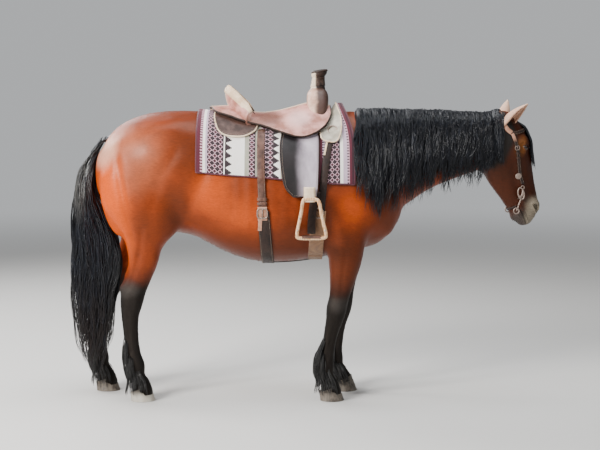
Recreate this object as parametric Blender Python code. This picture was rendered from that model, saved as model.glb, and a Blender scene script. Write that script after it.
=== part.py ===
# A saddled bay horse of the Friesian type, life size, standing at rest on the floor.
# Metres, +Z up. The horse faces +X, its right side is -Y, and it stands on Z = 0.
import math
import random

import bmesh
import bpy
import numpy as np
from mathutils import Matrix, Vector
from mathutils.bvhtree import BVHTree

# Driving dimensions
GAP = 0.0004  # what neighbouring solids keep between them
SKIN_VOXEL = 0.008  # grain of the mesh that fuses the body's forms
SKIN_TRIANGLES = 3200
KEEP_PULL = 0.00003  # how strongly thinning spares the head
LEG_KEEP = 0.1  # and the lower legs, against the head

# Trunk stations: x, top, bottom, half width, height of the widest part (0 bottom, 1 top)
TRUNK = (
    (-1.090, 1.350, 1.060, 0.110, 0.55),
    (-1.045, 1.425, 0.985, 0.185, 0.55),
    (-0.960, 1.490, 0.930, 0.245, 0.55),
    (-0.820, 1.535, 0.895, 0.290, 0.56),
    (-0.620, 1.545, 0.875, 0.290, 0.52),
    (-0.450, 1.525, 0.790, 0.295, 0.45),
    (-0.280, 1.495, 0.735, 0.318, 0.42),
    (-0.100, 1.480, 0.732, 0.318, 0.42),
    (0.060, 1.495, 0.752, 0.295, 0.42),
    (0.190, 1.542, 0.778, 0.262, 0.42),
    (0.300, 1.532, 0.800, 0.238, 0.42),
    (0.400, 1.450, 0.835, 0.212, 0.42),
    (0.470, 1.330, 0.920, 0.165, 0.42),
)
# Neck stations: x, z of the middle, half depth, half width
NECK = (
    (0.200, 1.220, 0.292, 0.200),
    (0.420, 1.275, 0.274, 0.165),
    (0.600, 1.322, 0.217, 0.125),
    (0.780, 1.354, 0.178, 0.102),
    (0.930, 1.374, 0.147, 0.090),
    (1.040, 1.380, 0.127, 0.080),
)
# Head stations along the axis from the poll: s, front, back, half width, level of the widest
POLL = Vector((1.067, 0.0, 1.503))
HEAD_TILT = math.radians(13.5)  # of the face's axis from the vertical
HEAD_TURN = math.radians(11.0)  # towards the horse's left
HEAD = (
    (-0.030, 0.030, -0.110, 0.055, -0.030),
    (0.020, 0.060, -0.150, 0.072, -0.020),
    (0.080, 0.082, -0.172, 0.082, 0.000),
    (0.150, 0.092, -0.188, 0.088, 0.010),
    (0.220, 0.091, -0.196, 0.084, 0.000),
    (0.290, 0.085, -0.182, 0.072, -0.020),
    (0.360, 0.080, -0.152, 0.058, -0.020),
    (0.430, 0.079, -0.120, 0.051, -0.010),
    (0.490, 0.078, -0.098, 0.053, -0.005),
    (0.535, 0.060, -0.086, 0.050, -0.010),
    (0.570, 0.026, -0.062, 0.036, -0.015),
)
# Leg stations: x, z, half depth along the body, half width across it, y from the middle
FORELEG = (
    (0.215, 1.000, 0.115, 0.085, 0.160),
    (0.208, 0.870, 0.110, 0.084, 0.160),
    (0.203, 0.750, 0.092, 0.074, 0.157),
    (0.189, 0.645, 0.070, 0.060, 0.151),
    (0.174, 0.560, 0.056, 0.050, 0.147),
    (0.158, 0.490, 0.056, 0.053, 0.145),
    (0.150, 0.440, 0.050, 0.046, 0.143),
    (0.134, 0.380, 0.0415, 0.0360, 0.141),
    (0.120, 0.310, 0.0385, 0.0325, 0.139),
    (0.108, 0.240, 0.0400, 0.0335, 0.137),
    (0.098, 0.178, 0.0520, 0.0430, 0.136),
    (0.108, 0.125, 0.0400, 0.0395, 0.135),
    (0.122, 0.085, 0.0510, 0.0510, 0.135),
    (0.132, 0.045, 0.0560, 0.0550, 0.135),
    (0.134, 0.015, 0.0560, 0.0550, 0.135),
)
HINDLEG = (
    (-0.860, 1.220, 0.240, 0.120, 0.150),
    (-0.850, 1.080, 0.238, 0.125, 0.160),
    (-0.847, 1.000, 0.212, 0.118, 0.165),
    (-0.848, 0.910, 0.152, 0.102, 0.165),
    (-0.858, 0.830, 0.102, 0.084, 0.158),
    (-0.865, 0.750, 0.083, 0.070, 0.150),
    (-0.888, 0.670, 0.070, 0.056, 0.144),
    (-0.915, 0.600, 0.068, 0.049, 0.140),
    (-0.929, 0.530, 0.063, 0.050, 0.138),
    (-0.938, 0.450, 0.049, 0.042, 0.137),
    (-0.935, 0.360, 0.0425, 0.0350, 0.137),
    (-0.925, 0.260, 0.0415, 0.0350, 0.138),
    (-0.912, 0.185, 0.0530, 0.0440, 0.138),
    (-0.900, 0.130, 0.0410, 0.0405, 0.139),
    (-0.884, 0.085, 0.0520, 0.0520, 0.140),
    (-0.875, 0.045, 0.0570, 0.0560, 0.140),
    (-0.874, 0.015, 0.0570, 0.0560, 0.140),
)
EYE_RADIUS = 0.0215
EYE_PLACE = (0.172, 0.046, 0.0665)  # down the face, forward and sideways, to the eyeball's middle

HEAD_CUT = ((0.975, 1.80), (0.865, 1.00), (1.50, 0.60), (1.50, 1.80))
NECK_CUT = ((0.185, 1.74), (0.620, 0.72), (1.50, 0.72), (1.50, 1.74))
FORE_CUT = ((-0.30, 0.680), (0.70, 0.848), (0.70, -0.3), (-0.30, -0.3))
HIND_CUT = ((-1.40, 0.980), (-0.60, 0.850), (-0.60, -0.3), (-1.40, -0.3))
# Hooves: x and y of the middle of the sole
HOOVES = {
    "fore_leg_right": (0.134, -0.135),
    "fore_leg_left": (0.214, 0.135),
    "hind_leg_right": (-0.874, -0.140),
    "hind_leg_left": (-1.099, 0.140),
}
HOOF_LENGTH, HOOF_WIDTH = 0.067, 0.062  # half length and half width of the sole
HOOF_SIDES = 14
NOSTRIL = (0.505, 0.044, 0.044)
MOUTH_CORNER, MOUTH_FRONT = (0.455, -0.052), (0.572, -0.022)
# Ears: place on the head, lean forward, up and out, and stations of t, radius, opening in degrees
EAR_BASE = (0.036, -0.004, 0.054)
EAR_LEAN = {-1: (0.74, 0.56, 0.37), 1: (0.58, 0.70, 0.40)}
EAR_LENGTH, EAR_THICK = 0.150, 0.005
EAR_STATIONS = (
    (-0.10, 0.022, 90), (0.10, 0.027, 100), (0.34, 0.031, 125), (0.60, 0.027, 145), (0.84, 0.015, 155),
    (1.0, 0.004, 160),
)
LAYER_GAP, UNDER = 1.5 * GAP, 0.04  # between the saddle's layers, and how thick their cutters are
SHELL_LIMIT = 2.5  # how much further a sharp corner moves when a solid is grown
CLOSE_SOLVER = "MANIFOLD"  # for close layers and many locks, where EXACT drops pieces
# Hair
MANE_THICK, TAIL_THICK, FEATHER_THICK, FORELOCK_THICK = 0.0034, 0.0032, 0.0026, 0.0024  # half of a lock's
# How far each lock is turned to lie over the next like a shingle
TAIL_TILT, FEATHER_TILT, FORELOCK_TILT = (math.radians(d) for d in (14, 16, 22))
MANE_START, MANE_END = 0.310, 0.945
MANE_PLACES = (0.08, 0.28, 0.52, 0.76, 1.0)  # shares of the fall at which a lock has a ring
# Layers of the mane: locks, how far off the neck, y of the root, half width and tilt in degrees
MANE_LAYERS = ((6, 0.014, -0.014, 0.056, 6), (9, 0.034, 0.008, 0.044, 9))
# How far the mane falls below the crest, by the place of its root
MANE_FALL = (
    (0.30, 0.50), (0.40, 0.54), (0.48, 0.53), (0.53, 0.47), (0.66, 0.42), (0.84, 0.37), (0.95, 0.35),
    (1.06, 0.33),
)
POLL_LOCKS, POLL_HALF_WIDTH = (0.975, 1.018), 0.028  # where the mane's last locks grow from the head
FORELOCK_COUNT, FORELOCK_STEPS, FORELOCK_LIFT, FORELOCK_HALF_WIDTH = 5, 4, 0.013, 0.016
FEATHER_ROWS = ((3, 0.270, 0.110, 50), (5, 0.185, 0.022, 95))  # locks, root, tip, spread in degrees
FEATHER_STEPS = 2
FEATHER_HALF_WIDTH, FEATHER_REACH = 0.016, 0.079  # and how far round the hoof the feather stands
TAIL_Y, TAIL_DRIFT, TAIL_STEPS = -0.010, 0.026, 6
DOCK_BEND = 1.25  # above this height the dock runs back more than down
# The dock and its core of hair: x, z, half depth, half width
DOCK = (
    (-1.030, 1.395, 0.030, 0.032),
    (-1.085, 1.385, 0.034, 0.036),
    (-1.135, 1.320, 0.036, 0.038),
    (-1.175, 1.220, 0.040, 0.040),
    (-1.190, 1.100, 0.050, 0.042),
    (-1.168, 0.950, 0.062, 0.040),
    (-1.148, 0.800, 0.044, 0.028),
)
# The tail's outline behind and in front, as z and x, and its half width by height
TAIL_BACK = (
    (0.10, -1.140), (0.19, -1.229), (0.27, -1.250), (0.43, -1.261), (0.59, -1.270), (0.91, -1.261),
    (1.07, -1.245), (1.18, -1.229), (1.28, -1.190), (1.37, -1.120), (1.42, -1.080),
)
TAIL_FRONT = (
    (0.10, -1.120), (0.22, -1.073), (0.27, -1.045), (0.49, -1.024), (0.70, -0.998), (0.85, -1.010),
    (0.97, -1.073), (1.09, -1.120), (1.23, -1.125), (1.42, -1.050),
)
TAIL_WIDTH = ((0.10, 0.020), (0.25, 0.056), (0.5, 0.070), (0.9, 0.072), (1.2, 0.060), (1.42, 0.045))
# Tiers of the tail: locks, share of the half width they lie at, roots down the dock, lowest and highest tip
TAIL_TIERS = (
    (3, 0.42, (1.08, 0.98), (0.14, 0.34)),
    (13, 0.90, (1.34, 1.18, 1.26, 1.06), (0.12, 0.38)),
)
TAIL_HALF_WIDTH = (0.033, 0.039)

# Tack
BACK_CENTRE = 1.18  # height that the layers on the back are laid out from
BLANKET_EDGE = ((-0.571, 1.225), (-0.45, 1.213), (-0.20, 1.195), (0.05, 1.170), (0.249, 1.158))
BLANKET_LIFT = 0.014
RIDGE_POWER = 1.4  # crowds the layers' columns towards the ridge of the back
SKIRT_EDGE = (
    (-0.505, 1.500), (-0.480, 1.430), (-0.420, 1.405), (-0.330, 1.403), (-0.270, 1.430), (-0.230, 1.466),
    (0.045, 1.462), (0.075, 1.390), (0.120, 1.374), (0.170, 1.385), (0.207, 1.500),
)
SKIRT_LIFT = 0.021
SEAT_EDGE = (
    (-0.475, 1.530), (-0.445, 1.510), (-0.390, 1.487), (-0.330, 1.466), (-0.232, 1.446), (-0.139, 1.415),
    (-0.035, 1.389), (0.043, 1.404), (0.100, 1.440), (0.130, 1.490),
)
SEAT_LIFT = 0.036
SEAT_TOP = (
    (-0.475, 1.548), (-0.42, 1.556), (-0.34, 1.548), (-0.26, 1.533), (-0.15, 1.546), (-0.01, 1.583),
    (0.05, 1.590), (0.130, 1.570),
)
CANTLE = ((-0.425, 1.662), (-0.292, 1.535))  # x and z of the rim's middle and of its ends
CANTLE_HALF = 0.175
FORK_X, FORK_TOP, FORK_HALF = 0.066, 1.668, 0.140
HORN = (
    (0.064, 1.640, 0.032), (0.067, 1.690, 0.020), (0.069, 1.716, 0.022), (0.070, 1.728, 0.041),
    (0.071, 1.746, 0.044), (0.071, 1.758, 0.036),
)
# Fender: z, rear x, front x
FENDER = (
    (1.440, -0.125, 0.070), (1.360, -0.138, 0.076), (1.250, -0.132, 0.074), (1.150, -0.112, 0.070),
    (1.105, -0.070, 0.062),
)
FENDER_LIFT = 0.026
STIRRUP_Y = 0.372
# Stirrup's middle line in x and z, from the top round by the front
STIRRUP = (
    (0.016, 1.092), (0.050, 1.088), (0.064, 1.068), (0.074, 1.020), (0.086, 0.965), (0.098, 0.918),
    (0.088, 0.899), (0.022, 0.897), (-0.043, 0.899), (-0.052, 0.918), (-0.042, 0.965), (-0.031, 1.020),
    (-0.024, 1.068), (-0.016, 1.088),
)
COLLAR = (1.0993, 1.130, 1.160)  # heights of the leather wrap over the stirrup
STIRRUP_THICK, STIRRUP_TREAD, STIRRUP_NECK = 0.013, 0.058, 0.036
RIGGING_RING = (0.135, 1.440, 0.026, 0.005)  # x, z, radius, wire
# Straps down the side, as x and z
LATIGO = ((0.128, 1.400), (0.105, 1.310), (0.090, 1.200), (0.082, 1.110), (0.074, 1.020))
BILLET = ((-0.238, 1.430), (-0.238, 1.330), (-0.236, 1.220), (-0.232, 1.120), (-0.228, 1.035))
STRAP_THICK = 0.004
# Bridle, in the head's own measures along and in front of its line
BRIDLE_WIDTH = 0.018
CHEEKPIECE = (
    (0.079, -0.011), (0.120, -0.006), (0.180, -0.004), (0.250, -0.012), (0.320, -0.020), (0.372, -0.014),
)
# The bit's cheek, with its half width
BIT = (
    (0.385, -0.010, 0.007), (0.405, -0.018, 0.009), (0.430, -0.030, 0.007), (0.455, -0.048, 0.0055),
    (0.480, -0.064, 0.007), (0.492, -0.072, 0.005),
)

# How far each left leg stands ahead of the right one, by height: z, shift in x
FORE_STEP = ((0.0, 0.080), (0.18, 0.056), (0.48, 0.045), (0.87, 0.0), (1.3, 0.0))
HIND_STEP = (
    (0.0, -0.225), (0.19, -0.232), (0.57, -0.170), (0.83, -0.070), (0.98, -0.015), (1.1, 0.0), (1.3, 0.0),
)


def curve_through(rows, count):
    """Rows of numbers as a smooth curve: count rows read evenly from a Catmull-Rom spline."""
    rows = np.asarray(rows, float)
    ends = np.vstack([2 * rows[0] - rows[1], rows, 2 * rows[-1] - rows[-2]])
    read = []
    for t in np.linspace(0, len(rows) - 1, count):
        i = min(int(t), len(rows) - 2)
        f = t - i
        a, b, c, d = ends[i : i + 4]
        square, cube = 2 * a - 5 * b + 4 * c - d, 3 * b - a - 3 * c + d
        read.append(0.5 * (2 * b + (c - a) * f + square * f**2 + cube * f**3))
    return np.array(read)


def power(value, exponent):
    return math.copysign(abs(value) ** exponent, value)


def oval(centre, side, up, half_width, rise, drop, count, square_up=2.0, square_down=2.0):
    """A ring of points: half_width to each side, rise above the centre and drop below it."""
    ring = []
    for k in range(count):
        angle = 2 * math.pi * k / count
        c, s = math.cos(angle), math.sin(angle)
        square = square_up if s > 0 else square_down
        height = (rise if s > 0 else drop) * power(s, 2 / square)
        ring.append(centre + side * half_width * power(c, 2 / square) + up * height)
    return ring


def new_object(name, mesh, material=None):
    item = bpy.data.objects.new(name, mesh)
    bpy.context.scene.collection.objects.link(item)
    if material:
        mesh.materials.clear()
        mesh.materials.append(material)
    return item


def mesh_from(vertices, faces, name="form"):
    mesh = bpy.data.meshes.new(name)
    mesh.from_pydata([tuple(v) for v in vertices], [], faces)
    mesh.update()
    return mesh


def outward(mesh):
    """Turns every face of a closed mesh outwards."""
    b = bmesh.new()
    b.from_mesh(mesh)
    bmesh.ops.recalc_face_normals(b, faces=b.faces)
    if b.calc_volume(signed=True) < 0:
        bmesh.ops.reverse_faces(b, faces=b.faces)
    b.to_mesh(mesh)
    b.free()
    return mesh


def loft(rings, dome_start=0.0, dome_end=0.0):
    """A closed skin over rings of points. A dome rounds an end over that length."""
    rings = [list(ring) for ring in rings]

    def rounded(first, second, length):
        middle = sum(first, Vector()) / len(first)
        away = (middle - sum(second, Vector()) / len(second)).normalized()
        return [
            [middle + away * length * math.sin(t) + (p - middle) * math.cos(t) for p in first]
            for t in (math.radians(d) for d in (30, 55, 75))
        ]

    if dome_start:
        rings = list(reversed(rounded(rings[0], rings[1], dome_start))) + rings
    if dome_end:
        rings = rings + rounded(rings[-1], rings[-2], dome_end)
    count = len(rings[0])
    vertices = [p for ring in rings for p in ring]
    faces = []
    for i in range(len(rings) - 1):
        for k in range(count):
            a, b = i * count + k, i * count + (k + 1) % count
            faces.append((a, b, b + count, a + count))
    faces.append(tuple(reversed(range(count))))
    last = (len(rings) - 1) * count
    faces.append(tuple(range(last, last + count)))
    return outward(mesh_from(vertices, faces))


def egg(centre, radii, matrix=None, segments=24):
    """An ellipsoid, with its axes turned by matrix."""
    b = bmesh.new()
    bmesh.ops.create_uvsphere(b, u_segments=segments, v_segments=segments // 2, radius=1.0)
    turn = (matrix or Matrix.Identity(3)).to_4x4()
    shape = Matrix.Translation(centre) @ turn @ Matrix.Diagonal((*radii, 1))
    bmesh.ops.transform(b, matrix=shape, verts=b.verts)
    mesh = bpy.data.meshes.new("egg")
    b.to_mesh(mesh)
    b.free()
    return mesh


def spindle(start, end, radius_side, radius_flat, flat_towards):
    """A muscle: an ellipsoid from start to end, flattened along one direction."""
    start, end = Vector(start), Vector(end)
    along = (end - start).normalized()
    flat = Vector(flat_towards)
    flat = (flat - along * flat.dot(along)).normalized()
    turn = Matrix((along, flat.cross(along), flat)).transposed()
    return egg((start + end) / 2, ((end - start).length / 2, radius_side, radius_flat), turn)


# Places in the head's own frame
def head_frame():
    axis = Vector((math.sin(HEAD_TILT), 0, -math.cos(HEAD_TILT)))
    front = Vector((math.cos(HEAD_TILT), 0, math.sin(HEAD_TILT)))
    turn = Matrix.Rotation(HEAD_TURN, 3, "Z")
    return turn @ axis, turn @ front, turn @ Vector((0, 1, 0))


HEAD_AXIS, HEAD_FRONT, HEAD_LEFT = head_frame()


def on_head(s, front, left):
    """The point s down the face from the poll, so far to its front and to the horse's left."""
    return POLL + HEAD_AXIS * s + HEAD_FRONT * front + HEAD_LEFT * left


HEAD_TURNED = Matrix((HEAD_AXIS, HEAD_LEFT, HEAD_FRONT)).transposed()


def eye_centre(side):
    """The middle of an eyeball. side is 1 for the left eye and -1 for the right one."""
    return on_head(EYE_PLACE[0], EYE_PLACE[1], side * EYE_PLACE[2])


def trunk():
    rings = []
    for x, top, bottom, half, widest in curve_through(TRUNK, 30):
        middle = bottom + (top - bottom) * widest
        withers = math.exp(-(((x - 0.20) / 0.16) ** 2))
        rings.append(
            oval(
                Vector((x, 0, middle)), Vector((0, 1, 0)), Vector((0, 0, 1)), half,
                top - middle, middle - bottom, 32, 2.15 - 0.45 * withers, 2.2,
            )
        )
    return loft(rings, 0.045, 0.05)


def neck():
    rows = curve_through(NECK, 14)
    rings = []
    for i, (x, z, depth, half) in enumerate(rows):
        before, after = rows[max(i - 1, 0)], rows[min(i + 1, len(rows) - 1)]
        along = Vector((after[0] - before[0], 0, after[1] - before[1])).normalized()
        up = Vector((-along.z, 0, along.x))
        middle = Vector((x, 0, z)) - up * depth * 0.12
        rings.append(oval(middle, Vector((0, 1, 0)), up, half, depth * 1.12, depth * 0.88, 28, 1.75, 2.2))
    return loft(rings, 0.02, 0.02)


def head():
    rings = []
    for s, front, back, half, level in curve_through(HEAD, 26):
        bone = max(0.0, min(1.0, (s - 0.2) / 0.15)) * max(0.0, min(1.0, (0.52 - s) / 0.08))
        rings.append(
            oval(
                on_head(s, level, 0), HEAD_LEFT, HEAD_FRONT, half, front - level, level - back,
                28, 2.1 + 0.5 * bone, 2.2,
            )
        )
    return loft(rings, 0.02, 0.022)


def leg_point(steps, left, row):
    """A leg station's middle for the right leg, or for the left one with its own step."""
    x, z, _, _, y = row
    if left:
        x += float(np.interp(z, [s[0] for s in steps], [s[1] for s in steps]))
    return Vector((x, y if left else -y, z))


def leg(stations, steps, left):
    rows = curve_through(stations, 3 * len(stations))
    middles = [leg_point(steps, left, row) for row in rows]
    rings = []
    for i, row in enumerate(rows):
        along = (middles[min(i + 1, len(rows) - 1)] - middles[max(i - 1, 0)]).normalized()
        side = Vector((0, 1, 0))
        fore = side.cross(along).normalized()
        rings.append(oval(middles[i], fore, side, row[2], row[3], row[3], 20, 2.1, 2.1))
    return loft(rings, 0.03, 0.0)


def body_forms():
    """Every closed form whose union is the horse's body, without hair, ears and hooves."""
    forms = [trunk(), neck(), head()]
    for left in (False, True):
        y = 1 if left else -1
        out = (0, y, 0)
        forms.append(leg(FORELEG, FORE_STEP, left))
        forms.append(leg(HINDLEG, HIND_STEP, left))
        hock_x = -0.17 if left else 0.0
        knee_x = 0.045 if left else 0.0
        forms += [
            # croup, thigh and buttock
            spindle((-0.50, y * 0.12, 1.43), (-1.10, y * 0.09, 1.25), 0.16, 0.16, out),
            spindle((-0.98, y * 0.13, 1.42), (-0.76, y * 0.16, 0.90), 0.19, 0.13, out),
            spindle((-1.02, y * 0.085, 1.42), (-0.985 + hock_x * 0.3, y * 0.130, 0.84), 0.105, 0.100, out),
            spindle((-0.54, y * 0.17, 1.42), (-0.70, y * 0.16, 0.95), 0.10, 0.11, out),
            # stifle and point of the hip
            egg(Vector((-0.750 + hock_x * 0.1, y * 0.165, 0.955)), (0.085, 0.080, 0.095)),
            egg(Vector((-0.590, y * 0.180, 1.395)), (0.100, 0.065, 0.065)),
            # shoulder blade, upper arm and the muscle behind it
            spindle((0.17, y * 0.09, 1.47), (0.42, y * 0.13, 1.00), 0.115, 0.100, out),
            spindle((0.44, y * 0.110, 1.08), (0.16, y * 0.165, 0.86), 0.095, 0.088, out),
            spindle((0.05, y * 0.14, 1.22), (0.15, y * 0.160, 0.78), 0.110, 0.095, out),
            # breast
            egg(Vector((0.400, y * 0.080, 0.990)), (0.088, 0.090, 0.130)),
            # forearm and gaskin bellies
            spindle(
                (0.240 + knee_x * 0.1, y * 0.168, 0.92), (0.200 + knee_x * 0.7, y * 0.158, 0.57),
                0.058, 0.054, out),
            spindle(
                (-0.79 + hock_x * 0.2, y * 0.182, 0.94), (-0.865 + hock_x * 0.6, y * 0.158, 0.65),
                0.058, 0.050, out),
            # elbow and point of the hock
            egg(Vector((0.110, y * 0.165, 0.865)), (0.040, 0.040, 0.055)),
            spindle(
                (-0.880 + hock_x * 0.7, y * 0.147, 0.84), (-0.978 + hock_x, y * 0.140, 0.565),
                0.027, 0.026, out),
            egg(Vector((-0.968 + hock_x, y * 0.140, 0.598)), (0.028, 0.028, 0.036)),
        ]
        # cheek, brow, cheekbone, nostril wing, and the muscles that join head and neck
        forms += [
            egg(on_head(0.205, -0.075, y * 0.036), (0.125, 0.049, 0.118), HEAD_TURNED),
            egg(on_head(0.150, 0.046, y * 0.056), (0.062, 0.036, 0.036), HEAD_TURNED),
            egg(on_head(0.280, 0.000, y * 0.050), (0.110, 0.019, 0.026), HEAD_TURNED),
            egg(on_head(0.490, 0.040, y * 0.036), (0.040, 0.026, 0.036), HEAD_TURNED),
            egg(on_head(0.528, 0.010, y * 0.020), (0.042, 0.030, 0.038), HEAD_TURNED),
            spindle((0.80, y * 0.030, 1.44), on_head(0.08, -0.06, y * 0.035), 0.070, 0.045, out),
            # lids
            egg(eye_centre(y), (0.036, 0.024, 0.028), HEAD_TURNED),
        ]
    forms.append(egg(on_head(0.522, -0.066, 0), (0.036, 0.036, 0.030), HEAD_TURNED))
    return forms


def joined(forms, name):
    """One mesh object that holds all the forms, still overlapping."""
    b = bmesh.new()
    for mesh in forms:
        b.from_mesh(mesh)
        bpy.data.meshes.remove(mesh)
    mesh = bpy.data.meshes.new(name)
    b.to_mesh(mesh)
    b.free()
    return new_object(name, mesh)


def applied(item):
    """The object with its modifiers made real."""
    graph = bpy.context.evaluated_depsgraph_get()
    mesh = bpy.data.meshes.new_from_object(item.evaluated_get(graph))
    item.modifiers.clear()
    old = item.data
    item.data = mesh
    bpy.data.meshes.remove(old)
    return item


def coordinates(mesh):
    co = np.empty(len(mesh.vertices) * 3)
    mesh.vertices.foreach_get("co", co)
    return co.reshape(-1, 3)


def edge_ends(mesh):
    ends = np.empty(len(mesh.edges) * 2, np.int64)
    mesh.edges.foreach_get("vertices", ends)
    return ends.reshape(-1, 2)


def relax(mesh, softness, firmness, rounds):
    """Smooths a mesh by each point's own softness. A firm point is pushed back, so it doesn't shrink."""
    co, ends = coordinates(mesh), edge_ends(mesh)
    valence = np.bincount(ends.ravel(), minlength=len(co))[:, None]
    for step in range(rounds):
        pull = softness if step % 2 == 0 else -firmness * softness
        total = np.zeros_like(co)
        for axis in range(3):
            total[:, axis] = np.bincount(ends[:, 0], co[ends[:, 1], axis], len(co))
            total[:, axis] += np.bincount(ends[:, 1], co[ends[:, 0], axis], len(co))
        co += (total / valence - co) * pull[:, None]
    mesh.vertices.foreach_set("co", co.ravel())
    mesh.update()


def head_local(co):
    """Points as (s, front, left) in the head's frame."""
    rel = co - np.array(POLL)
    return np.stack([rel @ np.array(HEAD_AXIS), rel @ np.array(HEAD_FRONT), rel @ np.array(HEAD_LEFT)], 1)


def step_up(values, low, high):
    t = np.clip((values - low) / (high - low), 0, 1)
    return t * t * (3 - 2 * t)


def make_skin():
    """The whole horse's body as one smooth closed mesh, finer on the head and feet."""
    skin = joined(body_forms(), "skin")
    remesh = skin.modifiers.new("fuse", "REMESH")
    remesh.mode = "VOXEL"
    remesh.voxel_size = SKIN_VOXEL
    applied(skin)
    mesh = skin.data
    co = coordinates(mesh)
    s, front, left = head_local(co).T
    on_face = step_up(s, -0.02, 0.10) * step_up(co[:, 0], 0.88, 0.98)
    cheek = step_up(-front, 0.0, 0.06) * (1 - step_up(s, 0.26, 0.34))
    low_leg = 1 - step_up(co[:, 2], 0.62, 0.90)
    fine = np.maximum(on_face * (1 - 0.8 * cheek), low_leg)
    relax(mesh, 0.62 * (1 - 0.6 * fine), 0.25 + 0.7 * fine, 70)
    return skin


def thinned(item, triangles, keep=None):
    """Collapses a mesh to about that many triangles, fewer where the weights in keep are 0."""
    reduce = item.modifiers.new("thin", "DECIMATE")
    item.data.calc_loop_triangles()
    reduce.ratio = triangles / len(item.data.loop_triangles)
    if keep is not None:
        group = item.vertex_groups.new(name="keep")
        for level in np.unique(np.round(keep, 1)):
            members = np.nonzero(np.round(keep, 1) == level)[0]
            group.add([int(i) for i in members], float(level), "REPLACE")
        reduce.vertex_group = "keep"
        reduce.invert_vertex_group = True
        reduce.vertex_group_factor = KEEP_PULL
    applied(item)
    item.vertex_groups.clear()
    return item


def finish(name, colour, roughness, metallic=0.0):
    """A plain material."""
    material = bpy.data.materials.new(name)
    material.use_nodes = True
    shader = material.node_tree.nodes["Principled BSDF"]
    shader.inputs["Base Color"].default_value = (*colour, 1)
    shader.inputs["Roughness"].default_value = roughness
    shader.inputs["Metallic"].default_value = metallic
    material.diffuse_color = (*colour, 1)
    return material


# Cutting and joining
def boolean(item, other, operation, solver="EXACT"):
    """Applies a Boolean with another object, or with all that a collection holds."""
    cut = item.modifiers.new("boolean", "BOOLEAN")
    cut.operation = operation
    cut.solver = solver
    if isinstance(other, bpy.types.Collection):
        cut.operand_type = "COLLECTION"
        cut.collection = other
    else:
        cut.object = other
    return applied(item)


def largest(item):
    """Keeps only the closed surface that covers most, which fills sealed hollows and drops scraps."""
    b = bmesh.new()
    b.from_mesh(item.data)
    left, parts = set(b.faces), []
    while left:
        island, todo = set(), [left.pop()]
        while todo:
            face = todo.pop()
            island.add(face)
            for edge in face.edges:
                for other in edge.link_faces:
                    if other in left:
                        left.remove(other)
                        todo.append(other)
        parts.append(island)
    parts.sort(key=lambda island: -sum(face.calc_area() for face in island))
    spare = [face for island in parts[1:] for face in island]
    bmesh.ops.delete(b, geom=spare, context="FACES")
    b.to_mesh(item.data)
    b.free()
    return item


def removed(item):
    mesh = item.data
    bpy.data.objects.remove(item)
    bpy.data.meshes.remove(mesh)


def prism(outline, y_low, y_high):
    """A block with a convex outline of (x, z) points, from y_low to y_high."""
    count = len(outline)
    vertices = [Vector((x, y, z)) for y in (y_low, y_high) for x, z in outline]
    faces = [tuple(range(count)), tuple(range(count, 2 * count))]
    faces += [(k, (k + 1) % count, count + (k + 1) % count, count + k) for k in range(count)]
    return new_object("cutter", outward(mesh_from(vertices, faces)))


def duplicate(item, name):
    return new_object(name, item.data.copy())


def split(item, name, outline, y_low, y_high, shift):
    """Cuts a piece off an object along a block. The block moves by shift to leave the gap."""
    cutter = prism(outline, y_low, y_high)
    piece = boolean(duplicate(item, name), cutter, "INTERSECT")
    cutter.data.transform(Matrix.Translation(shift))
    boolean(item, cutter, "DIFFERENCE")
    removed(cutter)
    return piece


def grown(item, distance):
    """A copy whose faces lie further out."""
    copy = duplicate(item, "cutter")
    b = bmesh.new()
    b.from_mesh(copy.data)
    moves = [v.normal * distance * min(v.calc_shell_factor(), SHELL_LIMIT) for v in b.verts]
    for v, move in zip(b.verts, moves):
        v.co += move
    b.to_mesh(copy.data)
    b.free()
    return copy


def carved(item, *neighbours):
    """Cuts an object back to leave the gap to what it lies against."""
    for neighbour in neighbours:
        cutter = grown(neighbour, 1.5 * GAP)
        boolean(item, cutter, "DIFFERENCE", CLOSE_SOLVER)
        removed(cutter)
    for neighbour in neighbours:
        boolean(item, neighbour, "DIFFERENCE", CLOSE_SOLVER)
    return largest(item)


def fused(item, meshes):
    """Joins closed meshes to an object with one Boolean union on a collection."""
    group = bpy.data.collections.new("pieces")
    bpy.context.scene.collection.children.link(group)
    for mesh in meshes:
        group.objects.link(bpy.data.objects.new("piece", mesh))
    boolean(item, group, "UNION", CLOSE_SOLVER)
    for piece in list(group.objects):
        removed(piece)
    bpy.data.collections.remove(group)
    return largest(item)


def tree_of(item):
    mesh = item.data
    mesh.calc_loop_triangles()
    return BVHTree.FromPolygons([v.co for v in mesh.vertices], [t.vertices for t in mesh.loop_triangles])


# Locks of hair
def lock(path, outs, half_width, half_thick, tilt, rise=0.35):
    """A flat tapered lock: a ring of four points at each place but the last, which is its tip.

    Each lock is turned about its length by tilt, so that it lies over its neighbour like a shingle.
    """
    rings, last = [], len(path) - 1
    for i in range(last):
        t = i / last
        along = (path[i + 1] - path[max(i - 1, 0)]).normalized()
        side = along.cross(outs[i]).normalized()
        out = side.cross(along)
        c, s = math.cos(tilt), math.sin(tilt)
        side, out = side * c + out * s, out * c - side * s
        swell = (0.5 + 0.5 * min(1, t / rise)) * (1 - max(0, (t - rise) / (1 - rise)) ** 1.6 * 0.72)
        wide, thick = half_width * swell, half_thick * (0.55 + 0.45 * swell)
        p = path[i]
        rings.append([p + side * wide, p + out * thick, p - side * wide, p - out * thick])
    vertices = [p for ring in rings for p in ring] + [path[-1]]
    faces = [(0, 1, 2), (0, 2, 3)]
    for i in range(last - 1):
        for k in range(4):
            a, b = 4 * i + k, 4 * i + (k + 1) % 4
            faces += [(a, b, b + 4), (a, b + 4, a + 4)]
    tip, base = len(vertices) - 1, 4 * (last - 1)
    faces += [(base + k, base + (k + 1) % 4, tip) for k in range(4)]
    return outward(mesh_from(vertices, faces))


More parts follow.
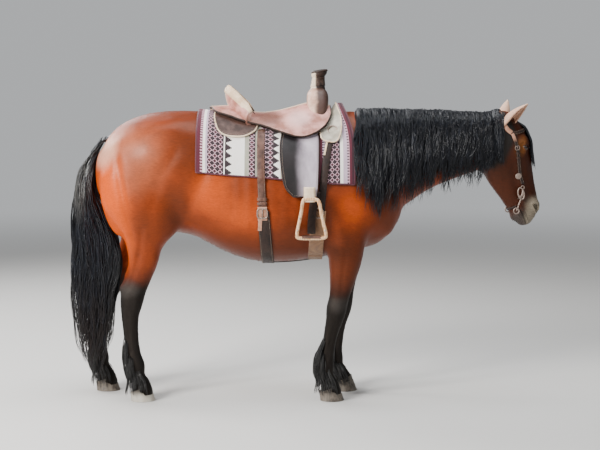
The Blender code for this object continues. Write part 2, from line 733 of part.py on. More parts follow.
def slab(outer, inner):
    """A closed sheet between two grids of points of the same size."""
    rows, columns = len(outer), len(outer[0])
    count = rows * columns
    vertices = [p for grid in (outer, inner) for row in grid for p in row]
    faces = []
    for i in range(rows - 1):
        for k in range(columns - 1):
            a, b = i * columns + k, i * columns + k + 1
            c, d = b + columns, a + columns
            for base in (0, count):
                faces += [(base + a, base + b, base + c), (base + a, base + c, base + d)]
    border = [k for k in range(columns)]
    border += [i * columns + columns - 1 for i in range(1, rows)]
    border += [(rows - 1) * columns + k for k in range(columns - 2, -1, -1)]
    border += [i * columns for i in range(rows - 2, 0, -1)]
    for k, a in enumerate(border):
        b = border[(k + 1) % len(border)]
        faces += [(a, b, b + count), (a, b + count, a + count)]
    return outward(mesh_from(vertices, faces))


def mane_path(tree, x, root_y, length, lift, sways):
    """The lie of a lock over the crest at x and down the right side, with its shift along the neck."""
    crest = tree.ray_cast(Vector((x, 0.0, 2.0)), Vector((0, 0, -1)))[0]
    path = [crest + Vector((0, root_y, -0.018)), crest + Vector((0, root_y - 0.012, 0.35 * lift))]
    outs = [Vector((0, 0.9, 0.4)), Vector((0, -0.3, 0.95))]
    for k, (t, sway) in enumerate(sways):
        drop = 0.02 + (length - 0.02) * t
        guide = Vector((crest.x + sway, -(0.05 + 0.55 * drop), crest.z - drop))
        hit, normal = tree.find_nearest(guide)[:2]
        for _ in range(3):
            guide.y = hit.y
            hit, normal = tree.find_nearest(guide)[:2]
        path.append(Vector((guide.x, hit.y + normal.y * lift, guide.z + max(0, normal.z) * lift)))
        outs.append(Vector((normal.x * 0.5, normal.y, normal.z)).normalized())
    return path, outs


def mane_length(x):
    """How far the mane falls below the crest, by the place of its root."""
    return float(np.interp(x, *np.array(MANE_FALL).T))


def mane_lock(tree, draw, x, root_y, length, lift, half_width, lean, tilt):
    """A wavy lock of the mane, on the right side, that leans along the neck as it falls."""
    wave, phase, shift = draw.uniform(0.004, 0.009), draw.uniform(0, 2 * math.pi), draw.uniform(-0.08, 0.05)
    sways = []
    for place in MANE_PLACES:
        t = place + shift * math.sin(math.pi * place)
        sways.append((t, lean * length * t + wave * math.sin(phase + 5.5 * t)))
    path, outs = mane_path(tree, x, root_y, length, lift, sways)
    return lock(path, outs, half_width, MANE_THICK, math.radians(tilt))


def mane_locks(tree):
    """Locks of the mane in two layers."""
    draw = random.Random(7)
    locks = []
    for count, lift, root_y, half, tilt in MANE_LAYERS:
        for i in range(count):
            x = MANE_START + (MANE_END - MANE_START) * (i + 0.5) / count
            length = mane_length(x) * draw.uniform(0.97, 1.10)
            wide, lean = half * draw.uniform(0.94, 1.06), -0.02 + draw.uniform(-0.025, 0.025)
            locks.append(mane_lock(tree, draw, x, root_y, length, lift, wide, lean, tilt))
    return locks


def poll_locks(tree):
    """The mane's last locks, which grow from the head behind the ears and lie over the cheek."""
    draw = random.Random(5)
    locks = []
    for x in POLL_LOCKS:
        length = mane_length(x) * draw.uniform(0.80, 0.92)
        locks.append(mane_lock(tree, draw, x, -0.010, length, 0.015, POLL_HALF_WIDTH, 0.04, 10))
    return locks


def forelock_locks(tree):
    """Locks from between the ears that lie over the brow and more to the right side of the face."""
    draw = random.Random(3)
    locks = []
    for i in range(FORELOCK_COUNT):
        f = i / (FORELOCK_COUNT - 1)
        root_left = -0.028 + 0.056 * f
        end_left = -0.062 + 0.100 * f
        length = (0.19 + 0.08 * math.sin(math.pi * (0.2 + 0.6 * f))) * draw.uniform(0.9, 1.08)
        path, outs = [on_head(-0.004, 0.006, root_left)], [HEAD_FRONT]
        for k in range(1, FORELOCK_STEPS + 1):
            t = k / FORELOCK_STEPS
            left = root_left + (end_left - root_left) * t**1.3
            hit, normal = tree.find_nearest(on_head(0.012 + length * t, 0.10, left * 1.15))[:2]
            path.append(hit + normal * FORELOCK_LIFT * (1 if k > 1 else 0.7))
            outs.append(normal)
        locks.append(lock(path, outs, FORELOCK_HALF_WIDTH, FORELOCK_THICK, FORELOCK_TILT))
    return locks


def tail_centre(z):
    """Middle of the hanging tail in x and y, its half depth along the body and half width across it."""
    back = float(np.interp(z, *np.array(TAIL_BACK).T))
    front = float(np.interp(z, *np.array(TAIL_FRONT).T))
    y = TAIL_Y - TAIL_DRIFT * (1 - z / TAIL_BACK[-1][0])
    return (back + front) / 2, y, (front - back) / 2, float(np.interp(z, *np.array(TAIL_WIDTH).T))


def tail_core():
    """The dock and the closed mass of hair round it, down to half of the tail's length."""
    rings = []
    for x, z, depth, half in curve_through(DOCK, 8):
        up = Vector((0.75, 0, 0.66)) if z > DOCK_BEND else Vector((1, 0, 0))
        rings.append(oval(Vector((x, tail_centre(z)[1], z)), Vector((0, 1, 0)), up, half, depth, depth, 8))
    return loft(rings, 0.012, 0.03)


def even_angles(count, shift, depth, half):
    """Angles at even steps round an oval."""
    turns = np.linspace(0, 2 * math.pi, 181)
    steps = np.hypot(depth * np.sin(turns), half * np.cos(turns))
    run = np.concatenate([[0], np.cumsum((steps[1:] + steps[:-1]) / 2)])
    return np.interp((np.arange(count) + shift) / count * run[-1], run, turns)


def tail_locks():
    """Locks all down the dock, in an inner and an outer tier, that hang to the tail's tip."""
    draw = random.Random(11)
    locks = []
    for tier, (count, spread, tops, ends) in enumerate(TAIL_TIERS):
        for i, angle in enumerate(even_angles(count, 0.5 * tier, 0.12, 0.07)):
            start = tops[i % len(tops)] - (0.06 if math.cos(angle) > 0.3 else 0.0) - draw.uniform(0, 0.03)
            end = draw.uniform(*ends)
            twist, phase = draw.uniform(-0.10, 0.10), draw.uniform(0, 2 * math.pi)
            path, outs = [], []
            for k in range(TAIL_STEPS + 1):
                t = k / TAIL_STEPS
                z = start + (end - start) * t
                x, y, depth, half = tail_centre(z)
                reach = spread * min(1.0, 0.4 + 3.2 * t) * (1 - 0.2 * t**3)
                turn = angle + twist * t
                c, s = math.cos(turn), math.sin(turn)
                sway = 0.006 * math.sin(phase + 7 * t)
                path.append(Vector((x + reach * depth * c + sway, y + reach * half * s, z)))
                outs.append(Vector((c / max(depth, 0.03), s / max(half, 0.03), 0)).normalized())
            root = Vector((dock_x(start), TAIL_Y, start))
            path[0] = root.lerp(path[0], 0.3)
            locks.append(lock(path, outs, draw.uniform(*TAIL_HALF_WIDTH), TAIL_THICK, TAIL_TILT, 0.5))
    return locks


def dock_x(z):
    """Where the dock's middle is at height z."""
    rows = np.array(DOCK)[::-1]
    return float(np.interp(z, rows[:, 1], rows[:, 0]))


def leg_x(name, z):
    """The middle of a lower leg at height z."""
    stations, steps = (FORELEG, FORE_STEP) if name.startswith("fore") else (HINDLEG, HIND_STEP)
    rows = np.array(stations)[::-1]
    shift = np.interp(z, *np.array(steps).T) if name.endswith("left") else 0.0
    return float(np.interp(z, rows[:, 1], rows[:, 0]) + shift)


def feather_locks(name, leg_tree):
    """Locks on the back and sides of the cannon and fetlock that fall round the hoof's heel."""
    hoof_x, y = HOOVES[name]
    draw = random.Random(int(1000 * (hoof_x + 2)))
    locks = []
    for count, top, bottom, spread in FEATHER_ROWS:
        for i in range(count):
            angle = math.radians(180 + spread * (2 * i / (count - 1) - 1) + draw.uniform(-4, 4))
            away = Vector((math.cos(angle), math.sin(angle), 0))
            behind = max(0.0, -away.x)
            start = top - 0.030 * (1 - behind) + draw.uniform(-0.012, 0.012)
            end = bottom + 0.025 * (1 - behind) + draw.uniform(0, 0.012)
            path = []
            for k in range(FEATHER_STEPS + 2):
                z = start + (end - start) * max(0, k - 0.3) / (FEATHER_STEPS + 0.7)
                hit = leg_tree.find_nearest(Vector((leg_x(name, z), y, z)) + away * 0.09)[0]
                lift = (-0.010, 0.008, 0.012, 0.014)[k]
                p = Vector((hit.x, hit.y, z)) + away * lift
                from_hoof = p - Vector((hoof_x - 0.012, y, z))
                if z < 0.10 and from_hoof.length < FEATHER_REACH:
                    p += away * (FEATHER_REACH - from_hoof.length) * min(1, (0.10 - z) / 0.03)
                path.append(p)
            locks.append(lock(path, [away] * len(path), FEATHER_HALF_WIDTH, FEATHER_THICK, FEATHER_TILT))
    return locks


# Hooves, eyes and ears
def coronet_z(hoof_x, x):
    """Height of the cut between pastern and hoof."""
    return 0.066 + (x - (hoof_x - 0.018)) * 0.40


def hoof(name, hoof_x, y, material):
    rings = []
    for t in (0.0, 0.12, 1.0):
        middle_x = hoof_x - 0.018 * t
        r_x = (HOOF_LENGTH + (0.052 - HOOF_LENGTH) * t) - (0.0015 if t == 0 else 0)
        r_y = (HOOF_WIDTH + (0.050 - HOOF_WIDTH) * t) - (0.0015 if t == 0 else 0)
        ring = []
        for k in range(HOOF_SIDES):
            angle = 2 * math.pi * k / HOOF_SIDES
            x = middle_x + r_x * math.cos(angle) * (0.94 if math.cos(angle) < 0 else 1.0)
            ring.append(Vector((x, y + r_y * math.sin(angle), t * (coronet_z(hoof_x, x) - GAP))))
        rings.append(ring)
    return new_object(name, loft(rings), material)


def eye(name, side, material):
    return new_object(name, egg(eye_centre(side), (EYE_RADIUS,) * 3, HEAD_TURNED, 10), material)


def almond(side):
    """A block with the outline of the gap between the lids, from the eyeball's middle outwards."""
    outline = []
    for k in range(12):
        angle = 2 * math.pi * k / 12
        c, s = math.cos(angle), math.sin(angle)
        outline.append((0.0190 * c, (0.0125 if s > 0 else 0.0095) * power(s, 1.25)))
    tilt = math.radians(28)
    vertices = []
    for reach in (0.006, 0.05):
        for a, b in outline:
            down = a * math.cos(tilt) - b * math.sin(tilt)
            fore = a * math.sin(tilt) + b * math.cos(tilt)
            centre = eye_centre(side)
            vertices.append(centre + HEAD_AXIS * down + HEAD_FRONT * fore + HEAD_LEFT * side * reach)
    count = len(outline)
    faces = [tuple(range(count)), tuple(range(count, 2 * count))]
    faces += [(k, (k + 1) % count, count + (k + 1) % count, count + k) for k in range(count)]
    return new_object("cutter", outward(mesh_from(vertices, faces)))


def mouth_cutter():
    """A thin band that follows the lips and cuts the line of the mouth."""
    vertices, faces, count = [], [], 11
    for i in range(count):
        angle = math.pi * (i / (count - 1))
        across, ahead = math.cos(angle), math.sin(angle)
        for reach, half in ((0.80, 0.0006), (1.6, 0.0022)):
            s = MOUTH_CORNER[0] + (MOUTH_FRONT[0] - MOUTH_CORNER[0]) * power(ahead, 0.7) * reach
            front = MOUTH_CORNER[1] + (MOUTH_FRONT[1] - MOUTH_CORNER[1]) * power(ahead, 0.7) * reach
            for sign in (-1, 1):
                vertices.append(on_head(s + sign * half * 0.3, front - sign * half, across * 0.046 * reach))
    for i in range(count - 1):
        a, b = 4 * i, 4 * i + 4
        for m, n in ((0, 1), (1, 3), (3, 2), (2, 0)):
            faces.append((a + m, a + n, b + n, b + m))
    last = 4 * (count - 1)
    faces += [(0, 1, 3, 2), (last, last + 1, last + 3, last + 2)]
    return new_object("cutter", outward(mesh_from(vertices, faces)))


def ear(name, side, material):
    """A curled cup of even thickness, open to the front and outwards, that tapers to its tip."""
    lean = EAR_LEAN[side]
    up = (HEAD_FRONT * lean[0] - HEAD_AXIS * lean[1] + HEAD_LEFT * side * lean[2]).normalized()
    facing = (HEAD_FRONT * 0.55 + HEAD_LEFT * side * 0.75 + HEAD_AXIS * 0.35)
    facing = (facing - up * facing.dot(up)).normalized()
    across = up.cross(facing)
    base = on_head(EAR_BASE[0], EAR_BASE[1], side * EAR_BASE[2])
    rings = []
    for t, radius, open_angle in EAR_STATIONS:
        middle = base + up * EAR_LENGTH * t - facing * 0.012 * t
        ring = []
        half = math.radians(180 - open_angle / 2)
        for k in range(7):
            a = -half + 2 * half * k / 6
            ring.append(middle - facing * radius * math.cos(a) + across * radius * math.sin(a))
        inner = max(radius - EAR_THICK, radius * 0.45)
        for k in range(6, -1, -1):
            a = (-half + 2 * half * k / 6) * 0.97
            ring.append(middle - facing * inner * math.cos(a) + across * inner * math.sin(a))
        rings.append(ring)
    return new_object(name, loft(rings), material)


# Layers on the back
def back_point(tree, x, angle, lift):
    """A point over the back at x, at an angle from straight up, so far off the skin."""
    out = Vector((0, math.sin(angle), math.cos(angle)))
    hit = tree.ray_cast(Vector((x, 0, BACK_CENTRE)), out)[0]
    return hit + out * lift


def edge_angle(tree, x, z):
    """The angle at which the back has come down to height z."""
    low, high = 0.1, 1.9
    for _ in range(24):
        middle = (low + high) / 2
        if back_point(tree, x, middle, 0.012).z > z:
            low = middle
        else:
            high = middle
    return low


def over_back(tree, xs, edge, inner, outer, columns, spare=0.0):
    """A sheet laid over the back, grown by spare. inner and outer give its lift by x and angle."""
    xs = np.array(xs, float)
    xs[0] -= spare
    xs[-1] += spare
    grids = ([], [])
    for x in xs:
        reach = edge_angle(tree, x, float(np.interp(x, *np.array(edge).T)) - 2 * spare)
        angles = [reach * power(2 * k / (columns - 1) - 1, RIDGE_POWER) for k in range(columns)]
        for grid, lift in zip(grids, (outer, inner)):
            grid.append([back_point(tree, x, angle, lift(x, angle)) for angle in angles])
    return slab(*grids)


def blanket_sheet(tree, under, spare=0.0):
    """The blanket's sheet, from that far under the skin's level to its top."""
    xs = np.linspace(BLANKET_EDGE[0][0], BLANKET_EDGE[-1][0], 7)
    top = BLANKET_LIFT + spare
    return over_back(tree, xs, BLANKET_EDGE, lambda x, a: -under, lambda x, a: top, 11, spare)


def skirt_sheet(tree, under, spare=0.0):
    xs = [row[0] for row in SKIRT_EDGE]
    top = SKIRT_LIFT + spare
    return over_back(tree, xs, SKIRT_EDGE, lambda x, a: -under, lambda x, a: top, 9, spare)


def seat_sheet(tree):
    """The seat with its jockeys. It dips in the middle and rises to the cantle and the fork."""
    def outer(x, angle):
        top = float(np.interp(x, *np.array(SEAT_TOP).T))
        rise = top - back_point(tree, x, 0, 0).z
        return SEAT_LIFT + (rise - SEAT_LIFT) * math.exp(-((angle / 0.5) ** 2))

    xs = [row[0] for row in SEAT_EDGE]
    return over_back(tree, xs, SEAT_EDGE, lambda x, a: SKIRT_LIFT - 0.009, outer, 9)


def laid_on(item, *sheets):
    """Cuts away what reaches into the thick sheets that lie under an object."""
    for sheet in sheets:
        cutter = new_object("cutter", sheet)
        boolean(item, cutter, "DIFFERENCE", CLOSE_SOLVER)
        removed(cutter)
    return largest(item)


def saddle_cantle(tree, material):
    """The raised back of the seat, whose sides come forward and down."""
    (top_x, top_z), (end_x, end_z) = CANTLE
    behind, ahead = [], []
    for k in range(11):
        u = 2 * k / 10 - 1
        bend = abs(u) ** 2
        rim_z = top_z + (end_z - top_z) * abs(u) ** 2.2
        rim = Vector((top_x + (end_x - top_x) * bend, CANTLE_HALF * u, rim_z))
        foot_z = min(1.545, rim_z - 0.01) - 0.035 - 0.05 * bend
        foot = Vector((rim.x + 0.055 * (1 - bend), 0.90 * CANTLE_HALF * u, foot_z))
        lean = (rim - foot).normalized()
        forward = Vector((1, -0.6 * u, 0)).normalized()
        out = (forward - lean * forward.dot(lean)).normalized()
        columns = ([], [])
        for t, thick in ((0.0, 0.010), (0.50, 0.011), (0.84, 0.012), (0.94, 0.016), (1.0, 0.009)):
            p = foot.lerp(rim, t) - out * 0.016 * math.sin(math.pi * t)
            columns[0].append(p - out * thick)
            columns[1].append(p + out * thick)
        behind.append(columns[0])
        ahead.append(columns[1])
    return new_object("saddle_cantle", slab(behind, ahead), material)


def saddle_fork(tree, material):
    """The arch in front of the seat, as ovals set across the horse."""
    rings = []
    for k in range(9):
        u = 2 * k / 8 - 1
        top = FORK_TOP - 0.150 * abs(u) ** 2.3
        y = FORK_HALF * u
        low = top - (0.13 if abs(u) < 0.5 else 0.13 - 0.06 * (abs(u) - 0.5) / 0.5)
        middle = Vector((FORK_X + 0.004, y, (top + low) / 2))
        half_x = 0.046 * (1 - 0.35 * abs(u) ** 3)
        tall = (top - low) / 2
        rings.append(oval(middle, Vector((1, 0, 0)), Vector((0, 0, 1)), half_x, tall, tall, 10, 2.4, 2.4))
    return new_object("saddle_fork", loft(rings), material)


def saddle_horn(material):
    rings = []
    forward = Vector((1, 0, 0.15)).normalized()
    for x, z, radius in HORN:
        rings.append(oval(Vector((x, 0, z)), forward, Vector((0, 1, 0)), radius, radius, radius, 12))
    return new_object("saddle_horn", loft(rings), material)


def side_point(tree, x, z, side, lift):
    """A point beside the horse at x and z, so far off the skin."""
    hit = tree.ray_cast(Vector((x, side * 1.0, z)), Vector((0, -side, 0)))[0]
    return Vector((x, hit.y + side * lift, z))


def fender(tree, side, name, material):
    outer, inner, last_y = [], [], 0.0
    for z, rear, front in FENDER:
        rows = ([], [])
        for k in range(5):
            x = rear + (front - rear) * k / 4
            y = max(abs(side_point(tree, x, z, side, 0).y), last_y - 0.010)
            for row, lift in zip(rows, (FENDER_LIFT, BLANKET_LIFT - 0.003)):
                row.append(Vector((x, side * (y + lift), z)))
        last_y = max(last_y, abs(side_point(tree, (rear + front) / 2, z, side, 0).y))
        outer.append(rows[0])
        inner.append(rows[1])
    return new_object(name, slab(outer, inner), material)


def ring_sweep(middles, sections):
    """A closed ring: a four sided section at each place round a loop."""
    count = len(middles)
    vertices = [p for section in sections for p in section]
    faces = []
    for i in range(count):
        for k in range(4):
            a, b = 4 * i + k, 4 * i + (k + 1) % 4
            c, d = 4 * ((i + 1) % count) + (k + 1) % 4, 4 * ((i + 1) % count) + k
            faces += [(a, b, c), (a, c, d)]
    return outward(mesh_from(vertices, faces))


def stirrup(side, name, material):
    """A wooden stirrup: a tapered frame with a broad tread."""
    middles = [Vector((x, side * STIRRUP_Y, z)) for x, z in STIRRUP]
    centre = Vector((0.022, side * STIRRUP_Y, 0.98))
    sections = []
    for i, p in enumerate(middles):
        along = (middles[(i + 1) % len(middles)] - middles[i - 1]).normalized()
        out = along.cross(Vector((0, 1, 0))).normalized()
        if out.dot(p - centre) < 0:
            out = -out
        wide = STIRRUP_NECK + (STIRRUP_TREAD - STIRRUP_NECK) * (1.09 - p.z) / 0.19
        half = Vector((0, wide / 2, 0))
        thick = out * STIRRUP_THICK / 2
        sections.append([p + half - thick, p + half + thick, p - half + thick, p - half - thick])
    return new_object(name, ring_sweep(middles, sections), material)


def hoop(centre, normal, radius, wire, count=10):
    """A metal ring of square wire."""
    normal = normal.normalized()
    first = normal.orthogonal().normalized()
    second = normal.cross(first)
    middles, sections = [], []
    for k in range(count):
        angle = 2 * math.pi * k / count
        out = first * math.cos(angle) + second * math.sin(angle)
        p = centre + out * radius
        middles.append(p)
        sections.append([p - out * wire, p + normal * wire, p + out * wire, p - normal * wire])
    return ring_sweep(middles, sections)


def strap(path, outs, half_width, low, high):
    """A flat strap along a path, from low to high off it in the direction of outs."""
    outer, inner = [], []
    for i, p in enumerate(path):
        along = (path[min(i + 1, len(path) - 1)] - path[max(i - 1, 0)]).normalized()
        side = along.cross(outs[i]).normalized() * half_width
        outer.append([p - side + outs[i] * high, p + side + outs[i] * high])
        inner.append([p - side + outs[i] * low, p + side + outs[i] * low])
    return slab(outer, inner)


def snapped(tree, guides):
    """The nearest places on the skin, and its normals there."""
    found = [tree.find_nearest(guide)[:2] for guide in guides]
    return [hit for hit, _ in found], [normal for _, normal in found]


def belly_band(tree, x_top, x_low, top, half_width, low, high, count=9):
    """A girth that goes down one side, under the belly and up the other side."""
    path, outs = [], []
    for k in range(count):
        turn = math.pi * k / (count - 1)
        y, z = -math.cos(turn), top - (top - 0.70) * math.sin(turn)
        x = x_top + (x_low - x_top) * math.sin(turn)
        guide = Vector((x, y * 0.42, z))
        hit = tree.ray_cast(guide, (Vector((x, 0, 1.05)) - guide).normalized())[0]
        path.append(hit)
        outs.append((guide - Vector((x, 0, 1.05))).normalized())
    return strap(path, outs, half_width, low, high)


def disc(centre, normal, radius, thick, count=10):
    normal = normal.normalized()
    first = normal.orthogonal().normalized()
    second = normal.cross(first)
    rings = []
    for lift, r in ((0.0, radius), (thick * 0.5, radius), (thick, radius * 0.55)):
        ring = []
        for k in range(count):
            angle = 2 * math.pi * k / count
            ring.append(centre + normal * lift + (first * math.cos(angle) + second * math.sin(angle)) * r)
        rings.append(ring)
    return loft(rings)


def bit(tree, side, name, material):
    """The bit's cheek: a curved shank with its upper ring at the corner of the mouth and a lower ring."""
    surface = max(tree.find_nearest(on_head(s, f, side * 0.12))[0].dot(HEAD_LEFT) * side for s, f, _ in BIT)
    level = surface - POLL.dot(HEAD_LEFT) * side + 0.003
    rings = []
    for s, front, half in BIT:
        p = on_head(s, front, side * (level + 0.004))
        across, along = HEAD_LEFT * 0.0035, HEAD_FRONT * half
        rings.append([p + along, p + across, p - along, p - across])
    return new_object(name, loft(rings), material)


def tack(tree, parts, ears):
    """Saddle, blanket, girths and bridle, each laid on what is under it."""
    wool = finish("wool", (0.62, 0.50, 0.50), 0.9)
    tan = finish("tan_leather", (0.62, 0.42, 0.34), 0.5)
    dark = finish("dark_leather", (0.035, 0.020, 0.015), 0.5)
    wood = finish("stirrup_wood", (0.62, 0.44, 0.27), 0.5)
    cotton = finish("cinch", (0.29, 0.17, 0.09), 0.9)
    steel = finish("steel", (0.6, 0.6, 0.6), 0.3, 1.0)
    torso, head_part, neck_part = parts["torso"], parts["head"], parts["neck"]

    blanket = carved(new_object("saddle_blanket", blanket_sheet(tree, 0.010), wool), torso)
    skirt = new_object("saddle_skirt", skirt_sheet(tree, 0.009 - BLANKET_LIFT), tan)
    laid_on(skirt, blanket_sheet(tree, UNDER, LAYER_GAP))
    seat = new_object("saddle_seat", seat_sheet(tree), tan)
    laid_on(seat, skirt_sheet(tree, UNDER, LAYER_GAP), blanket_sheet(tree, UNDER, LAYER_GAP))
    cantle = carved(saddle_cantle(tree, tan), seat, skirt)
    fork = carved(saddle_fork(tree, tan), seat, skirt, blanket)
    carved(saddle_horn(tan), fork)
    band = belly_band(tree, 0.062, 0.045, 1.01, 0.038, -0.006, 0.012)
    front_girth = carved(new_object("cinch_front", band, cotton), torso)
    band = belly_band(tree, -0.225, -0.205, 1.01, 0.032, -0.006, 0.009)
    rear_girth = carved(new_object("cinch_rear", band, dark), torso)
    for side, word in ((-1, "right"), (1, "left")):
        flap = carved(fender(tree, side, "fender_" + word, tan), blanket, skirt, seat)
        foot_hold = stirrup(side, "stirrup_" + word, wood)
        out = Vector((0, side, 0))
        path = [Vector((0.014, side * STIRRUP_Y, z)) for z in COLLAR]
        band = strap(path, [out] * len(path), 0.030, -0.046, 0.014)
        sleeve = new_object("stirrup_collar_" + word, band, tan)
        carved(sleeve, flap, foot_hold)
        x, z, radius, wire = RIGGING_RING
        place = side_point(tree, x, z, side, SKIRT_LIFT + 0.008)
        ring = new_object("rigging_ring_" + word, hoop(place, Vector((0, side, 0.45)), radius, wire), steel)
        carved(ring, skirt, blanket)
        path = [side_point(tree, a, b, side, 0) for a, b in LATIGO]
        band = strap(path, [out] * len(path), 0.019, -0.004, BLANKET_LIFT + 0.008)
        latigo = new_object("latigo_" + word, band, dark)
        carved(latigo, blanket, skirt, torso, front_girth, flap, ring)
        path = [side_point(tree, a, b, side, 0) for a, b in BILLET]
        band = strap(path, [out] * len(path), 0.020, -0.004, BLANKET_LIFT + 0.006)
        billet = new_object("billet_" + word, band, dark)
        carved(billet, blanket, torso, rear_girth, skirt, seat)
        place = side_point(tree, -0.229, 1.012, side, 0.026)
        buckle = new_object("buckle_" + word, hoop(place, out, 0.026, 0.004, 8), steel)
        carved(buckle, billet, rear_girth, torso)

    half = ((0.074, -0.014, 0.12), (0.044, -0.036, 0.12), (0.004, -0.044, 0.09), (-0.030, -0.042, 0.05))
    guides = [on_head(a, b, -c) for a, b, c in half] + [on_head(-0.045, -0.042, 0)]
    guides += [on_head(a, b, c) for a, b, c in reversed(half)]
    places, outs = snapped(tree, guides)
    crown = new_object("bridle_crown", strap(places, outs, BRIDLE_WIDTH / 2, -0.003, STRAP_THICK), tan)
    carved(crown, head_part, *ears)
    turns = np.linspace(-1.45, 1.45, 7)
    guides = [on_head(0.080, -0.025 + 0.12 * math.cos(t), 0.11 * math.sin(t)) for t in turns]
    places, outs = snapped(tree, guides)
    brow = new_object("browband", strap(places, outs, BRIDLE_WIDTH / 2, -0.003, STRAP_THICK), dark)
    carved(brow, head_part, crown, *ears)
    for side, word in ((-1, "right"), (1, "left")):
        places, outs = snapped(tree, [on_head(a, b, side * 0.12) for a, b in CHEEKPIECE])
        band = strap(places, outs, BRIDLE_WIDTH / 2, -0.003, STRAP_THICK)
        cheek = new_object("cheekpiece_" + word, band, dark)
        carved(cheek, head_part, crown, brow)
        hit, normal = tree.find_nearest(on_head(0.318, -0.020, side * 0.12))[:2]
        concho = new_object("concho_" + word, disc(hit + normal * 0.001, normal, 0.017, 0.009), steel)
        carved(concho, cheek, head_part)
        carved(bit(tree, side, "bit_" + word, steel), head_part, cheek)
    guides = []
    for t in np.linspace(-1.3, 1.3, 5):
        c, s = math.cos(t), math.sin(t)
        guides.append(on_head(0.470 + 0.01 * c, -0.105 + 0.045 * (1 - c), 0.075 * s))
    places, outs = snapped(tree, guides)
    curb = new_object("curb_strap", strap(places, outs, 0.006, -0.003, STRAP_THICK), dark)
    carved(curb, head_part, bpy.data.objects["bit_right"], bpy.data.objects["bit_left"])


def main():
    for item in list(bpy.data.objects):
        bpy.data.objects.remove(item)
    skin = make_skin()
    co = coordinates(skin.data)
    s = head_local(co)[:, 0]
    on_face = step_up(s, 0.0, 0.10) * step_up(co[:, 0], 0.90, 0.98)
    thinned(skin, SKIN_TRIANGLES, 0.9 * np.maximum(on_face, LEG_KEEP * (co[:, 2] < 0.62)))
    tree = tree_of(skin)

    coat = finish("coat", (0.42, 0.13, 0.04), 0.55)
    hair = finish("hair", (0.014, 0.015, 0.019), 0.45)
    ear_coat = finish("ear", (0.30, 0.19, 0.13), 0.6)
    horn = finish("hoof_horn", (0.36, 0.31, 0.24), 0.5)
    glass = finish("eye", (0.012, 0.008, 0.006), 0.05)

    back_cut = Vector((-1, 0, 0)) * GAP * 1.2
    head_part = split(skin, "head", HEAD_CUT, -1, 1, back_cut)
    neck_part = split(skin, "neck", NECK_CUT, -1, 1, back_cut)
    legs = {}
    for end, outline in (("fore", FORE_CUT), ("hind", HIND_CUT)):
        for side, y in (("right", -1), ("left", 1)):
            name = end + "_leg_" + side
            legs[name] = split(skin, name, outline, min(0, y), max(0, y), Vector((0, 0, 1.2 * GAP)))
    skin.name = "torso"
    parts = {"torso": skin, "neck": neck_part, "head": head_part, **legs}
    for item in parts.values():
        item.data.materials.clear()
        item.data.materials.append(coat)

    for name, item in legs.items():
        hoof_x, y = HOOVES[name]
        rear, front = hoof_x - 0.3, hoof_x + 0.3
        top = [(x, coronet_z(hoof_x, x)) for x in (rear, front)]
        low = prism(top + [(front, -0.3), (rear, -0.3)], -1, 1)
        boolean(item, low, "DIFFERENCE")
        removed(low)
        leg_tree = tree_of(item)
        fused(item, feather_locks(name, leg_tree))
        hoof(name.replace("leg", "hoof"), hoof_x, y, horn)

    for side, word in ((-1, "right"), (1, "left")):
        socket = grown(eye("eye_" + word, side, glass), 1.5 * GAP)
        for hole in (almond(side), socket):
            boolean(head_part, hole, "DIFFERENCE")
            removed(hole)
        place = on_head(*NOSTRIL[:2], side * NOSTRIL[2])
        nostril = new_object("cutter", egg(place, (0.020, 0.012, 0.010), HEAD_TURNED, 8))
        boolean(head_part, nostril, "DIFFERENCE")
        removed(nostril)
    mouth = mouth_cutter()
    boolean(head_part, mouth, "DIFFERENCE")
    removed(mouth)
    largest(head_part)
    ears = [ear("ear_" + word, side, ear_coat) for side, word in ((-1, "right"), (1, "left"))]
    for item in ears:
        carved(item, head_part)
    fused(head_part, forelock_locks(tree) + poll_locks(tree))
    tack(tree, parts, ears)
    fused(neck_part, mane_locks(tree))
    carved(neck_part, head_part, skin)
    tail = new_object("tail", tail_core(), hair)
    fused(tail, tail_locks())
    carved(tail, skin)


main()
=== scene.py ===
import math
import random

import bmesh
import bpy
import numpy as np
from mathutils import Matrix, Vector
from mathutils.bvhtree import BVHTree


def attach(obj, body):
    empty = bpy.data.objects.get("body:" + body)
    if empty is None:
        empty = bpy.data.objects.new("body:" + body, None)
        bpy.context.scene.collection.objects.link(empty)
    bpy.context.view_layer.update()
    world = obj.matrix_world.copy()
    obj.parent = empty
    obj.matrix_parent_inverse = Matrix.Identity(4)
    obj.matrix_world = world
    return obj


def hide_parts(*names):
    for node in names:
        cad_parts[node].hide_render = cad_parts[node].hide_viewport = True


# Looks of a saddled bay horse of the friesian type, life size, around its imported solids.
# Metres, Z up. The horse faces +X, its right side is -Y, and it stands on Z = 0.
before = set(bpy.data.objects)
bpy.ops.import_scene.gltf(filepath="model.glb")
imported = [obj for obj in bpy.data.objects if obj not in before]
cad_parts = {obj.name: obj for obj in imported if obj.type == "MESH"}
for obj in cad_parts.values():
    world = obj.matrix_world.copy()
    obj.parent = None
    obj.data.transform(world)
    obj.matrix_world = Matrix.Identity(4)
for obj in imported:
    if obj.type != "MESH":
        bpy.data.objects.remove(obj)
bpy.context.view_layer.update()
print("frame loaded,", len(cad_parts), "nodes")


unitX, unitY, unitZ = Vector((1, 0, 0)), Vector((0, 1, 0)), Vector((0, 0, 1))
sides = ((-1, "right"), (1, "left"))


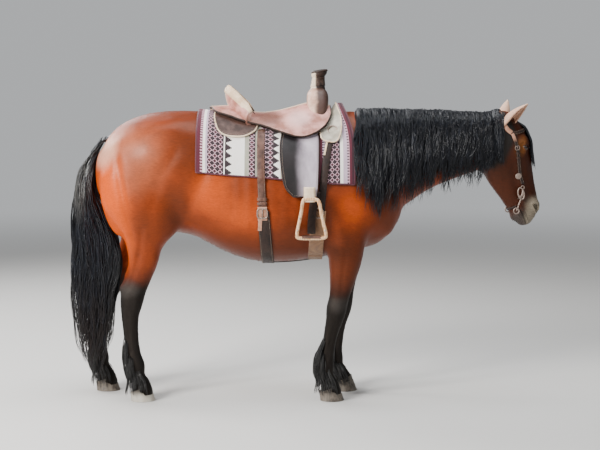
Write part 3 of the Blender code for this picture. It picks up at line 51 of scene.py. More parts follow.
# Meshes
def curveThrough(rows, count):  # rows of numbers read evenly from a smooth curve through them
    rows = np.asarray(rows, float)
    ends = np.vstack([2 * rows[0] - rows[1], rows, 2 * rows[-1] - rows[-2]])
    read = []
    for t in np.linspace(0, len(rows) - 1, count):
        i = min(int(t), len(rows) - 2)
        f = t - i
        a, b, c, d = ends[i : i + 4]
        square, cube = 2 * a - 5 * b + 4 * c - d, 3 * b - a - 3 * c + d
        read.append(0.5 * (2 * b + (c - a) * f + square * f**2 + cube * f**3))
    return np.array(read)


def along(table, x):  # a value read between the rows of a table of pairs
    rows = np.array(table)
    return float(np.interp(x, rows[:, 0], rows[:, 1]))


def runOf(path):  # the length run at each point of a path
    return np.concatenate([[0], np.cumsum(np.linalg.norm(np.diff(path, axis=0), axis=1))])


def distances(co, place):
    return np.linalg.norm(co - np.array(place), axis=1)


def stepUp(value, low, high):
    t = np.clip((value - low) / (high - low), 0, 1)
    return t * t * (3 - 2 * t)


def bell(away, half):  # 1 at a middle and near 0 at twice the half width from it
    return np.exp(-((away / half) ** 2))


def signedPower(value, exponent):
    return math.copysign(abs(value) ** exponent, value)


def circle(count):  # cosine and sine at even steps round a circle
    turns = [2 * math.pi * k / count for k in range(count)]
    return [(math.cos(t), math.sin(t)) for t in turns]


def oval(centre, side, up, halfWidth, rise, drop, count, squareUp=2.0, squareDown=2.0):
    ring = []
    for c, s in circle(count):
        square = squareUp if s > 0 else squareDown
        height = (rise if s > 0 else drop) * signedPower(s, 2 / square)
        ring.append(centre + side * halfWidth * signedPower(c, 2 / square) + up * height)
    return ring


def meshFrom(points, faces):
    mesh = bpy.data.meshes.new("form")
    mesh.from_pydata([tuple(p) for p in points], [], [tuple(f) for f in faces])
    mesh.update()
    return mesh


def facedOut(mesh):  # every face of a closed mesh turned outwards
    b = bmesh.new()
    b.from_mesh(mesh)
    bmesh.ops.recalc_face_normals(b, faces=b.faces)
    if b.calc_volume(signed=True) < 0:
        bmesh.ops.reverse_faces(b, faces=b.faces)
    b.to_mesh(mesh)
    b.free()
    return mesh


def tube(rings, closed=False):  # a skin over rings of points, with two flat ends or closed on itself
    count, last = len(rings[0]), len(rings) - 1
    points = [p for ring in rings for p in ring]
    faces = []
    for i in range(len(rings) if closed else last):
        for k in range(count):
            a, b = i * count + k, i * count + (k + 1) % count
            faces.append((a, b, (b + count) % len(points), (a + count) % len(points)))
    if not closed:
        faces += [tuple(reversed(range(count))), tuple(range(last * count, len(points)))]
    return facedOut(meshFrom(points, faces))


def loft(rings, domeStart=0.0, domeEnd=0.0):  # a closed skin over rings of points, with rounded ends
    rings = [list(ring) for ring in rings]

    def rounded(first, second, length):
        middle = sum(first, Vector()) / len(first)
        away = (middle - sum(second, Vector()) / len(second)).normalized()
        turns = [math.radians(d) for d in (30, 55, 75)]
        return [
            [middle + away * length * math.sin(t) + (p - middle) * math.cos(t) for p in first] for t in turns]

    if domeStart:
        rings = list(reversed(rounded(rings[0], rings[1], domeStart))) + rings
    if domeEnd:
        rings = rings + rounded(rings[-1], rings[-2], domeEnd)
    return tube(rings)


def egg(centre, radii, turn=None):
    b = bmesh.new()
    bmesh.ops.create_uvsphere(b, u_segments=24, v_segments=12, radius=1.0)
    turned = (turn or Matrix.Identity(3)).to_4x4()
    shape = Matrix.Translation(centre) @ turned @ Matrix.Diagonal((*radii, 1))
    bmesh.ops.transform(b, matrix=shape, verts=b.verts)
    mesh = bpy.data.meshes.new("egg")
    b.to_mesh(mesh)
    b.free()
    return mesh


def spindle(start, end, radiusSide, radiusFlat, flatTowards):  # a muscle, flattened along one direction
    start, end = Vector(start), Vector(end)
    axis = (end - start).normalized()
    flat = Vector(flatTowards)
    flat = (flat - axis * flat.dot(axis)).normalized()
    turn = Matrix((axis, flat.cross(axis), flat)).transposed()
    return egg((start + end) / 2, ((end - start).length / 2, radiusSide, radiusFlat), turn)


def merged(meshes):  # one mesh of all that it is given
    b = bmesh.new()
    for mesh in meshes:
        b.from_mesh(mesh)
        bpy.data.meshes.remove(mesh)
    mesh = bpy.data.meshes.new("merged")
    b.to_mesh(mesh)
    b.free()
    return mesh


def sweep(path, outs, section, closed=False, sizes=None):  # a section of (across, out) points along a path
    rings, last = [], len(path) - 1
    for i, p in enumerate(path):
        ahead = path[(i + 1) % len(path)] if closed else path[min(i + 1, last)]
        behind = path[i - 1] if closed else path[max(i - 1, 0)]
        axis = (ahead - behind).normalized()
        side = axis.cross(outs[i]).normalized()
        out = side.cross(axis)
        size = sizes[i] if sizes else 1.0
        rings.append([p + side * a * size + out * b * size for a, b in section])
    return tube(rings, closed)


def roundSection(radius, count=10, flatten=1.0):
    return [(radius * c, radius * flatten * s) for c, s in circle(count)]


def strapSection(halfWidth, low, high):  # a flat strap's section, with its edges rounded
    edge = min((high - low) * 0.45, halfWidth * 0.4)
    h = halfWidth
    return [
        (-h + edge, high), (h - edge, high), (h - 0.3 * edge, high - 0.3 * edge), (h, high - edge),
        (h, low + edge), (h - 0.3 * edge, low + 0.3 * edge), (h - edge, low), (-h + edge, low),
        (-h + 0.3 * edge, low + 0.3 * edge), (-h, low + edge), (-h, high - edge),
        (-h + 0.3 * edge, high - 0.3 * edge),
    ]


def slab(outer, inner):  # a closed sheet between two grids of points of the same size
    rows, columns = len(outer), len(outer[0])
    count = rows * columns
    points = [p for grid in (outer, inner) for row in grid for p in row]
    faces = []
    for i in range(rows - 1):
        for k in range(columns - 1):
            a = i * columns + k
            for base in (0, count):
                faces.append((base + a, base + a + 1, base + a + 1 + columns, base + a + columns))
    border = borderOf(rows, columns)
    for k, a in enumerate(border):
        b = border[(k + 1) % len(border)]
        faces.append((a, b, b + count, a + count))
    return facedOut(meshFrom(points, faces))


def borderOf(rows, columns):  # the numbers of a grid's points round its edge
    border = list(range(columns))
    border += [i * columns + columns - 1 for i in range(1, rows)]
    border += [(rows - 1) * columns + k for k in range(columns - 2, -1, -1)]
    border += [i * columns for i in range(rows - 2, 0, -1)]
    return border


def valuesOf(items, name, width=1, kind=float):  # one value of every vertex, edge or face, as numbers
    values = np.empty(len(items) * width, kind)
    items.foreach_get(name, values)
    return values.reshape(-1, width) if width > 1 else values


def coordinates(mesh):
    return valuesOf(mesh.vertices, "co", 3)


def setCoordinates(mesh, co):
    mesh.vertices.foreach_set("co", co.ravel())
    mesh.update()


def treeOf(mesh):
    mesh.calc_loop_triangles()
    return BVHTree.FromPolygons([v.co for v in mesh.vertices], [t.vertices for t in mesh.loop_triangles])


def addPiece(name, mesh, material, nodes, crease=None):
    item = bpy.data.objects.new(name, mesh)
    bpy.context.scene.collection.objects.link(item)
    mesh.materials.clear()
    mesh.materials.append(material)
    mesh.shade_smooth()
    if crease:
        mesh.set_sharp_from_angle(angle=math.radians(crease))
    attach(item, "root")
    if nodes:
        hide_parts(*([nodes] if isinstance(nodes, str) else nodes))
    return item


def addPair(word, name, mesh, material, node, crease=None):  # a piece that both sides of the horse have
    addPiece(name + "_" + word, mesh, material, node + "_" + word if node else (), crease)


# Nodes
def addNode(tree, kind, settings=None, **inputs):
    node = tree.nodes.new("ShaderNode" + kind)
    for name, value in (settings or {}).items():
        setattr(node, name, value)
    for name, value in inputs.items():
        socket = node.inputs[name.replace("_", " ")]
        if isinstance(value, bpy.types.NodeSocket):
            tree.links.new(value, socket)
        else:
            socket.default_value = value
    return node


def feed(tree, socket, value):
    if isinstance(value, bpy.types.NodeSocket):
        tree.links.new(value, socket)
    else:
        socket.default_value = value


def sums(tree, operation, *values, clamp=False):  # one Math node
    node = addNode(tree, "Math", {"operation": operation, "use_clamp": clamp})
    for socket, value in zip(node.inputs, values):
        feed(tree, socket, value)
    return node.outputs[0]


def times(tree, *values, clamp=False):
    return sums(tree, "MULTIPLY", *values, clamp=clamp)


def ranged(tree, value, low, high, start=0.0, end=1.0):  # a smooth step from low to high
    node = addNode(tree, "MapRange", {"interpolation_type": "SMOOTHSTEP"})
    labels = ("Value", "From Min", "From Max", "To Min", "To Max")
    for label, given in zip(labels, (value, low, high, start, end)):
        feed(tree, node.inputs[label], given)
    return node.outputs[0]


def blended(tree, factor, first, second, mode="MIX"):  # a colour between two others
    node = addNode(tree, "Mix", {"data_type": "RGBA", "blend_type": mode})
    for index, value in ((0, factor), (6, first), (7, second)):
        if isinstance(value, tuple):
            value = (*value, 1.0) if len(value) == 3 else value
        feed(tree, node.inputs[index], value)
    return node.outputs[2]


def noise(tree, vector, scale, detail=3.0, roughness=0.55):
    node = addNode(tree, "TexNoise", Vector=vector, Scale=scale, Detail=detail, Roughness=roughness)
    return node.outputs[0]


def stretched(tree, vector, scale):
    return addNode(tree, "Mapping", Vector=vector, Scale=scale).outputs[0]


def parted(tree, vector):
    node = addNode(tree, "SeparateXYZ", Vector=vector)
    return node.outputs[0], node.outputs[1], node.outputs[2]


def ramp(tree, value, stops, mode="LINEAR"):
    node = addNode(tree, "ValToRGB", Fac=value)
    node.color_ramp.interpolation = mode
    elements = node.color_ramp.elements
    while len(elements) < len(stops):
        elements.new(0.5)
    for element, (place, colour) in zip(elements, sorted(stops, key=lambda s: s[0])):
        element.position = place
        element.color = (*colour, 1) if isinstance(colour, tuple) else (colour, colour, colour, 1)
    return node.outputs[0]


def newGroup(name, inputs, outputs):
    tree = bpy.data.node_groups.new(name, "ShaderNodeTree")
    kinds = {"value": "NodeSocketFloat", "colour": "NodeSocketColor", "vector": "NodeSocketVector"}
    for label, kind, value in inputs:
        socket = tree.interface.new_socket(name=label, in_out="INPUT", socket_type=kinds[kind])
        socket.default_value = value
    for label, kind in outputs:
        tree.interface.new_socket(name=label, in_out="OUTPUT", socket_type=kinds[kind])
    return tree, tree.nodes.new("NodeGroupInput").outputs, tree.nodes.new("NodeGroupOutput").inputs


def useGroup(tree, group, **inputs):
    node = tree.nodes.new("ShaderNodeGroup")
    node.node_tree = group
    for name, value in inputs.items():
        feed(tree, node.inputs[name], value)
    return node.outputs


def newMaterial(name, **values):  # a material, its tree and its shader
    material = bpy.data.materials.new(name)
    material.use_nodes = True
    tree = material.node_tree
    shader = tree.nodes["Principled BSDF"]
    for label, value in values.items():
        socket = shader.inputs[label.replace("_", " ")]
        socket.default_value = (*value, 1) if isinstance(value, tuple) and len(value) == 3 else value
    return material, tree, shader.inputs


def bump(tree, inputs, height, strength, distance):
    node = addNode(tree, "Bump", Height=height, Strength=strength, Distance=distance)
    tree.links.new(node.outputs[0], inputs["Normal"])


def paint(tree, inputs, colour):
    tree.links.new(colour, inputs["Base Color"])


def objectPlace(tree):
    return addNode(tree, "TexCoord").outputs["Object"]


# Effects that more than one finish uses
def hairStreakGroup():  # fine hairs that lie along a direction, as a value about 0.5
    tree, given, made = newGroup(
        "hairStreaks", (("Scale", "value", 1.0), ("Turn", "vector", (0, 0, 0))), (("Streak", "value"),))
    place = objectPlace(tree)
    turned = addNode(tree, "Mapping", Vector=place)
    feed(tree, turned.inputs["Rotation"], given["Turn"])
    scaled = addNode(tree, "VectorMath", {"operation": "SCALE"})
    feed(tree, scaled.inputs[0], turned.outputs[0])
    feed(tree, scaled.inputs["Scale"], given["Scale"])
    fine = noise(tree, stretched(tree, scaled.outputs[0], (60, 430, 430)), 1.0, 2.0)
    broad = noise(tree, stretched(tree, scaled.outputs[0], (20, 90, 90)), 1.0, 3.0)
    mix = sums(tree, "MULTIPLY_ADD", broad, 0.25, times(tree, fine, 0.75))
    tree.links.new(mix, made["Streak"])
    return tree


def leatherGroup():  # pores and creases, and how the colour varies over the hide
    tree, given, made = newGroup(
        "leatherGrain", (("Scale", "value", 1.0),), (("Height", "value"), ("Patches", "value")))
    place = objectPlace(tree)
    cells = addNode(tree, "TexVoronoi", {"feature": "DISTANCE_TO_EDGE"}, Vector=place)
    feed(tree, cells.inputs["Scale"], times(tree, given["Scale"], 420.0))
    creases = noise(tree, stretched(tree, place, (30, 30, 60)), 1.0, 5.0)
    height = sums(tree, "MULTIPLY_ADD", creases, 0.8, ranged(tree, cells.outputs[0], 0.0, 0.25, 0.0, 0.5))
    tree.links.new(height, made["Height"])
    tree.links.new(noise(tree, place, 14.0, 5.0, 0.6), made["Patches"])
    return tree


def edgeWearGroup():  # lighter where a form turns a corner
    tree, given, made = newGroup(
        "edgeWear", (("Low", "value", 0.52), ("High", "value", 0.62)), (("Wear", "value"),))
    point = addNode(tree, "NewGeometry").outputs["Pointiness"]
    node = addNode(tree, "MapRange")
    for label, value in (("Value", point), ("From Min", given["Low"]), ("From Max", given["High"])):
        feed(tree, node.inputs[label], value)
    rough = ranged(tree, noise(tree, objectPlace(tree), 60.0, 4.0), 0.35, 0.6)
    tree.links.new(times(tree, node.outputs[0], rough, clamp=True), made["Wear"])
    return tree


def dustGroup():  # dust from the ground, up to a height, in patches
    tree, given, made = newGroup("dust", (("Height", "value", 0.12),), (("Dust", "value"),))
    place = objectPlace(tree)
    z = parted(tree, place)[2]
    fall = sums(tree, "SUBTRACT", 1.0, sums(tree, "DIVIDE", z, given["Height"]), clamp=True)
    patches = ranged(tree, noise(tree, place, 34.0, 6.0, 0.65), 0.36, 0.66)
    tree.links.new(times(tree, fall, patches, clamp=True), made["Dust"])
    return tree


def yarnGroup():  # ribs of a weave, by a cloth's own two directions
    tree, given, made = newGroup(
        "yarn", (("Place", "vector", (0, 0, 0)), ("Scale", "value", 1.0)),
        (("Height", "value"), ("Shade", "value")))
    scaled = addNode(tree, "VectorMath", {"operation": "SCALE"})
    feed(tree, scaled.inputs[0], given["Place"])
    feed(tree, scaled.inputs["Scale"], given["Scale"])
    u, v, _ = parted(tree, scaled.outputs[0])
    rib = sums(tree, "ABSOLUTE", sums(tree, "SINE", times(tree, u, 1100.0)))
    shift = times(tree, sums(tree, "FLOOR", times(tree, u, 350.0)), 1.57)
    tuft = sums(tree, "ABSOLUTE", sums(tree, "SINE", sums(tree, "MULTIPLY_ADD", v, 620.0, shift)))
    height = sums(tree, "MULTIPLY_ADD", tuft, 0.5, times(tree, rib, 0.5))
    fuzz = noise(tree, stretched(tree, scaled.outputs[0], (500, 260, 1)), 1.0, 3.0)
    tree.links.new(sums(tree, "MULTIPLY_ADD", fuzz, 0.5, height), made["Height"])
    tree.links.new(noise(tree, stretched(tree, scaled.outputs[0], (60, 14, 1)), 1.0, 4.0), made["Shade"])
    return tree


hairStreaks = hairStreakGroup()
leatherGrain = leatherGroup()
edgeWear = edgeWearGroup()
dust = dustGroup()
yarn = yarnGroup()

# The bay coat's colours, with pale and salmon for painted highlights, and brown and dark used for painted
# shade too
bay = {
    "red": (0.190, 0.026, 0.0028),
    "orange": (0.560, 0.072, 0.0015),
    "brown": (0.080, 0.0130, 0.0020),
    "golden": (0.190, 0.066, 0.012),
    "dark": (0.024, 0.0052, 0.0018),
    "black": (0.0036, 0.0038, 0.0043),
    "greyBlack": (0.040, 0.036, 0.034),
    "muzzle": (0.170, 0.145, 0.108),
    "pale": (0.78, 0.46, 0.33), "salmon": (0.46, 0.135, 0.065),
}


def spot(tree, place, centre, radii):  # 1 at a place and 0 past its radii, with a soft edge
    moved = addNode(tree, "VectorMath", {"operation": "SUBTRACT"})
    feed(tree, moved.inputs[0], place)
    moved.inputs[1].default_value = centre
    scaled = stretched(tree, moved.outputs[0], tuple(1 / r for r in radii))
    length = addNode(tree, "VectorMath", {"operation": "LENGTH"})
    feed(tree, length.inputs[0], scaled)
    return ranged(tree, length.outputs["Value"], 1.0, 0.35)


def coatAndPaintedLightGroup():  # the bay coat with its black legs and grey muzzle, by place on the horse, with painted highlights and painted shade, the dark face among them
    tree, _, made = newGroup("bayCoatWithPaintedLight", (), (("Colour", "colour"), ("Black", "value"), ("Lie", "value")))
    place = objectPlace(tree)
    wobble = noise(tree, place, 9.0, 4.0, 0.6)
    soft = addNode(tree, "TexNoise", Vector=place, Scale=7.0, Detail=4.0)
    moved = addNode(tree, "VectorMath", {"operation": "MULTIPLY_ADD"})
    feed(tree, moved.inputs[0], soft.outputs["Color"])
    moved.inputs[1].default_value = (0.07, 0.07, 0.07)
    shifted = addNode(tree, "VectorMath", {"operation": "SUBTRACT"})
    feed(tree, shifted.inputs[0], place)
    shifted.inputs[1].default_value = (0.035, 0.035, 0.035)
    feed(tree, moved.inputs[2], shifted.outputs[0])
    near = moved.outputs[0]
    x, y, z = parted(tree, near)
    # the left side is plainer, as no light of the photo's falls on it
    side = ranged(tree, y, 0.12, -0.06, 0.30, 1.0)

    def toned(colour, mask, amount, tone):
        return blended(tree, times(tree, mask, amount), colour, bay[tone])

    colour = blended(tree, ranged(tree, wobble, 0.30, 0.70), bay["red"], bay["brown"])
    colour = blended(tree, 0.55, colour, bay["red"])
    # orange on the buttock and the thigh on both sides; and, stronger on the right side, painted highlights,
    # orange on the flank, the barrel and the upper arm, a salmon sheen and a paler highlight over the croup,
    # palest at its rear edge, and painted shade, brown below the point of the hip, on the lower flank, before
    # the stifle, along the belly, on the shoulder and its front, and at the elbow
    for centre, radii, amount, tone in (
        ((-1.02, 0.0, 1.10), (0.17, 0.60, 0.30), 0.97, "orange"),
        ((-0.98, 0.0, 0.86), (0.12, 0.60, 0.24), 0.75, "orange"),
        ((-0.50, 0.0, 1.12), (0.18, 0.60, 0.18), 0.70, "orange"),
        ((-0.32, 0.0, 1.00), (0.26, 0.60, 0.18), 0.55, "orange"),
        ((0.22, 0.0, 1.02), (0.12, 0.60, 0.16), 0.50, "orange"),
        ((-0.85, 0.0, 1.28), (0.24, 0.60, 0.26), 0.34, "salmon"),
        ((-0.97, 0.0, 1.38), (0.15, 0.60, 0.13), 0.32, "salmon"),
        ((-1.07, -0.12, 1.335), (0.110, 0.40, 0.150), 0.44, "pale"),
        ((-0.62, 0.0, 1.34), (0.16, 0.60, 0.24), 0.85, "brown"),
        ((-0.70, 0.0, 1.02), (0.12, 0.60, 0.18), 0.85, "brown"),
        ((-0.84, 0.0, 0.95), (0.07, 0.60, 0.17), 0.45, "brown"),
        ((0.34, 0.0, 1.18), (0.17, 0.60, 0.22), 0.95, "brown"),
        ((0.42, 0.0, 1.02), (0.12, 0.60, 0.16), 0.70, "brown"),
        ((-0.06, 0.0, 0.90), (0.22, 0.60, 0.16), 0.75, "brown"),
        ((0.22, 0.0, 0.86), (0.08, 0.60, 0.10), 0.50, "brown"),
    ):
        bothSides = tone == "orange" and centre[0] < -0.9
        shown = amount if bothSides else times(tree, side, amount)
        colour = toned(colour, spot(tree, near, centre, radii), shown, tone)
    # painted shade: the belly darker brown low down, as shaded from above
    belly = times(tree, ranged(tree, z, 1.02, 0.78), ranged(tree, x, -0.72, -0.45))
    colour = toned(colour, belly, 0.75, "brown")
    colour = toned(colour, ranged(tree, z, 1.46, 1.56), 0.35, "brown")
    forearm = times(tree, ranged(tree, z, 0.95, 0.66), ranged(tree, x, -0.1, 0.05))
    colour = toned(colour, forearm, 0.8, "brown")
    # the face, from the poll to the muzzle, darkened as painted shade, and painted shade under the mane, that
    # lies on the right side: black on the neck and dark on the shoulder below it
    face = spot(tree, near, (1.14, 0.02, 1.22), (0.26, 0.30, 0.42))
    colour = toned(colour, ranged(tree, face, 0.05, 0.55), 0.93, "dark")
    gold = [
        spot(tree, near, centre, (0.048, 0.075, 0.065))
        for centre in ((1.145, -0.07, 1.350), (1.115, 0.10, 1.355))
    ]
    colour = toned(colour, sums(tree, "ADD", *gold, clamp=True), 0.45, "golden")
    for centre, radii in (
        ((0.98, -0.13, 1.42), (0.17, 0.24, 0.24)),
        ((0.66, -0.24, 1.38), (0.42, 0.40, 0.24)),
    ):
        under = spot(tree, near, centre, radii)
        colour = blended(tree, ranged(tree, under, 0.05, 0.5), colour, bay["black"])
    under = spot(tree, near, (0.40, -0.22, 1.25), (0.14, 0.22, 0.26))
    colour = toned(colour, ranged(tree, under, 0.0, 0.6), 0.9, "dark")
    colour = toned(colour, spot(tree, near, (1.045, 0.0, 1.13), (0.10, 0.2, 0.12)), 0.15, "brown")
    colour = toned(colour, spot(tree, near, (1.150, 0.0, 0.955), (0.085, 0.14, 0.075)), 0.8, "greyBlack")
    nose = spot(tree, near, (1.225, 0.03, 1.000), (0.090, 0.12, 0.125))
    colour = toned(colour, ranged(tree, nose, 0.0, 0.6), 0.9, "muzzle")
    # black legs: the edge climbs in front and at the back
    knee = ranged(tree, z, 0.70, 0.52)
    hock = ranged(tree, z, 0.735, 0.585)
    rear = ranged(tree, x, -0.2, -0.4)
    black = addNode(tree, "Mix", {"data_type": "FLOAT"})
    for index, value in ((0, rear), (2, knee), (3, hock)):
        feed(tree, black.inputs[index], value)
    points = black.outputs[0]
    colour = blended(tree, points, colour, bay["black"])
    greyHock = times(tree, spot(tree, near, (-0.95, 0.0, 0.60), (0.10, 0.5, 0.07)), 0.55)
    greyKnee = times(tree, spot(tree, near, (0.17, 0.0, 0.52), (0.08, 0.5, 0.07)), 0.5)
    colour = blended(tree, sums(tree, "ADD", greyHock, greyKnee), colour, bay["greyBlack"])
    streak = useGroup(tree, hairStreaks, Scale=0.7)["Streak"]
    shades = blended(tree, ranged(tree, streak, 0.3, 0.7), (0.34, 0.34, 0.34), (0.72, 0.72, 0.72))
    colour = blended(tree, 0.45, colour, shades, "OVERLAY")
    tree.links.new(colour, made["Colour"])
    tree.links.new(points, made["Black"])
    tree.links.new(ranged(tree, z, 0.95, 0.75), made["Lie"])
    return tree


bayCoatWithPaintedLight = coatAndPaintedLightGroup()


def coatMaterial(name, strength):
    material, tree, inputs = newMaterial(
        name, Specular_IOR_Level=0.24, Specular_Tint=(1.0, 0.78, 0.62), Coat_Roughness=0.28)
    marks = useGroup(tree, bayCoatWithPaintedLight)
    paint(tree, inputs, marks["Colour"])
    body = useGroup(tree, hairStreaks, Scale=1.0, Turn=(0, 0.5, 0))
    legs = useGroup(tree, hairStreaks, Scale=1.0, Turn=(0, 1.45, 0))
    height = addNode(tree, "Mix", {"data_type": "FLOAT"})
    for index, value in ((0, marks["Lie"]), (2, body["Streak"]), (3, legs["Streak"])):
        feed(tree, height.inputs[index], value)
    veins = noise(tree, objectPlace(tree), 16.0, 2.0, 0.4)
    total = sums(tree, "MULTIPLY_ADD", veins, 0.6, height.outputs[0])
    bump(tree, inputs, total, strength, 0.0025)
    rough = ranged(tree, height.outputs[0], 0.3, 0.7, 0.38, 0.54)
    tree.links.new(sums(tree, "MULTIPLY_ADD", marks["Black"], 0.16, rough), inputs["Roughness"])
    tree.links.new(ranged(tree, marks["Black"], 0.0, 1.0, 0.07, 0.0), inputs["Coat Weight"])
    return material


coat = coatMaterial("coat", 0.20)
coatTuft = coatMaterial("coatTuft", 0.1)


def hairMaterial(name, root, tip, grey, roughness):  # black hair, browner towards the ground
    material, tree, inputs = newMaterial(name, Roughness=roughness, Specular_IOR_Level=0.5)
    place = objectPlace(tree)
    z = parted(tree, place)[2]
    strands = noise(tree, stretched(tree, place, (90, 90, 9)), 1.0, 3.0)
    colour = blended(tree, ranged(tree, z, 0.75, 0.25), root, tip)
    colour = blended(tree, times(tree, ranged(tree, strands, 0.45, 0.75), 0.8), colour, grey)
    # a painted sheen, grey, along the tail's top
    sheen = spot(tree, place, (-1.215, 0.0, 1.22), (0.085, 0.30, 0.34))
    sheen = times(tree, sheen, ranged(tree, strands, 0.30, 0.62))
    colour = blended(tree, times(tree, sheen, 0.9), colour, (0.095, 0.092, 0.086))
    paint(tree, inputs, colour)
    dusty = useGroup(tree, dust, Height=0.10)["Dust"]
    tree.links.new(ranged(tree, dusty, 0.0, 1.0, roughness, 0.8), inputs["Roughness"])
    return material


hair = hairMaterial("hair", (0.0034, 0.0040, 0.0066), (0.0120, 0.0068, 0.0056), (0.014, 0.017, 0.026), 0.32)
featherHair = hairMaterial(
    "featherHair", (0.0056, 0.0056, 0.0062), (0.0080, 0.0074, 0.0070), (0.020, 0.019, 0.018), 0.45)


def earMaterial():
    material, tree, inputs = newMaterial("earCoat", Roughness=0.6, Sheen_Weight=0.2, Sheen_Roughness=0.5)
    place = objectPlace(tree)
    streak = useGroup(tree, hairStreaks, Scale=1.6)["Streak"]
    z = parted(tree, place)[2]
    # painted highlight: the ear's pale tan, paler towards its top, as lit from above
    colour = blended(tree, ranged(tree, z, 1.52, 1.66), (0.50, 0.26, 0.16), (0.66, 0.44, 0.30))
    colour = blended(tree, ranged(tree, streak, 0.35, 0.7, 0.0, 0.35), colour, (0.80, 0.62, 0.47))
    paint(tree, inputs, colour)
    bump(tree, inputs, streak, 0.3, 0.001)
    return material


def hornMaterial():
    material, tree, inputs = newMaterial("hoofHorn", Roughness=0.55)
    place = objectPlace(tree)
    x, y, z = parted(tree, place)
    rings = addNode(
        tree, "TexWave", {"bands_direction": "Z"}, Vector=place, Scale=70.0, Distortion=3.0, Detail=2.0)
    grain = noise(tree, stretched(tree, place, (160, 160, 12)), 1.0, 3.0)
    colour = blended(tree, ranged(tree, grain, 0.3, 0.7), (0.030, 0.024, 0.019), (0.115, 0.090, 0.068))
    pale = times(tree, ranged(tree, x, -0.3, -0.5), ranged(tree, y, 0.0, -0.05))  # the right hind hoof
    colour = blended(tree, times(tree, pale, ranged(tree, z, 0.065, 0.02)), colour, (0.46, 0.435, 0.375))
    dusty = useGroup(tree, dust, Height=0.10)["Dust"]
    dusted = times(tree, dusty, ranged(tree, pale, 0.0, 1.0, 0.35, 0.8))
    colour = blended(tree, dusted, colour, (0.42, 0.37, 0.31))
    paint(tree, inputs, colour)
    tree.links.new(ranged(tree, dusty, 0.0, 0.8, 0.45, 0.9), inputs["Roughness"])
    bump(tree, inputs, sums(tree, "MULTIPLY_ADD", rings.outputs[1], 0.6, grain), 0.5, 0.002)
    return material


def eyeMaterial(name, centre, axis):  # a dark brown iris with a long pupil under a wet surface
    material, tree, inputs = newMaterial(
        name, Roughness=0.16, Specular_IOR_Level=0.35, Coat_Weight=0.25, Coat_Roughness=0.08)
    place = objectPlace(tree)
    iris = spot(tree, place, tuple(centre + axis * 0.020), (0.017, 0.017, 0.017))
    pupil = spot(tree, place, tuple(centre + axis * 0.021), (0.0105, 0.0105, 0.0060))
    colour = blended(tree, ranged(tree, iris, 0.0, 0.25), (0.016, 0.010, 0.008), (0.034, 0.012, 0.005))
    fibres = noise(tree, stretched(tree, place, (900, 900, 900)), 1.0, 2.0)
    colour = blended(tree, ranged(tree, fibres, 0.4, 0.7, 0.0, 0.4), colour, (0.060, 0.026, 0.011))
    colour = blended(tree, ranged(tree, pupil, 0.05, 0.3), colour, (0.002, 0.002, 0.003))
    paint(tree, inputs, colour)
    return material


earCoat = earMaterial()
hoofHorn = hornMaterial()


def leatherMaterial(name, light, dark, worn, roughness):
    material, tree, inputs = newMaterial(name, Roughness=roughness, Specular_IOR_Level=0.34)
    grain = useGroup(tree, leatherGrain, Scale=1.0)
    worked = useGroup(tree, edgeWear)["Wear"]
    colour = blended(tree, ranged(tree, grain["Patches"], 0.34, 0.66), dark, light)
    colour = blended(tree, times(tree, worked, 0.6), colour, worn)
    paint(tree, inputs, colour)
    rough = ranged(tree, grain["Patches"], 0.3, 0.7, roughness + 0.10, roughness - 0.06)
    tree.links.new(rough, inputs["Roughness"])
    bump(tree, inputs, grain["Height"], 0.35, 0.0012)
    return material, tree, inputs, colour


# Plain leathers: name, light, dark and worn colour, roughness
darkLeather, strapLeather, creamLeather, bridleTan = [
    leatherMaterial(*row)[0]
    for row in (
        ("darkLeather", (0.018, 0.0070, 0.0042), (0.006, 0.0026, 0.0018), (0.09, 0.042, 0.026), 0.50),
        ("strapLeather", (0.105, 0.043, 0.028), (0.036, 0.0145, 0.0095), (0.28, 0.15, 0.10), 0.48),
        ("creamLeather", (0.76, 0.58, 0.40), (0.52, 0.34, 0.20), (0.90, 0.80, 0.66), 0.45),
        ("bridleTan", (0.48, 0.235, 0.150), (0.28, 0.120, 0.070), (0.68, 0.46, 0.34), 0.42),
    )
]


def seatMaterial():  # pink tan, with a painted highlight along its crest and further forward, painted shadow in its hollow, where the rider sits, and a darker streak low down further back
    material, tree, inputs, colour = leatherMaterial(
        "seatLeather", (0.60, 0.290, 0.245), (0.31, 0.115, 0.082), (0.78, 0.56, 0.46), 0.36)
    place = objectPlace(tree)
    y = sums(tree, "ABSOLUTE", parted(tree, place)[1])
    # painted shadow in the seat's hollow, a darker streak low down further back, and a painted highlight
    # further forward
    for centre, radii, amount, tone in (
        ((-0.190, 0.0, 1.500), (0.095, 0.60, 0.060), 0.85, (0.125, 0.047, 0.030)),
        ((-0.320, 0.0, 1.478), (0.160, 0.60, 0.034), 0.75, (0.150, 0.060, 0.038)),
        ((-0.040, 0.0, 1.500), (0.085, 0.60, 0.060), 0.55, (0.80, 0.52, 0.50)),
    ):
        colour = blended(tree, times(tree, spot(tree, place, centre, radii), amount), colour, tone)
    # painted highlight along the crest
    crest = times(tree, ranged(tree, y, 0.060, 0.015), 0.75)
    paint(tree, inputs, blended(tree, crest, colour, (0.84, 0.72, 0.50)))
    return material


def skirtMaterial():  # grey brown behind, and a pale worn panel in front
    material, tree, inputs, colour = leatherMaterial(
        "skirtLeather", (0.085, 0.042, 0.032), (0.032, 0.015, 0.011), (0.30, 0.19, 0.14), 0.50)
    x = parted(tree, objectPlace(tree))[0]
    patches = noise(tree, objectPlace(tree), 18.0, 4.0)
    pale = blended(tree, ranged(tree, patches, 0.35, 0.65), (0.30, 0.265, 0.205), (0.50, 0.455, 0.375))
    paint(tree, inputs, blended(tree, ranged(tree, x, 0.045, 0.075), colour, pale))
    return material


seatLeather = seatMaterial()
skirtLeather = skirtMaterial()


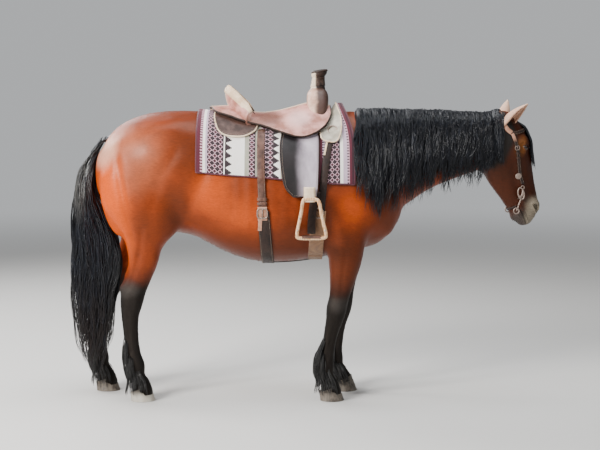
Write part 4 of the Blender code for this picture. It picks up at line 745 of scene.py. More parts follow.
def fenderMaterial():  # dark, with a painted reflection, pale grey, over its front half
    material, tree, inputs, colour = leatherMaterial(
        "fenderLeather", (0.0095, 0.0055, 0.0062), (0.004, 0.0026, 0.0030), (0.05, 0.038, 0.038), 0.52)
    x = parted(tree, objectPlace(tree))[0]
    patches = noise(tree, stretched(tree, objectPlace(tree), (8, 8, 3)), 1.0, 4.0)
    edge = sums(tree, "MULTIPLY_ADD", patches, 0.05, x)
    # painted reflection: pale grey over the front half, fading towards the front edge
    pale = times(tree, ranged(tree, edge, -0.040, 0.040), 0.92)
    pale = times(tree, pale, ranged(tree, edge, 0.092, 0.070, 0.35, 1.0))
    grey = blended(tree, ranged(tree, patches, 0.35, 0.65), (0.32, 0.265, 0.315), (0.54, 0.470, 0.530))
    paint(tree, inputs, blended(tree, pale, colour, grey))
    return material


def woodMaterial():
    material, tree, inputs = newMaterial(
        "stirrupWood", Roughness=0.38, Specular_IOR_Level=0.5, Coat_Weight=0.25, Coat_Roughness=0.2)
    place = objectPlace(tree)
    rings = addNode(
        tree, "TexWave", {"bands_direction": "X"}, Vector=place, Scale=26.0, Distortion=7.0, Detail=3.0)
    fine = noise(tree, stretched(tree, place, (220, 40, 12)), 1.0, 4.0)
    colour = blended(tree, ranged(tree, rings.outputs[1], 0.2, 0.8), (0.44, 0.205, 0.075), (0.68, 0.38, 0.18))
    colour = blended(tree, ranged(tree, fine, 0.45, 0.75, 0.0, 0.6), colour, (0.33, 0.165, 0.075))
    worked = useGroup(tree, edgeWear, Low=0.5, High=0.58)["Wear"]
    colour = blended(tree, times(tree, worked, 0.7), colour, (0.86, 0.68, 0.48))
    paint(tree, inputs, colour)
    bump(tree, inputs, fine, 0.15, 0.001)
    return material


def steelMaterial(name, colour, roughness):
    material, tree, inputs = newMaterial(name, Metallic=1.0, Roughness=roughness, Base_Color=colour)
    place = objectPlace(tree)
    marks = noise(tree, place, 160.0, 4.0)
    tree.links.new(ranged(tree, marks, 0.3, 0.7, roughness, roughness + 0.18), inputs["Roughness"])
    dulled = tuple(c * 0.55 for c in colour)
    paint(tree, inputs, blended(tree, ranged(tree, marks, 0.5, 0.8), colour, dulled))
    bump(tree, inputs, marks, 0.08, 0.0008)
    return material


def cordMaterial(name, light, dark):  # twisted cotton cord
    material, tree, inputs = newMaterial(name, Roughness=0.85, Sheen_Weight=0.3, Sheen_Roughness=0.5)
    place = objectPlace(tree)
    twist = addNode(
        tree, "TexWave", {"bands_direction": "DIAGONAL"}, Vector=place, Scale=110.0, Distortion=1.0)
    fuzz = noise(tree, place, 300.0, 3.0)
    colour = blended(tree, ranged(tree, twist.outputs[1], 0.2, 0.8), dark, light)
    colour = blended(tree, ranged(tree, noise(tree, place, 20.0, 4.0), 0.4, 0.7, 0.0, 0.5), colour, dark)
    paint(tree, inputs, colour)
    bump(tree, inputs, sums(tree, "MULTIPLY_ADD", fuzz, 0.5, twist.outputs[1]), 0.6, 0.0015)
    return material


def cheekMaterial():  # dark, with the tan of the crown at its top
    material, tree, inputs, colour = leatherMaterial(
        "cheekLeather", (0.014, 0.0060, 0.0040), (0.005, 0.0024, 0.0018), (0.06, 0.030, 0.020), 0.50)
    z = parted(tree, objectPlace(tree))[2]
    tan = blended(tree, useGroup(tree, leatherGrain)["Patches"], (0.26, 0.105, 0.062), (0.58, 0.32, 0.22))
    paint(tree, inputs, blended(tree, ranged(tree, z, 1.370, 1.405), colour, tan))
    return material


fenderLeather = fenderMaterial()
cheekLeather = cheekMaterial()
stirrupWood = woodMaterial()
steel = steelMaterial("steel", (0.50, 0.46, 0.43), 0.34)
agedSteel = steelMaterial("agedSteel", (0.34, 0.265, 0.225), 0.44)
cinchCord = cordMaterial("cinchCord", (0.36, 0.195, 0.095), (0.16, 0.075, 0.032))
thread = cordMaterial("thread", (0.40, 0.27, 0.18), (0.24, 0.15, 0.09))
print("finishes ready")


# The body
# Trunk stations: x, top, bottom, half width, height of the widest part (0 bottom, 1 top)
trunkRows = (
    (-1.090, 1.350, 1.060, 0.110, 0.55),
    (-1.045, 1.425, 0.985, 0.185, 0.55),
    (-0.960, 1.490, 0.930, 0.245, 0.55),
    (-0.820, 1.535, 0.895, 0.290, 0.56),
    (-0.620, 1.545, 0.875, 0.290, 0.52),
    (-0.450, 1.525, 0.790, 0.295, 0.45),
    (-0.280, 1.495, 0.735, 0.318, 0.42),
    (-0.100, 1.480, 0.732, 0.318, 0.42),
    (0.060, 1.495, 0.752, 0.295, 0.42),
    (0.190, 1.542, 0.778, 0.262, 0.42),
    (0.300, 1.532, 0.800, 0.238, 0.42),
    (0.400, 1.450, 0.835, 0.212, 0.42),
    (0.470, 1.330, 0.920, 0.165, 0.42),
)
# Neck stations: x, z of the middle, half depth, half width
neckRows = (
    (0.200, 1.220, 0.292, 0.200),
    (0.420, 1.275, 0.274, 0.165),
    (0.600, 1.322, 0.217, 0.125),
    (0.780, 1.354, 0.178, 0.102),
    (0.930, 1.374, 0.147, 0.090),
    (1.040, 1.380, 0.127, 0.080),
)
# Head stations along the axis from the poll: s, front, back, half width, level of the widest
poll = Vector((1.067, 0.0, 1.503))
headTilt = math.radians(13.5)  # of the face's axis from the vertical
headTurn = math.radians(11.0)  # towards the horse's left
headRows = (
    (-0.030, 0.030, -0.110, 0.055, -0.030),
    (0.020, 0.060, -0.150, 0.072, -0.020),
    (0.080, 0.082, -0.172, 0.082, 0.000),
    (0.150, 0.092, -0.188, 0.088, 0.010),
    (0.220, 0.091, -0.196, 0.084, 0.000),
    (0.290, 0.085, -0.182, 0.072, -0.020),
    (0.360, 0.080, -0.152, 0.058, -0.020),
    (0.430, 0.079, -0.120, 0.051, -0.010),
    (0.490, 0.078, -0.098, 0.053, -0.005),
    (0.535, 0.060, -0.086, 0.050, -0.010),
    (0.570, 0.026, -0.062, 0.036, -0.015),
)
# Leg stations: x, z, half depth along the body, half width across it, y from the middle
foreRows = (
    (0.215, 1.000, 0.115, 0.085, 0.160),
    (0.208, 0.870, 0.110, 0.084, 0.160),
    (0.203, 0.750, 0.092, 0.074, 0.157),
    (0.189, 0.645, 0.070, 0.060, 0.151),
    (0.174, 0.560, 0.056, 0.050, 0.147),
    (0.158, 0.490, 0.056, 0.053, 0.145),
    (0.150, 0.440, 0.050, 0.046, 0.143),
    (0.134, 0.380, 0.0415, 0.0360, 0.141),
    (0.120, 0.310, 0.0385, 0.0325, 0.139),
    (0.108, 0.240, 0.0400, 0.0335, 0.137),
    (0.098, 0.178, 0.0520, 0.0430, 0.136),
    (0.108, 0.125, 0.0400, 0.0395, 0.135),
    (0.122, 0.085, 0.0510, 0.0510, 0.135),
    (0.132, 0.045, 0.0560, 0.0550, 0.135),
    (0.134, 0.015, 0.0560, 0.0550, 0.135),
)
hindRows = (
    (-0.860, 1.220, 0.240, 0.120, 0.150),
    (-0.850, 1.080, 0.238, 0.125, 0.160),
    (-0.847, 1.000, 0.212, 0.118, 0.165),
    (-0.848, 0.910, 0.152, 0.102, 0.165),
    (-0.858, 0.830, 0.102, 0.084, 0.158),
    (-0.865, 0.750, 0.083, 0.070, 0.150),
    (-0.888, 0.670, 0.070, 0.056, 0.144),
    (-0.915, 0.600, 0.068, 0.049, 0.140),
    (-0.929, 0.530, 0.063, 0.050, 0.138),
    (-0.938, 0.450, 0.049, 0.042, 0.137),
    (-0.935, 0.360, 0.0425, 0.0350, 0.137),
    (-0.925, 0.260, 0.0415, 0.0350, 0.138),
    (-0.912, 0.185, 0.0530, 0.0440, 0.138),
    (-0.900, 0.130, 0.0410, 0.0405, 0.139),
    (-0.884, 0.085, 0.0520, 0.0520, 0.140),
    (-0.875, 0.045, 0.0570, 0.0560, 0.140),
    (-0.874, 0.015, 0.0570, 0.0560, 0.140),
)
# Down the face, forward and sideways, to the eyeball's middle and to the nostril, and the mouth's two ends
eyePlace = (0.172, 0.046, 0.0665)
nostril = (0.505, 0.044, 0.044)
mouthCorner, mouthFront = (0.455, -0.052), (0.572, -0.022)
# How far each left leg stands ahead of the right one, by height: z, shift in x
foreStep = ((0.0, 0.080), (0.18, 0.056), (0.48, 0.045), (0.87, 0.0), (1.3, 0.0))
hindStep = (
    (0.0, -0.225), (0.19, -0.232), (0.57, -0.170), (0.83, -0.070), (0.98, -0.015), (1.1, 0.0), (1.3, 0.0),
)


# Places in the head's own frame
def headFrame():
    axis = Vector((math.sin(headTilt), 0, -math.cos(headTilt)))
    front = Vector((math.cos(headTilt), 0, math.sin(headTilt)))
    turn = Matrix.Rotation(headTurn, 3, "Z")
    return turn @ axis, turn @ front, turn @ unitY


headAxis, headFront, headLeft = headFrame()


def onHead(s, front, left):
    return poll + headAxis * s + headFront * front + headLeft * left


headTurned = Matrix((headAxis, headLeft, headFront)).transposed()


def eyeCentre(side):
    return onHead(eyePlace[0], eyePlace[1], side * eyePlace[2])


def nostrilCentre(side):
    return onHead(nostril[0], nostril[1], side * nostril[2])


def trunkForm():
    rings = []
    for x, top, bottom, half, widest in curveThrough(trunkRows, 30):
        middle = bottom + (top - bottom) * widest
        withers = math.exp(-(((x - 0.20) / 0.16) ** 2))
        rings.append(
            oval(
                Vector((x, 0, middle)), unitY, unitZ, half,
                top - middle, middle - bottom, 32, 2.15 - 0.45 * withers, 2.2,
            )
        )
    return loft(rings, 0.045, 0.05)


def neckForm():
    rows = curveThrough(neckRows, 14)
    rings = []
    for i, (x, z, depth, half) in enumerate(rows):
        before, after = rows[max(i - 1, 0)], rows[min(i + 1, len(rows) - 1)]
        along = Vector((after[0] - before[0], 0, after[1] - before[1])).normalized()
        up = Vector((-along.z, 0, along.x))
        middle = Vector((x, 0, z)) - up * depth * 0.12
        rings.append(oval(middle, unitY, up, half, depth * 1.12, depth * 0.88, 28, 1.75, 2.2))
    return loft(rings, 0.02, 0.02)


def headForm():
    rings = []
    for s, front, back, half, level in curveThrough(headRows, 26):
        bone = max(0.0, min(1.0, (s - 0.2) / 0.15)) * max(0.0, min(1.0, (0.52 - s) / 0.08))
        rings.append(
            oval(
                onHead(s, level, 0), headLeft, headFront, half, front - level, level - back,
                28, 2.1 + 0.5 * bone, 2.2,
            )
        )
    return loft(rings, 0.02, 0.022)


def legPoint(steps, left, row):
    x, z, _, _, y = row
    if left:
        x += along(steps, z)
    return Vector((x, y if left else -y, z))


def legForm(stations, steps, left):
    rows = curveThrough(stations, 3 * len(stations))
    middles = [legPoint(steps, left, row) for row in rows]
    rings = []
    for i, row in enumerate(rows):
        along = (middles[min(i + 1, len(rows) - 1)] - middles[max(i - 1, 0)]).normalized()
        side = unitY
        fore = side.cross(along).normalized()
        rings.append(oval(middles[i], fore, side, row[2], row[3], row[3], 20, 2.1, 2.1))
    return loft(rings, 0.03, 0.0)


def bodyForms():
    forms = [trunkForm(), neckForm(), headForm()]
    for left in (False, True):
        y = 1 if left else -1
        out = (0, y, 0)
        forms.append(legForm(foreRows, foreStep, left))
        forms.append(legForm(hindRows, hindStep, left))
        hockX = -0.17 if left else 0.0
        kneeX = 0.045 if left else 0.0
        forms += [
            # croup, thigh and buttock
            spindle((-0.50, y * 0.12, 1.43), (-1.10, y * 0.09, 1.25), 0.16, 0.16, out),
            spindle((-0.98, y * 0.13, 1.42), (-0.76, y * 0.16, 0.90), 0.19, 0.13, out),
            spindle((-1.02, y * 0.085, 1.42), (-0.978 + hockX * 0.2, y * 0.130, 0.865), 0.102, 0.100, out),
            spindle((-0.54, y * 0.17, 1.42), (-0.70, y * 0.16, 0.95), 0.10, 0.11, out),
            # stifle and point of the hip
            egg(Vector((-0.750 + hockX * 0.1, y * 0.165, 0.955)), (0.085, 0.080, 0.095)),
            egg(Vector((-0.590, y * 0.180, 1.395)), (0.100, 0.065, 0.065)),
            # shoulder blade, upper arm and the muscle behind it
            spindle((0.17, y * 0.09, 1.47), (0.42, y * 0.13, 1.00), 0.115, 0.100, out),
            spindle((0.44, y * 0.110, 1.08), (0.16, y * 0.165, 0.86), 0.095, 0.088, out),
            spindle((0.05, y * 0.14, 1.22), (0.15, y * 0.160, 0.78), 0.110, 0.095, out),
            # breast
            egg(Vector((0.400, y * 0.080, 0.990)), (0.088, 0.090, 0.130)),
            # forearm and gaskin bellies
            spindle(
                (0.240 + kneeX * 0.1, y * 0.168, 0.92), (0.200 + kneeX * 0.7, y * 0.158, 0.57),
                0.058, 0.054, out),
            spindle(
                (-0.79 + hockX * 0.2, y * 0.182, 0.94), (-0.865 + hockX * 0.6, y * 0.158, 0.65),
                0.058, 0.050, out),
            # elbow and point of the hock
            egg(Vector((0.110, y * 0.165, 0.865)), (0.040, 0.040, 0.055)),
            spindle(
                (-0.880 + hockX * 0.7, y * 0.147, 0.84), (-0.978 + hockX, y * 0.140, 0.565),
                0.027, 0.026, out),
            egg(Vector((-0.968 + hockX, y * 0.140, 0.598)), (0.028, 0.028, 0.036)),
        ]
        # cheek, brow, cheekbone, nostril wing, and the muscles that join head and neck
        forms += [
            egg(onHead(0.205, -0.075, y * 0.036), (0.125, 0.049, 0.118), headTurned),
            egg(onHead(0.150, 0.046, y * 0.056), (0.062, 0.036, 0.036), headTurned),
            egg(onHead(0.280, 0.000, y * 0.050), (0.110, 0.019, 0.026), headTurned),
            egg(onHead(0.490, 0.040, y * 0.036), (0.040, 0.026, 0.036), headTurned),
            egg(onHead(0.528, 0.010, y * 0.020), (0.042, 0.030, 0.038), headTurned),
            spindle((0.80, y * 0.030, 1.44), onHead(0.08, -0.06, y * 0.035), 0.070, 0.045, out),
            # lids
            egg(eyeCentre(y), (0.036, 0.024, 0.028), headTurned),
        ]
    forms.append(egg(onHead(0.522, -0.066, 0), (0.036, 0.036, 0.030), headTurned))
    return forms


# The skin
def relax(mesh, softness, firmness, rounds):  # smooths by each point's softness, and pushes firm points back
    co, ends = coordinates(mesh), valuesOf(mesh.edges, "vertices", 2, np.int64)
    valence = np.bincount(ends.ravel(), minlength=len(co))[:, None]
    for step in range(rounds):
        pull = softness if step % 2 == 0 else -firmness * softness
        total = np.zeros_like(co)
        for axis in range(3):
            total[:, axis] = np.bincount(ends[:, 0], co[ends[:, 1], axis], len(co))
            total[:, axis] += np.bincount(ends[:, 1], co[ends[:, 0], axis], len(co))
        co += (total / valence - co) * pull[:, None]
    setCoordinates(mesh, co)


def headLocal(co):  # points as (s, front, left) in the head's frame
    rel = co - np.array(poll)
    return np.stack([rel @ np.array(headAxis), rel @ np.array(headFront), rel @ np.array(headLeft)], 1)


def fusedSkin():
    skin = bpy.data.objects.new("skin", merged(bodyForms()))
    bpy.context.scene.collection.objects.link(skin)
    remesh = skin.modifiers.new("fuse", "REMESH")
    remesh.mode = "VOXEL"
    remesh.voxel_size = skinShape["voxel"]
    graph = bpy.context.evaluated_depsgraph_get()
    mesh = bpy.data.meshes.new_from_object(skin.evaluated_get(graph))
    bpy.data.objects.remove(skin)
    co = coordinates(mesh)
    s, front = headLocal(co)[:, :2].T
    onFace = stepUp(s, -0.02, 0.10) * stepUp(co[:, 0], 0.88, 0.98)
    cheek = stepUp(-front, 0.0, 0.06) * (1 - stepUp(s, 0.26, 0.34))
    lowLeg = 1 - stepUp(co[:, 2], 0.62, 0.90)
    fine = np.maximum(onFace * (1 - 0.8 * cheek), lowLeg)
    relax(mesh, 0.62 * (1 - 0.6 * fine), 0.25 + 0.7 * fine, skinShape["rounds"])
    return mesh


def divided(mesh, chosen):  # each face with all its corners chosen is divided in four
    b = bmesh.new()
    b.from_mesh(mesh)
    b.verts.ensure_lookup_table()
    edges = [e for e in b.edges if chosen[e.verts[0].index] and chosen[e.verts[1].index]]
    bmesh.ops.subdivide_edges(b, edges=edges, cuts=1, use_grid_fill=True, smooth=0.0)
    b.to_mesh(mesh)
    b.free()
    co = coordinates(mesh)
    return mesh, co


def normalsOf(mesh):
    mesh.update()
    return valuesOf(mesh.vertices, "normal", 3)


def fromLine(co, line):  # how far each point is from a line of places, and where along it the nearest is
    line = np.array(line, float)
    best = np.full(len(co), 9.0)
    where = np.zeros(len(co))
    for i in range(len(line) - 1):
        a, b = line[i], line[i + 1]
        t = np.clip((co - a) @ (b - a) / ((b - a) @ (b - a)), 0, 1)
        away = np.linalg.norm(co - a - t[:, None] * (b - a), axis=1)
        closer = away < best
        best[closer] = away[closer]
        where[closer] = (i + t[closer]) / (len(line) - 1)
    return best, where


skinShape = {"voxel": 0.0107, "rounds": 48, "depth": 0.0022}
# Furrows (below 0) and ridges (above 0) of the muscles on both sides: line in x and z, half width and height
muscleLines = (
    (((0.16, 1.40), (0.27, 1.20), (0.38, 1.03)), 0.020, -0.0045),
    (((0.05, 1.14), (0.10, 1.02), (0.14, 0.90)), 0.026, -0.0050),
    (((0.48, 1.40), (0.44, 1.22), (0.40, 1.08)), 0.030, -0.0060),
    (((0.50, 1.17), (0.72, 1.23), (0.94, 1.27)), 0.020, -0.0065),
    (((-0.50, 1.32), (-0.56, 1.14), (-0.63, 0.99)), 0.034, -0.0070),
    (((-0.66, 1.36), (-0.76, 1.20), (-0.80, 1.02)), 0.030, -0.0040),
    (((-1.00, 1.34), (-0.97, 1.16), (-0.93, 0.96), (-0.90, 0.84)), 0.020, -0.0060),
    (((-0.86, 0.94), (-0.87, 0.82), (-0.90, 0.70)), 0.014, -0.0050),
    (((-0.60, 1.40), (-0.72, 1.45), (-0.86, 1.43)), 0.040, 0.0030),
    (((-0.25, 0.92), (-0.45, 0.98), (-0.62, 1.05)), 0.030, 0.0035),
)
# The same on the lower legs, that move with each leg's own step
legLines = {
    "fore": (
        (((0.205, 0.80), (0.190, 0.68), (0.180, 0.58)), 0.010, -0.0040),
        (((0.150, 0.41), (0.128, 0.33), (0.104, 0.22)), 0.0060, -0.0045),
        (((0.170, 0.53), (0.172, 0.49), (0.166, 0.45)), 0.012, 0.0030),
    ),
    "hind": (
        (((-0.885, 0.78), (-0.915, 0.68), (-0.938, 0.61)), 0.011, -0.0060),
        (((-0.945, 0.48), (-0.945, 0.38), (-0.932, 0.26)), 0.0060, -0.0045),
        (((-0.895, 0.58), (-0.900, 0.53), (-0.905, 0.49)), 0.011, 0.0030),
    ),
}


def modelled(mesh):  # muscles, tendons and joints pushed into the skin
    co, normals = coordinates(mesh), normalsOf(mesh)
    flat = co[:, [0, 2]]
    wide = stepUp(np.abs(co[:, 1]), 0.03, 0.09)
    for line, half, height in muscleLines:
        away, where = fromLine(flat, line)
        ends = np.minimum(1, np.minimum(where, 1 - where) * 5 + 0.25)
        co += normals * (1.3 * height * bell(away, half) * wide * ends)[:, None]
    for end, lines in legLines.items():
        steps = np.array(foreStep if end == "fore" else hindStep)
        here = (co[:, 0] > -0.3) if end == "fore" else (co[:, 0] < -0.3)
        shift = np.where(co[:, 1] > 0, np.interp(co[:, 2], steps[:, 0], steps[:, 1]), 0.0)
        moved = np.stack([co[:, 0] - shift, co[:, 2]], 1)
        for line, half, height in lines:
            away = fromLine(moved, line)[0]
            sideOn = stepUp(np.abs(normals[:, 1]), 0.25, 0.7)
            co += normals * (height * bell(away, half) * here * sideOn)[:, None]
    # ribs, faint
    ribs = np.sin((co[:, 0] + 0.35 * (1.1 - co[:, 2]) ** 2) * 2 * math.pi / 0.062)
    area = stepUp(co[:, 0], -0.46, -0.30) * (1 - stepUp(co[:, 0], -0.05, 0.05))
    area *= stepUp(co[:, 2], 0.86, 0.95) * (1 - stepUp(co[:, 2], 1.15, 1.25))
    co += normals * (0.0009 * ribs * area)[:, None]
    setCoordinates(mesh, co)


eyeShape = {
    "radius": 0.0215, "lid": 0.0034, "length": 0.0205, "above": 0.0130, "below": 0.0098,
    "tilt": math.radians(28),
}


def onEye(co, side):  # places about an eyeball: along the opening, up from it, outwards, and the distance
    rel = co - np.array(eyeCentre(side))
    down, fore, out = rel @ np.array(headAxis), rel @ np.array(headFront), side * (rel @ np.array(headLeft))
    c, s = math.cos(eyeShape["tilt"]), math.sin(eyeShape["tilt"])
    return down * c + fore * s, fore * c - down * s, out, np.linalg.norm(rel, axis=1), rel


def sculptedFace(mesh):
    co, normals = coordinates(mesh), normalsOf(mesh)
    s, front, left = headLocal(co).T
    near = (s > -0.05) & (co[:, 0] > 0.9)
    # hollows, ridges and veins of the face: line in the head's own frame, half width and height
    for side in (-1, 1):
        local = np.stack([s, front, side * left], 1)
        moves = (
            (((0.095, 0.045, 0.052), (0.120, 0.050, 0.056)), 0.016, -0.0065),
            (((0.225, 0.000, 0.07), (0.300, -0.006, 0.06), (0.375, -0.006, 0.045)), 0.010, 0.0032),
            (((0.255, -0.040, 0.06), (0.330, -0.045, 0.05), (0.420, -0.035, 0.04)), 0.020, -0.0050),
            (((0.300, 0.045, 0.045), (0.380, 0.050, 0.036), (0.450, 0.055, 0.03)), 0.015, -0.0035),
            (((0.290, 0.012, 0.06), (0.350, 0.025, 0.045), (0.410, 0.030, 0.04), (0.450, 0.045, 0.04)),
             0.0042, 0.0018),
            (((0.330, -0.010, 0.05), (0.380, 0.012, 0.045), (0.425, 0.030, 0.04)), 0.0036, 0.0016),
            (((0.060, -0.120, 0.06), (0.130, -0.165, 0.05), (0.240, -0.180, 0.04)), 0.014, 0.0030),
        )
        for line, half, height in moves:
            away = fromLine(local, line)[0]
            co += normals * (height * bell(away, half) * near)[:, None]
    # the nostrils: a comma shaped hollow with a raised rim
    for side in (-1, 1):
        a = s - nostril[0]
        b = front - nostril[1] - 0.25 * a
        c = side * left - nostril[2]
        shape = np.sqrt((a / 0.0225) ** 2 + ((b + 9.0 * (a - 0.004) ** 2) / 0.0105) ** 2)
        there = near * (side * left > 0.012) * (np.abs(c) < 0.05)
        inward = np.array(headLeft) * -side * 0.8 - np.array(headAxis) * 0.6
        co += inward[None, :] * (0.020 * (1 - stepUp(shape, 0.45, 1.05)) * there)[:, None]
        co += normals * (0.0040 * bell(shape - 1.30, 0.26) * there)[:, None]
    # the line of the mouth, between fuller lips
    reach = np.linspace(0, 1, 24) ** 1.2
    lipS = mouthCorner[0] + (mouthFront[0] - mouthCorner[0]) * reach
    lipFront = mouthCorner[1] + (mouthFront[1] - mouthCorner[1]) * reach
    away, where = fromLine(np.stack([s, front], 1), np.stack([lipS, lipFront], 1))
    depth = 0.0052 * bell(away, 0.0030) - 0.0022 * bell(away - 0.0095, 0.0050)
    co -= normals * (depth * near * stepUp(where, 0.0, 0.10))[:, None]
    # wrinkles behind the corner of the mouth
    folds = np.sin((s - front * 0.5) * 2 * math.pi / 0.011)
    spotHere = np.exp(-(((s - 0.440) / 0.022) ** 2) - ((front + 0.045) / 0.026) ** 2)
    co += normals * (0.0010 * folds * spotHere * near)[:, None]
    setCoordinates(mesh, co)

    co, normals = coordinates(mesh), normalsOf(mesh)
    for side in (-1, 1):
        a, up, out, far, rel = onEye(co, side)
        half = np.where(up > 0, eyeShape["above"], eyeShape["below"])
        bow = np.clip(1 - (a / eyeShape["length"]) ** 2, 0, 1) ** 0.62
        lid = half * bow
        outside = np.maximum(np.abs(up) - lid, np.abs(a) - eyeShape["length"])
        ahead = (out > -0.004) & (far < 0.075)
        # a fold over the upper lid and one under the lower lid
        fold = bell(np.abs(up) - lid - 0.0085, 0.0022) * (np.abs(a) < 0.026)
        co -= normals * (np.where(up > 0, 0.0026, 0.0016) * fold * ahead)[:, None]
        wanted = eyeShape["radius"] + eyeShape["lid"] * (1 + 0.35 * (up > 0))
        nearness = 1 - stepUp(outside, 0.001, 0.018)
        ball = np.array(eyeCentre(side)) + rel * (wanted / far)[:, None]
        blend = (nearness * ahead * (outside > 0))[:, None]
        co = co * (1 - blend) + ball * blend
        inside = (outside <= 0) & ahead
        depth = (eyeShape["radius"] - 0.0045) / far
        co[inside] = (np.array(eyeCentre(side)) + rel * depth[:, None])[inside]
    setCoordinates(mesh, co)


def makeSkin():
    mesh = fusedSkin()
    co = coordinates(mesh)
    face = (headLocal(co)[:, 0] > -0.02) & (co[:, 0] > 0.985)
    mesh, co = divided(mesh, face)
    features = (headLocal(co)[:, 0] > 0.435) & (co[:, 0] > 0.985)
    for side in (-1, 1):
        features |= distances(co, eyeCentre(side)) < 0.045
    mesh, co = divided(mesh, features)
    finest = np.zeros(len(co), bool)
    for side in (-1, 1):
        finest |= distances(co, eyeCentre(side)) < 0.028
        finest |= distances(co, nostrilCentre(side)) < 0.034
    mesh, co = divided(mesh, finest)
    face = stepUp(headLocal(co)[:, 0], -0.03, 0.02) * stepUp(co[:, 0], 0.975, 1.0)
    relax(mesh, 0.5 * face, 0.9, 8)
    modelled(mesh)
    sculptedFace(mesh)
    b = bmesh.new()
    b.from_mesh(mesh)
    bmesh.ops.triangulate(b, faces=[f for f in b.faces if len(f.verts) > 4])
    b.to_mesh(mesh)
    b.free()
    return mesh


def unwrap(mesh):  # OFBake: the right side beside the left side, by place on the horse's own shape
    layer = mesh.uv_layers.new(name="OFBake")
    corner = valuesOf(mesh.loops, "vertex_index", kind=np.int64)
    uv = skinPlace(coordinates(mesh)[corner], faceSides(mesh))
    layer.data.foreach_set("uv", uv.astype(np.float32).ravel())


def faceSides(mesh):  # for each corner, whether its face is on the left half
    totals = valuesOf(mesh.polygons, "loop_total", kind=np.int64)
    return np.repeat(valuesOf(mesh.polygons, "center", 3)[:, 1] > 0, totals)


def skinPlace(co, onLeft):  # a place on the unwrap, by x and z, and spread by y where the horse is flat
    width = 2.9
    u = (co[:, 0] + 1.35 + 0.02 * co[:, 1]) / width
    spread = 0.55 * np.minimum(np.abs(co[:, 1]), 0.35) * np.where(co[:, 2] > 1.1, -1.0, 0.25)
    v = (co[:, 2] + spread + 0.25) / width
    return np.stack([np.where(onLeft, 0.5 + u * 0.5, u * 0.5), v], 1)


# Hair
patchSize = 0.003  # of each strand and tuft on the unwrap


def newHair():  # strands gathered here until they are made into one mesh
    return {"points": [], "faces": [], "corners": [], "count": 0}


def addStrand(gathered, path, outs, widths, root):  # a strand of three sides, flattened and ending in a tip
    sides, flat = 3, 0.55
    path, outs, widths = (np.asarray(a, float) for a in (path, outs, widths))
    count = len(path)
    axis = np.empty_like(path)
    axis[1:-1] = path[2:] - path[:-2]
    axis[0], axis[-1] = path[1] - path[0], path[-1] - path[-2]
    axis /= np.linalg.norm(axis, axis=1)[:, None] + 1e-9
    side = np.cross(axis, outs)
    side /= np.linalg.norm(side, axis=1)[:, None] + 1e-9
    out = np.cross(side, axis)
    rings = []
    for k in range(sides):
        angle = 2 * math.pi * (k + 0.25) / sides
        across, high = math.cos(angle), math.sin(angle) * flat
        rings.append(path + side * (widths * across)[:, None] + out * (widths * high)[:, None])
    body = np.stack(rings, 1)[:-1].reshape(-1, 3)
    points = np.vstack([body, path[-1:]])
    base = gathered["count"]
    rows = np.arange(count - 2)[:, None] * sides
    k = np.arange(sides)[None, :]
    a = (rows + k).ravel()
    b = (rows + (k + 1) % sides).ravel()
    quads = np.stack([a, b, b + sides, a + sides], 1)
    tris = np.concatenate([quads[:, [0, 1, 2]], quads[:, [0, 2, 3]]])
    last = (count - 2) * sides
    ks = np.arange(sides)
    tips = np.stack([last + ks, last + (ks + 1) % sides, np.full(sides, len(points) - 1)], 1)
    caps = np.array([[0, i + 1, i] for i in range(1, sides - 1)])
    faces = np.concatenate([tris, tips, caps])
    gathered["points"].append(points)
    gathered["faces"].append(faces + base)
    place = skinPlace(np.array([root], float), np.array([root[1] > 0]))[0]
    ring = np.arange(len(points)) // sides / max(1, count - 1)
    around = np.arange(len(points)) % sides / sides
    corners = place[None, :] + np.stack([around, ring], 1) * patchSize
    gathered["corners"].append(corners[faces].reshape(-1, 2))
    gathered["count"] += len(points)


def meshOf(gathered):
    points, faces = np.concatenate(gathered["points"]), np.concatenate(gathered["faces"])[:, ::-1]
    corners = np.concatenate(gathered["corners"]).reshape(-1, 3, 2)[:, ::-1].reshape(-1, 2)
    mesh = bpy.data.meshes.new("hair")
    mesh.vertices.add(len(points))
    mesh.vertices.foreach_set("co", points.ravel())
    mesh.loops.add(len(faces) * 3)
    mesh.loops.foreach_set("vertex_index", faces.astype(np.int32).ravel())
    mesh.polygons.add(len(faces))
    mesh.polygons.foreach_set("loop_start", np.arange(0, len(faces) * 3, 3, dtype=np.int32))
    mesh.update(calc_edges=True)
    layer = mesh.uv_layers.new(name="OFBake")
    layer.data.foreach_set("uv", corners.astype(np.float32).ravel())
    mesh.validate()
    return mesh


def smoothPath(points, count):
    return curveThrough([tuple(p) for p in points], count)


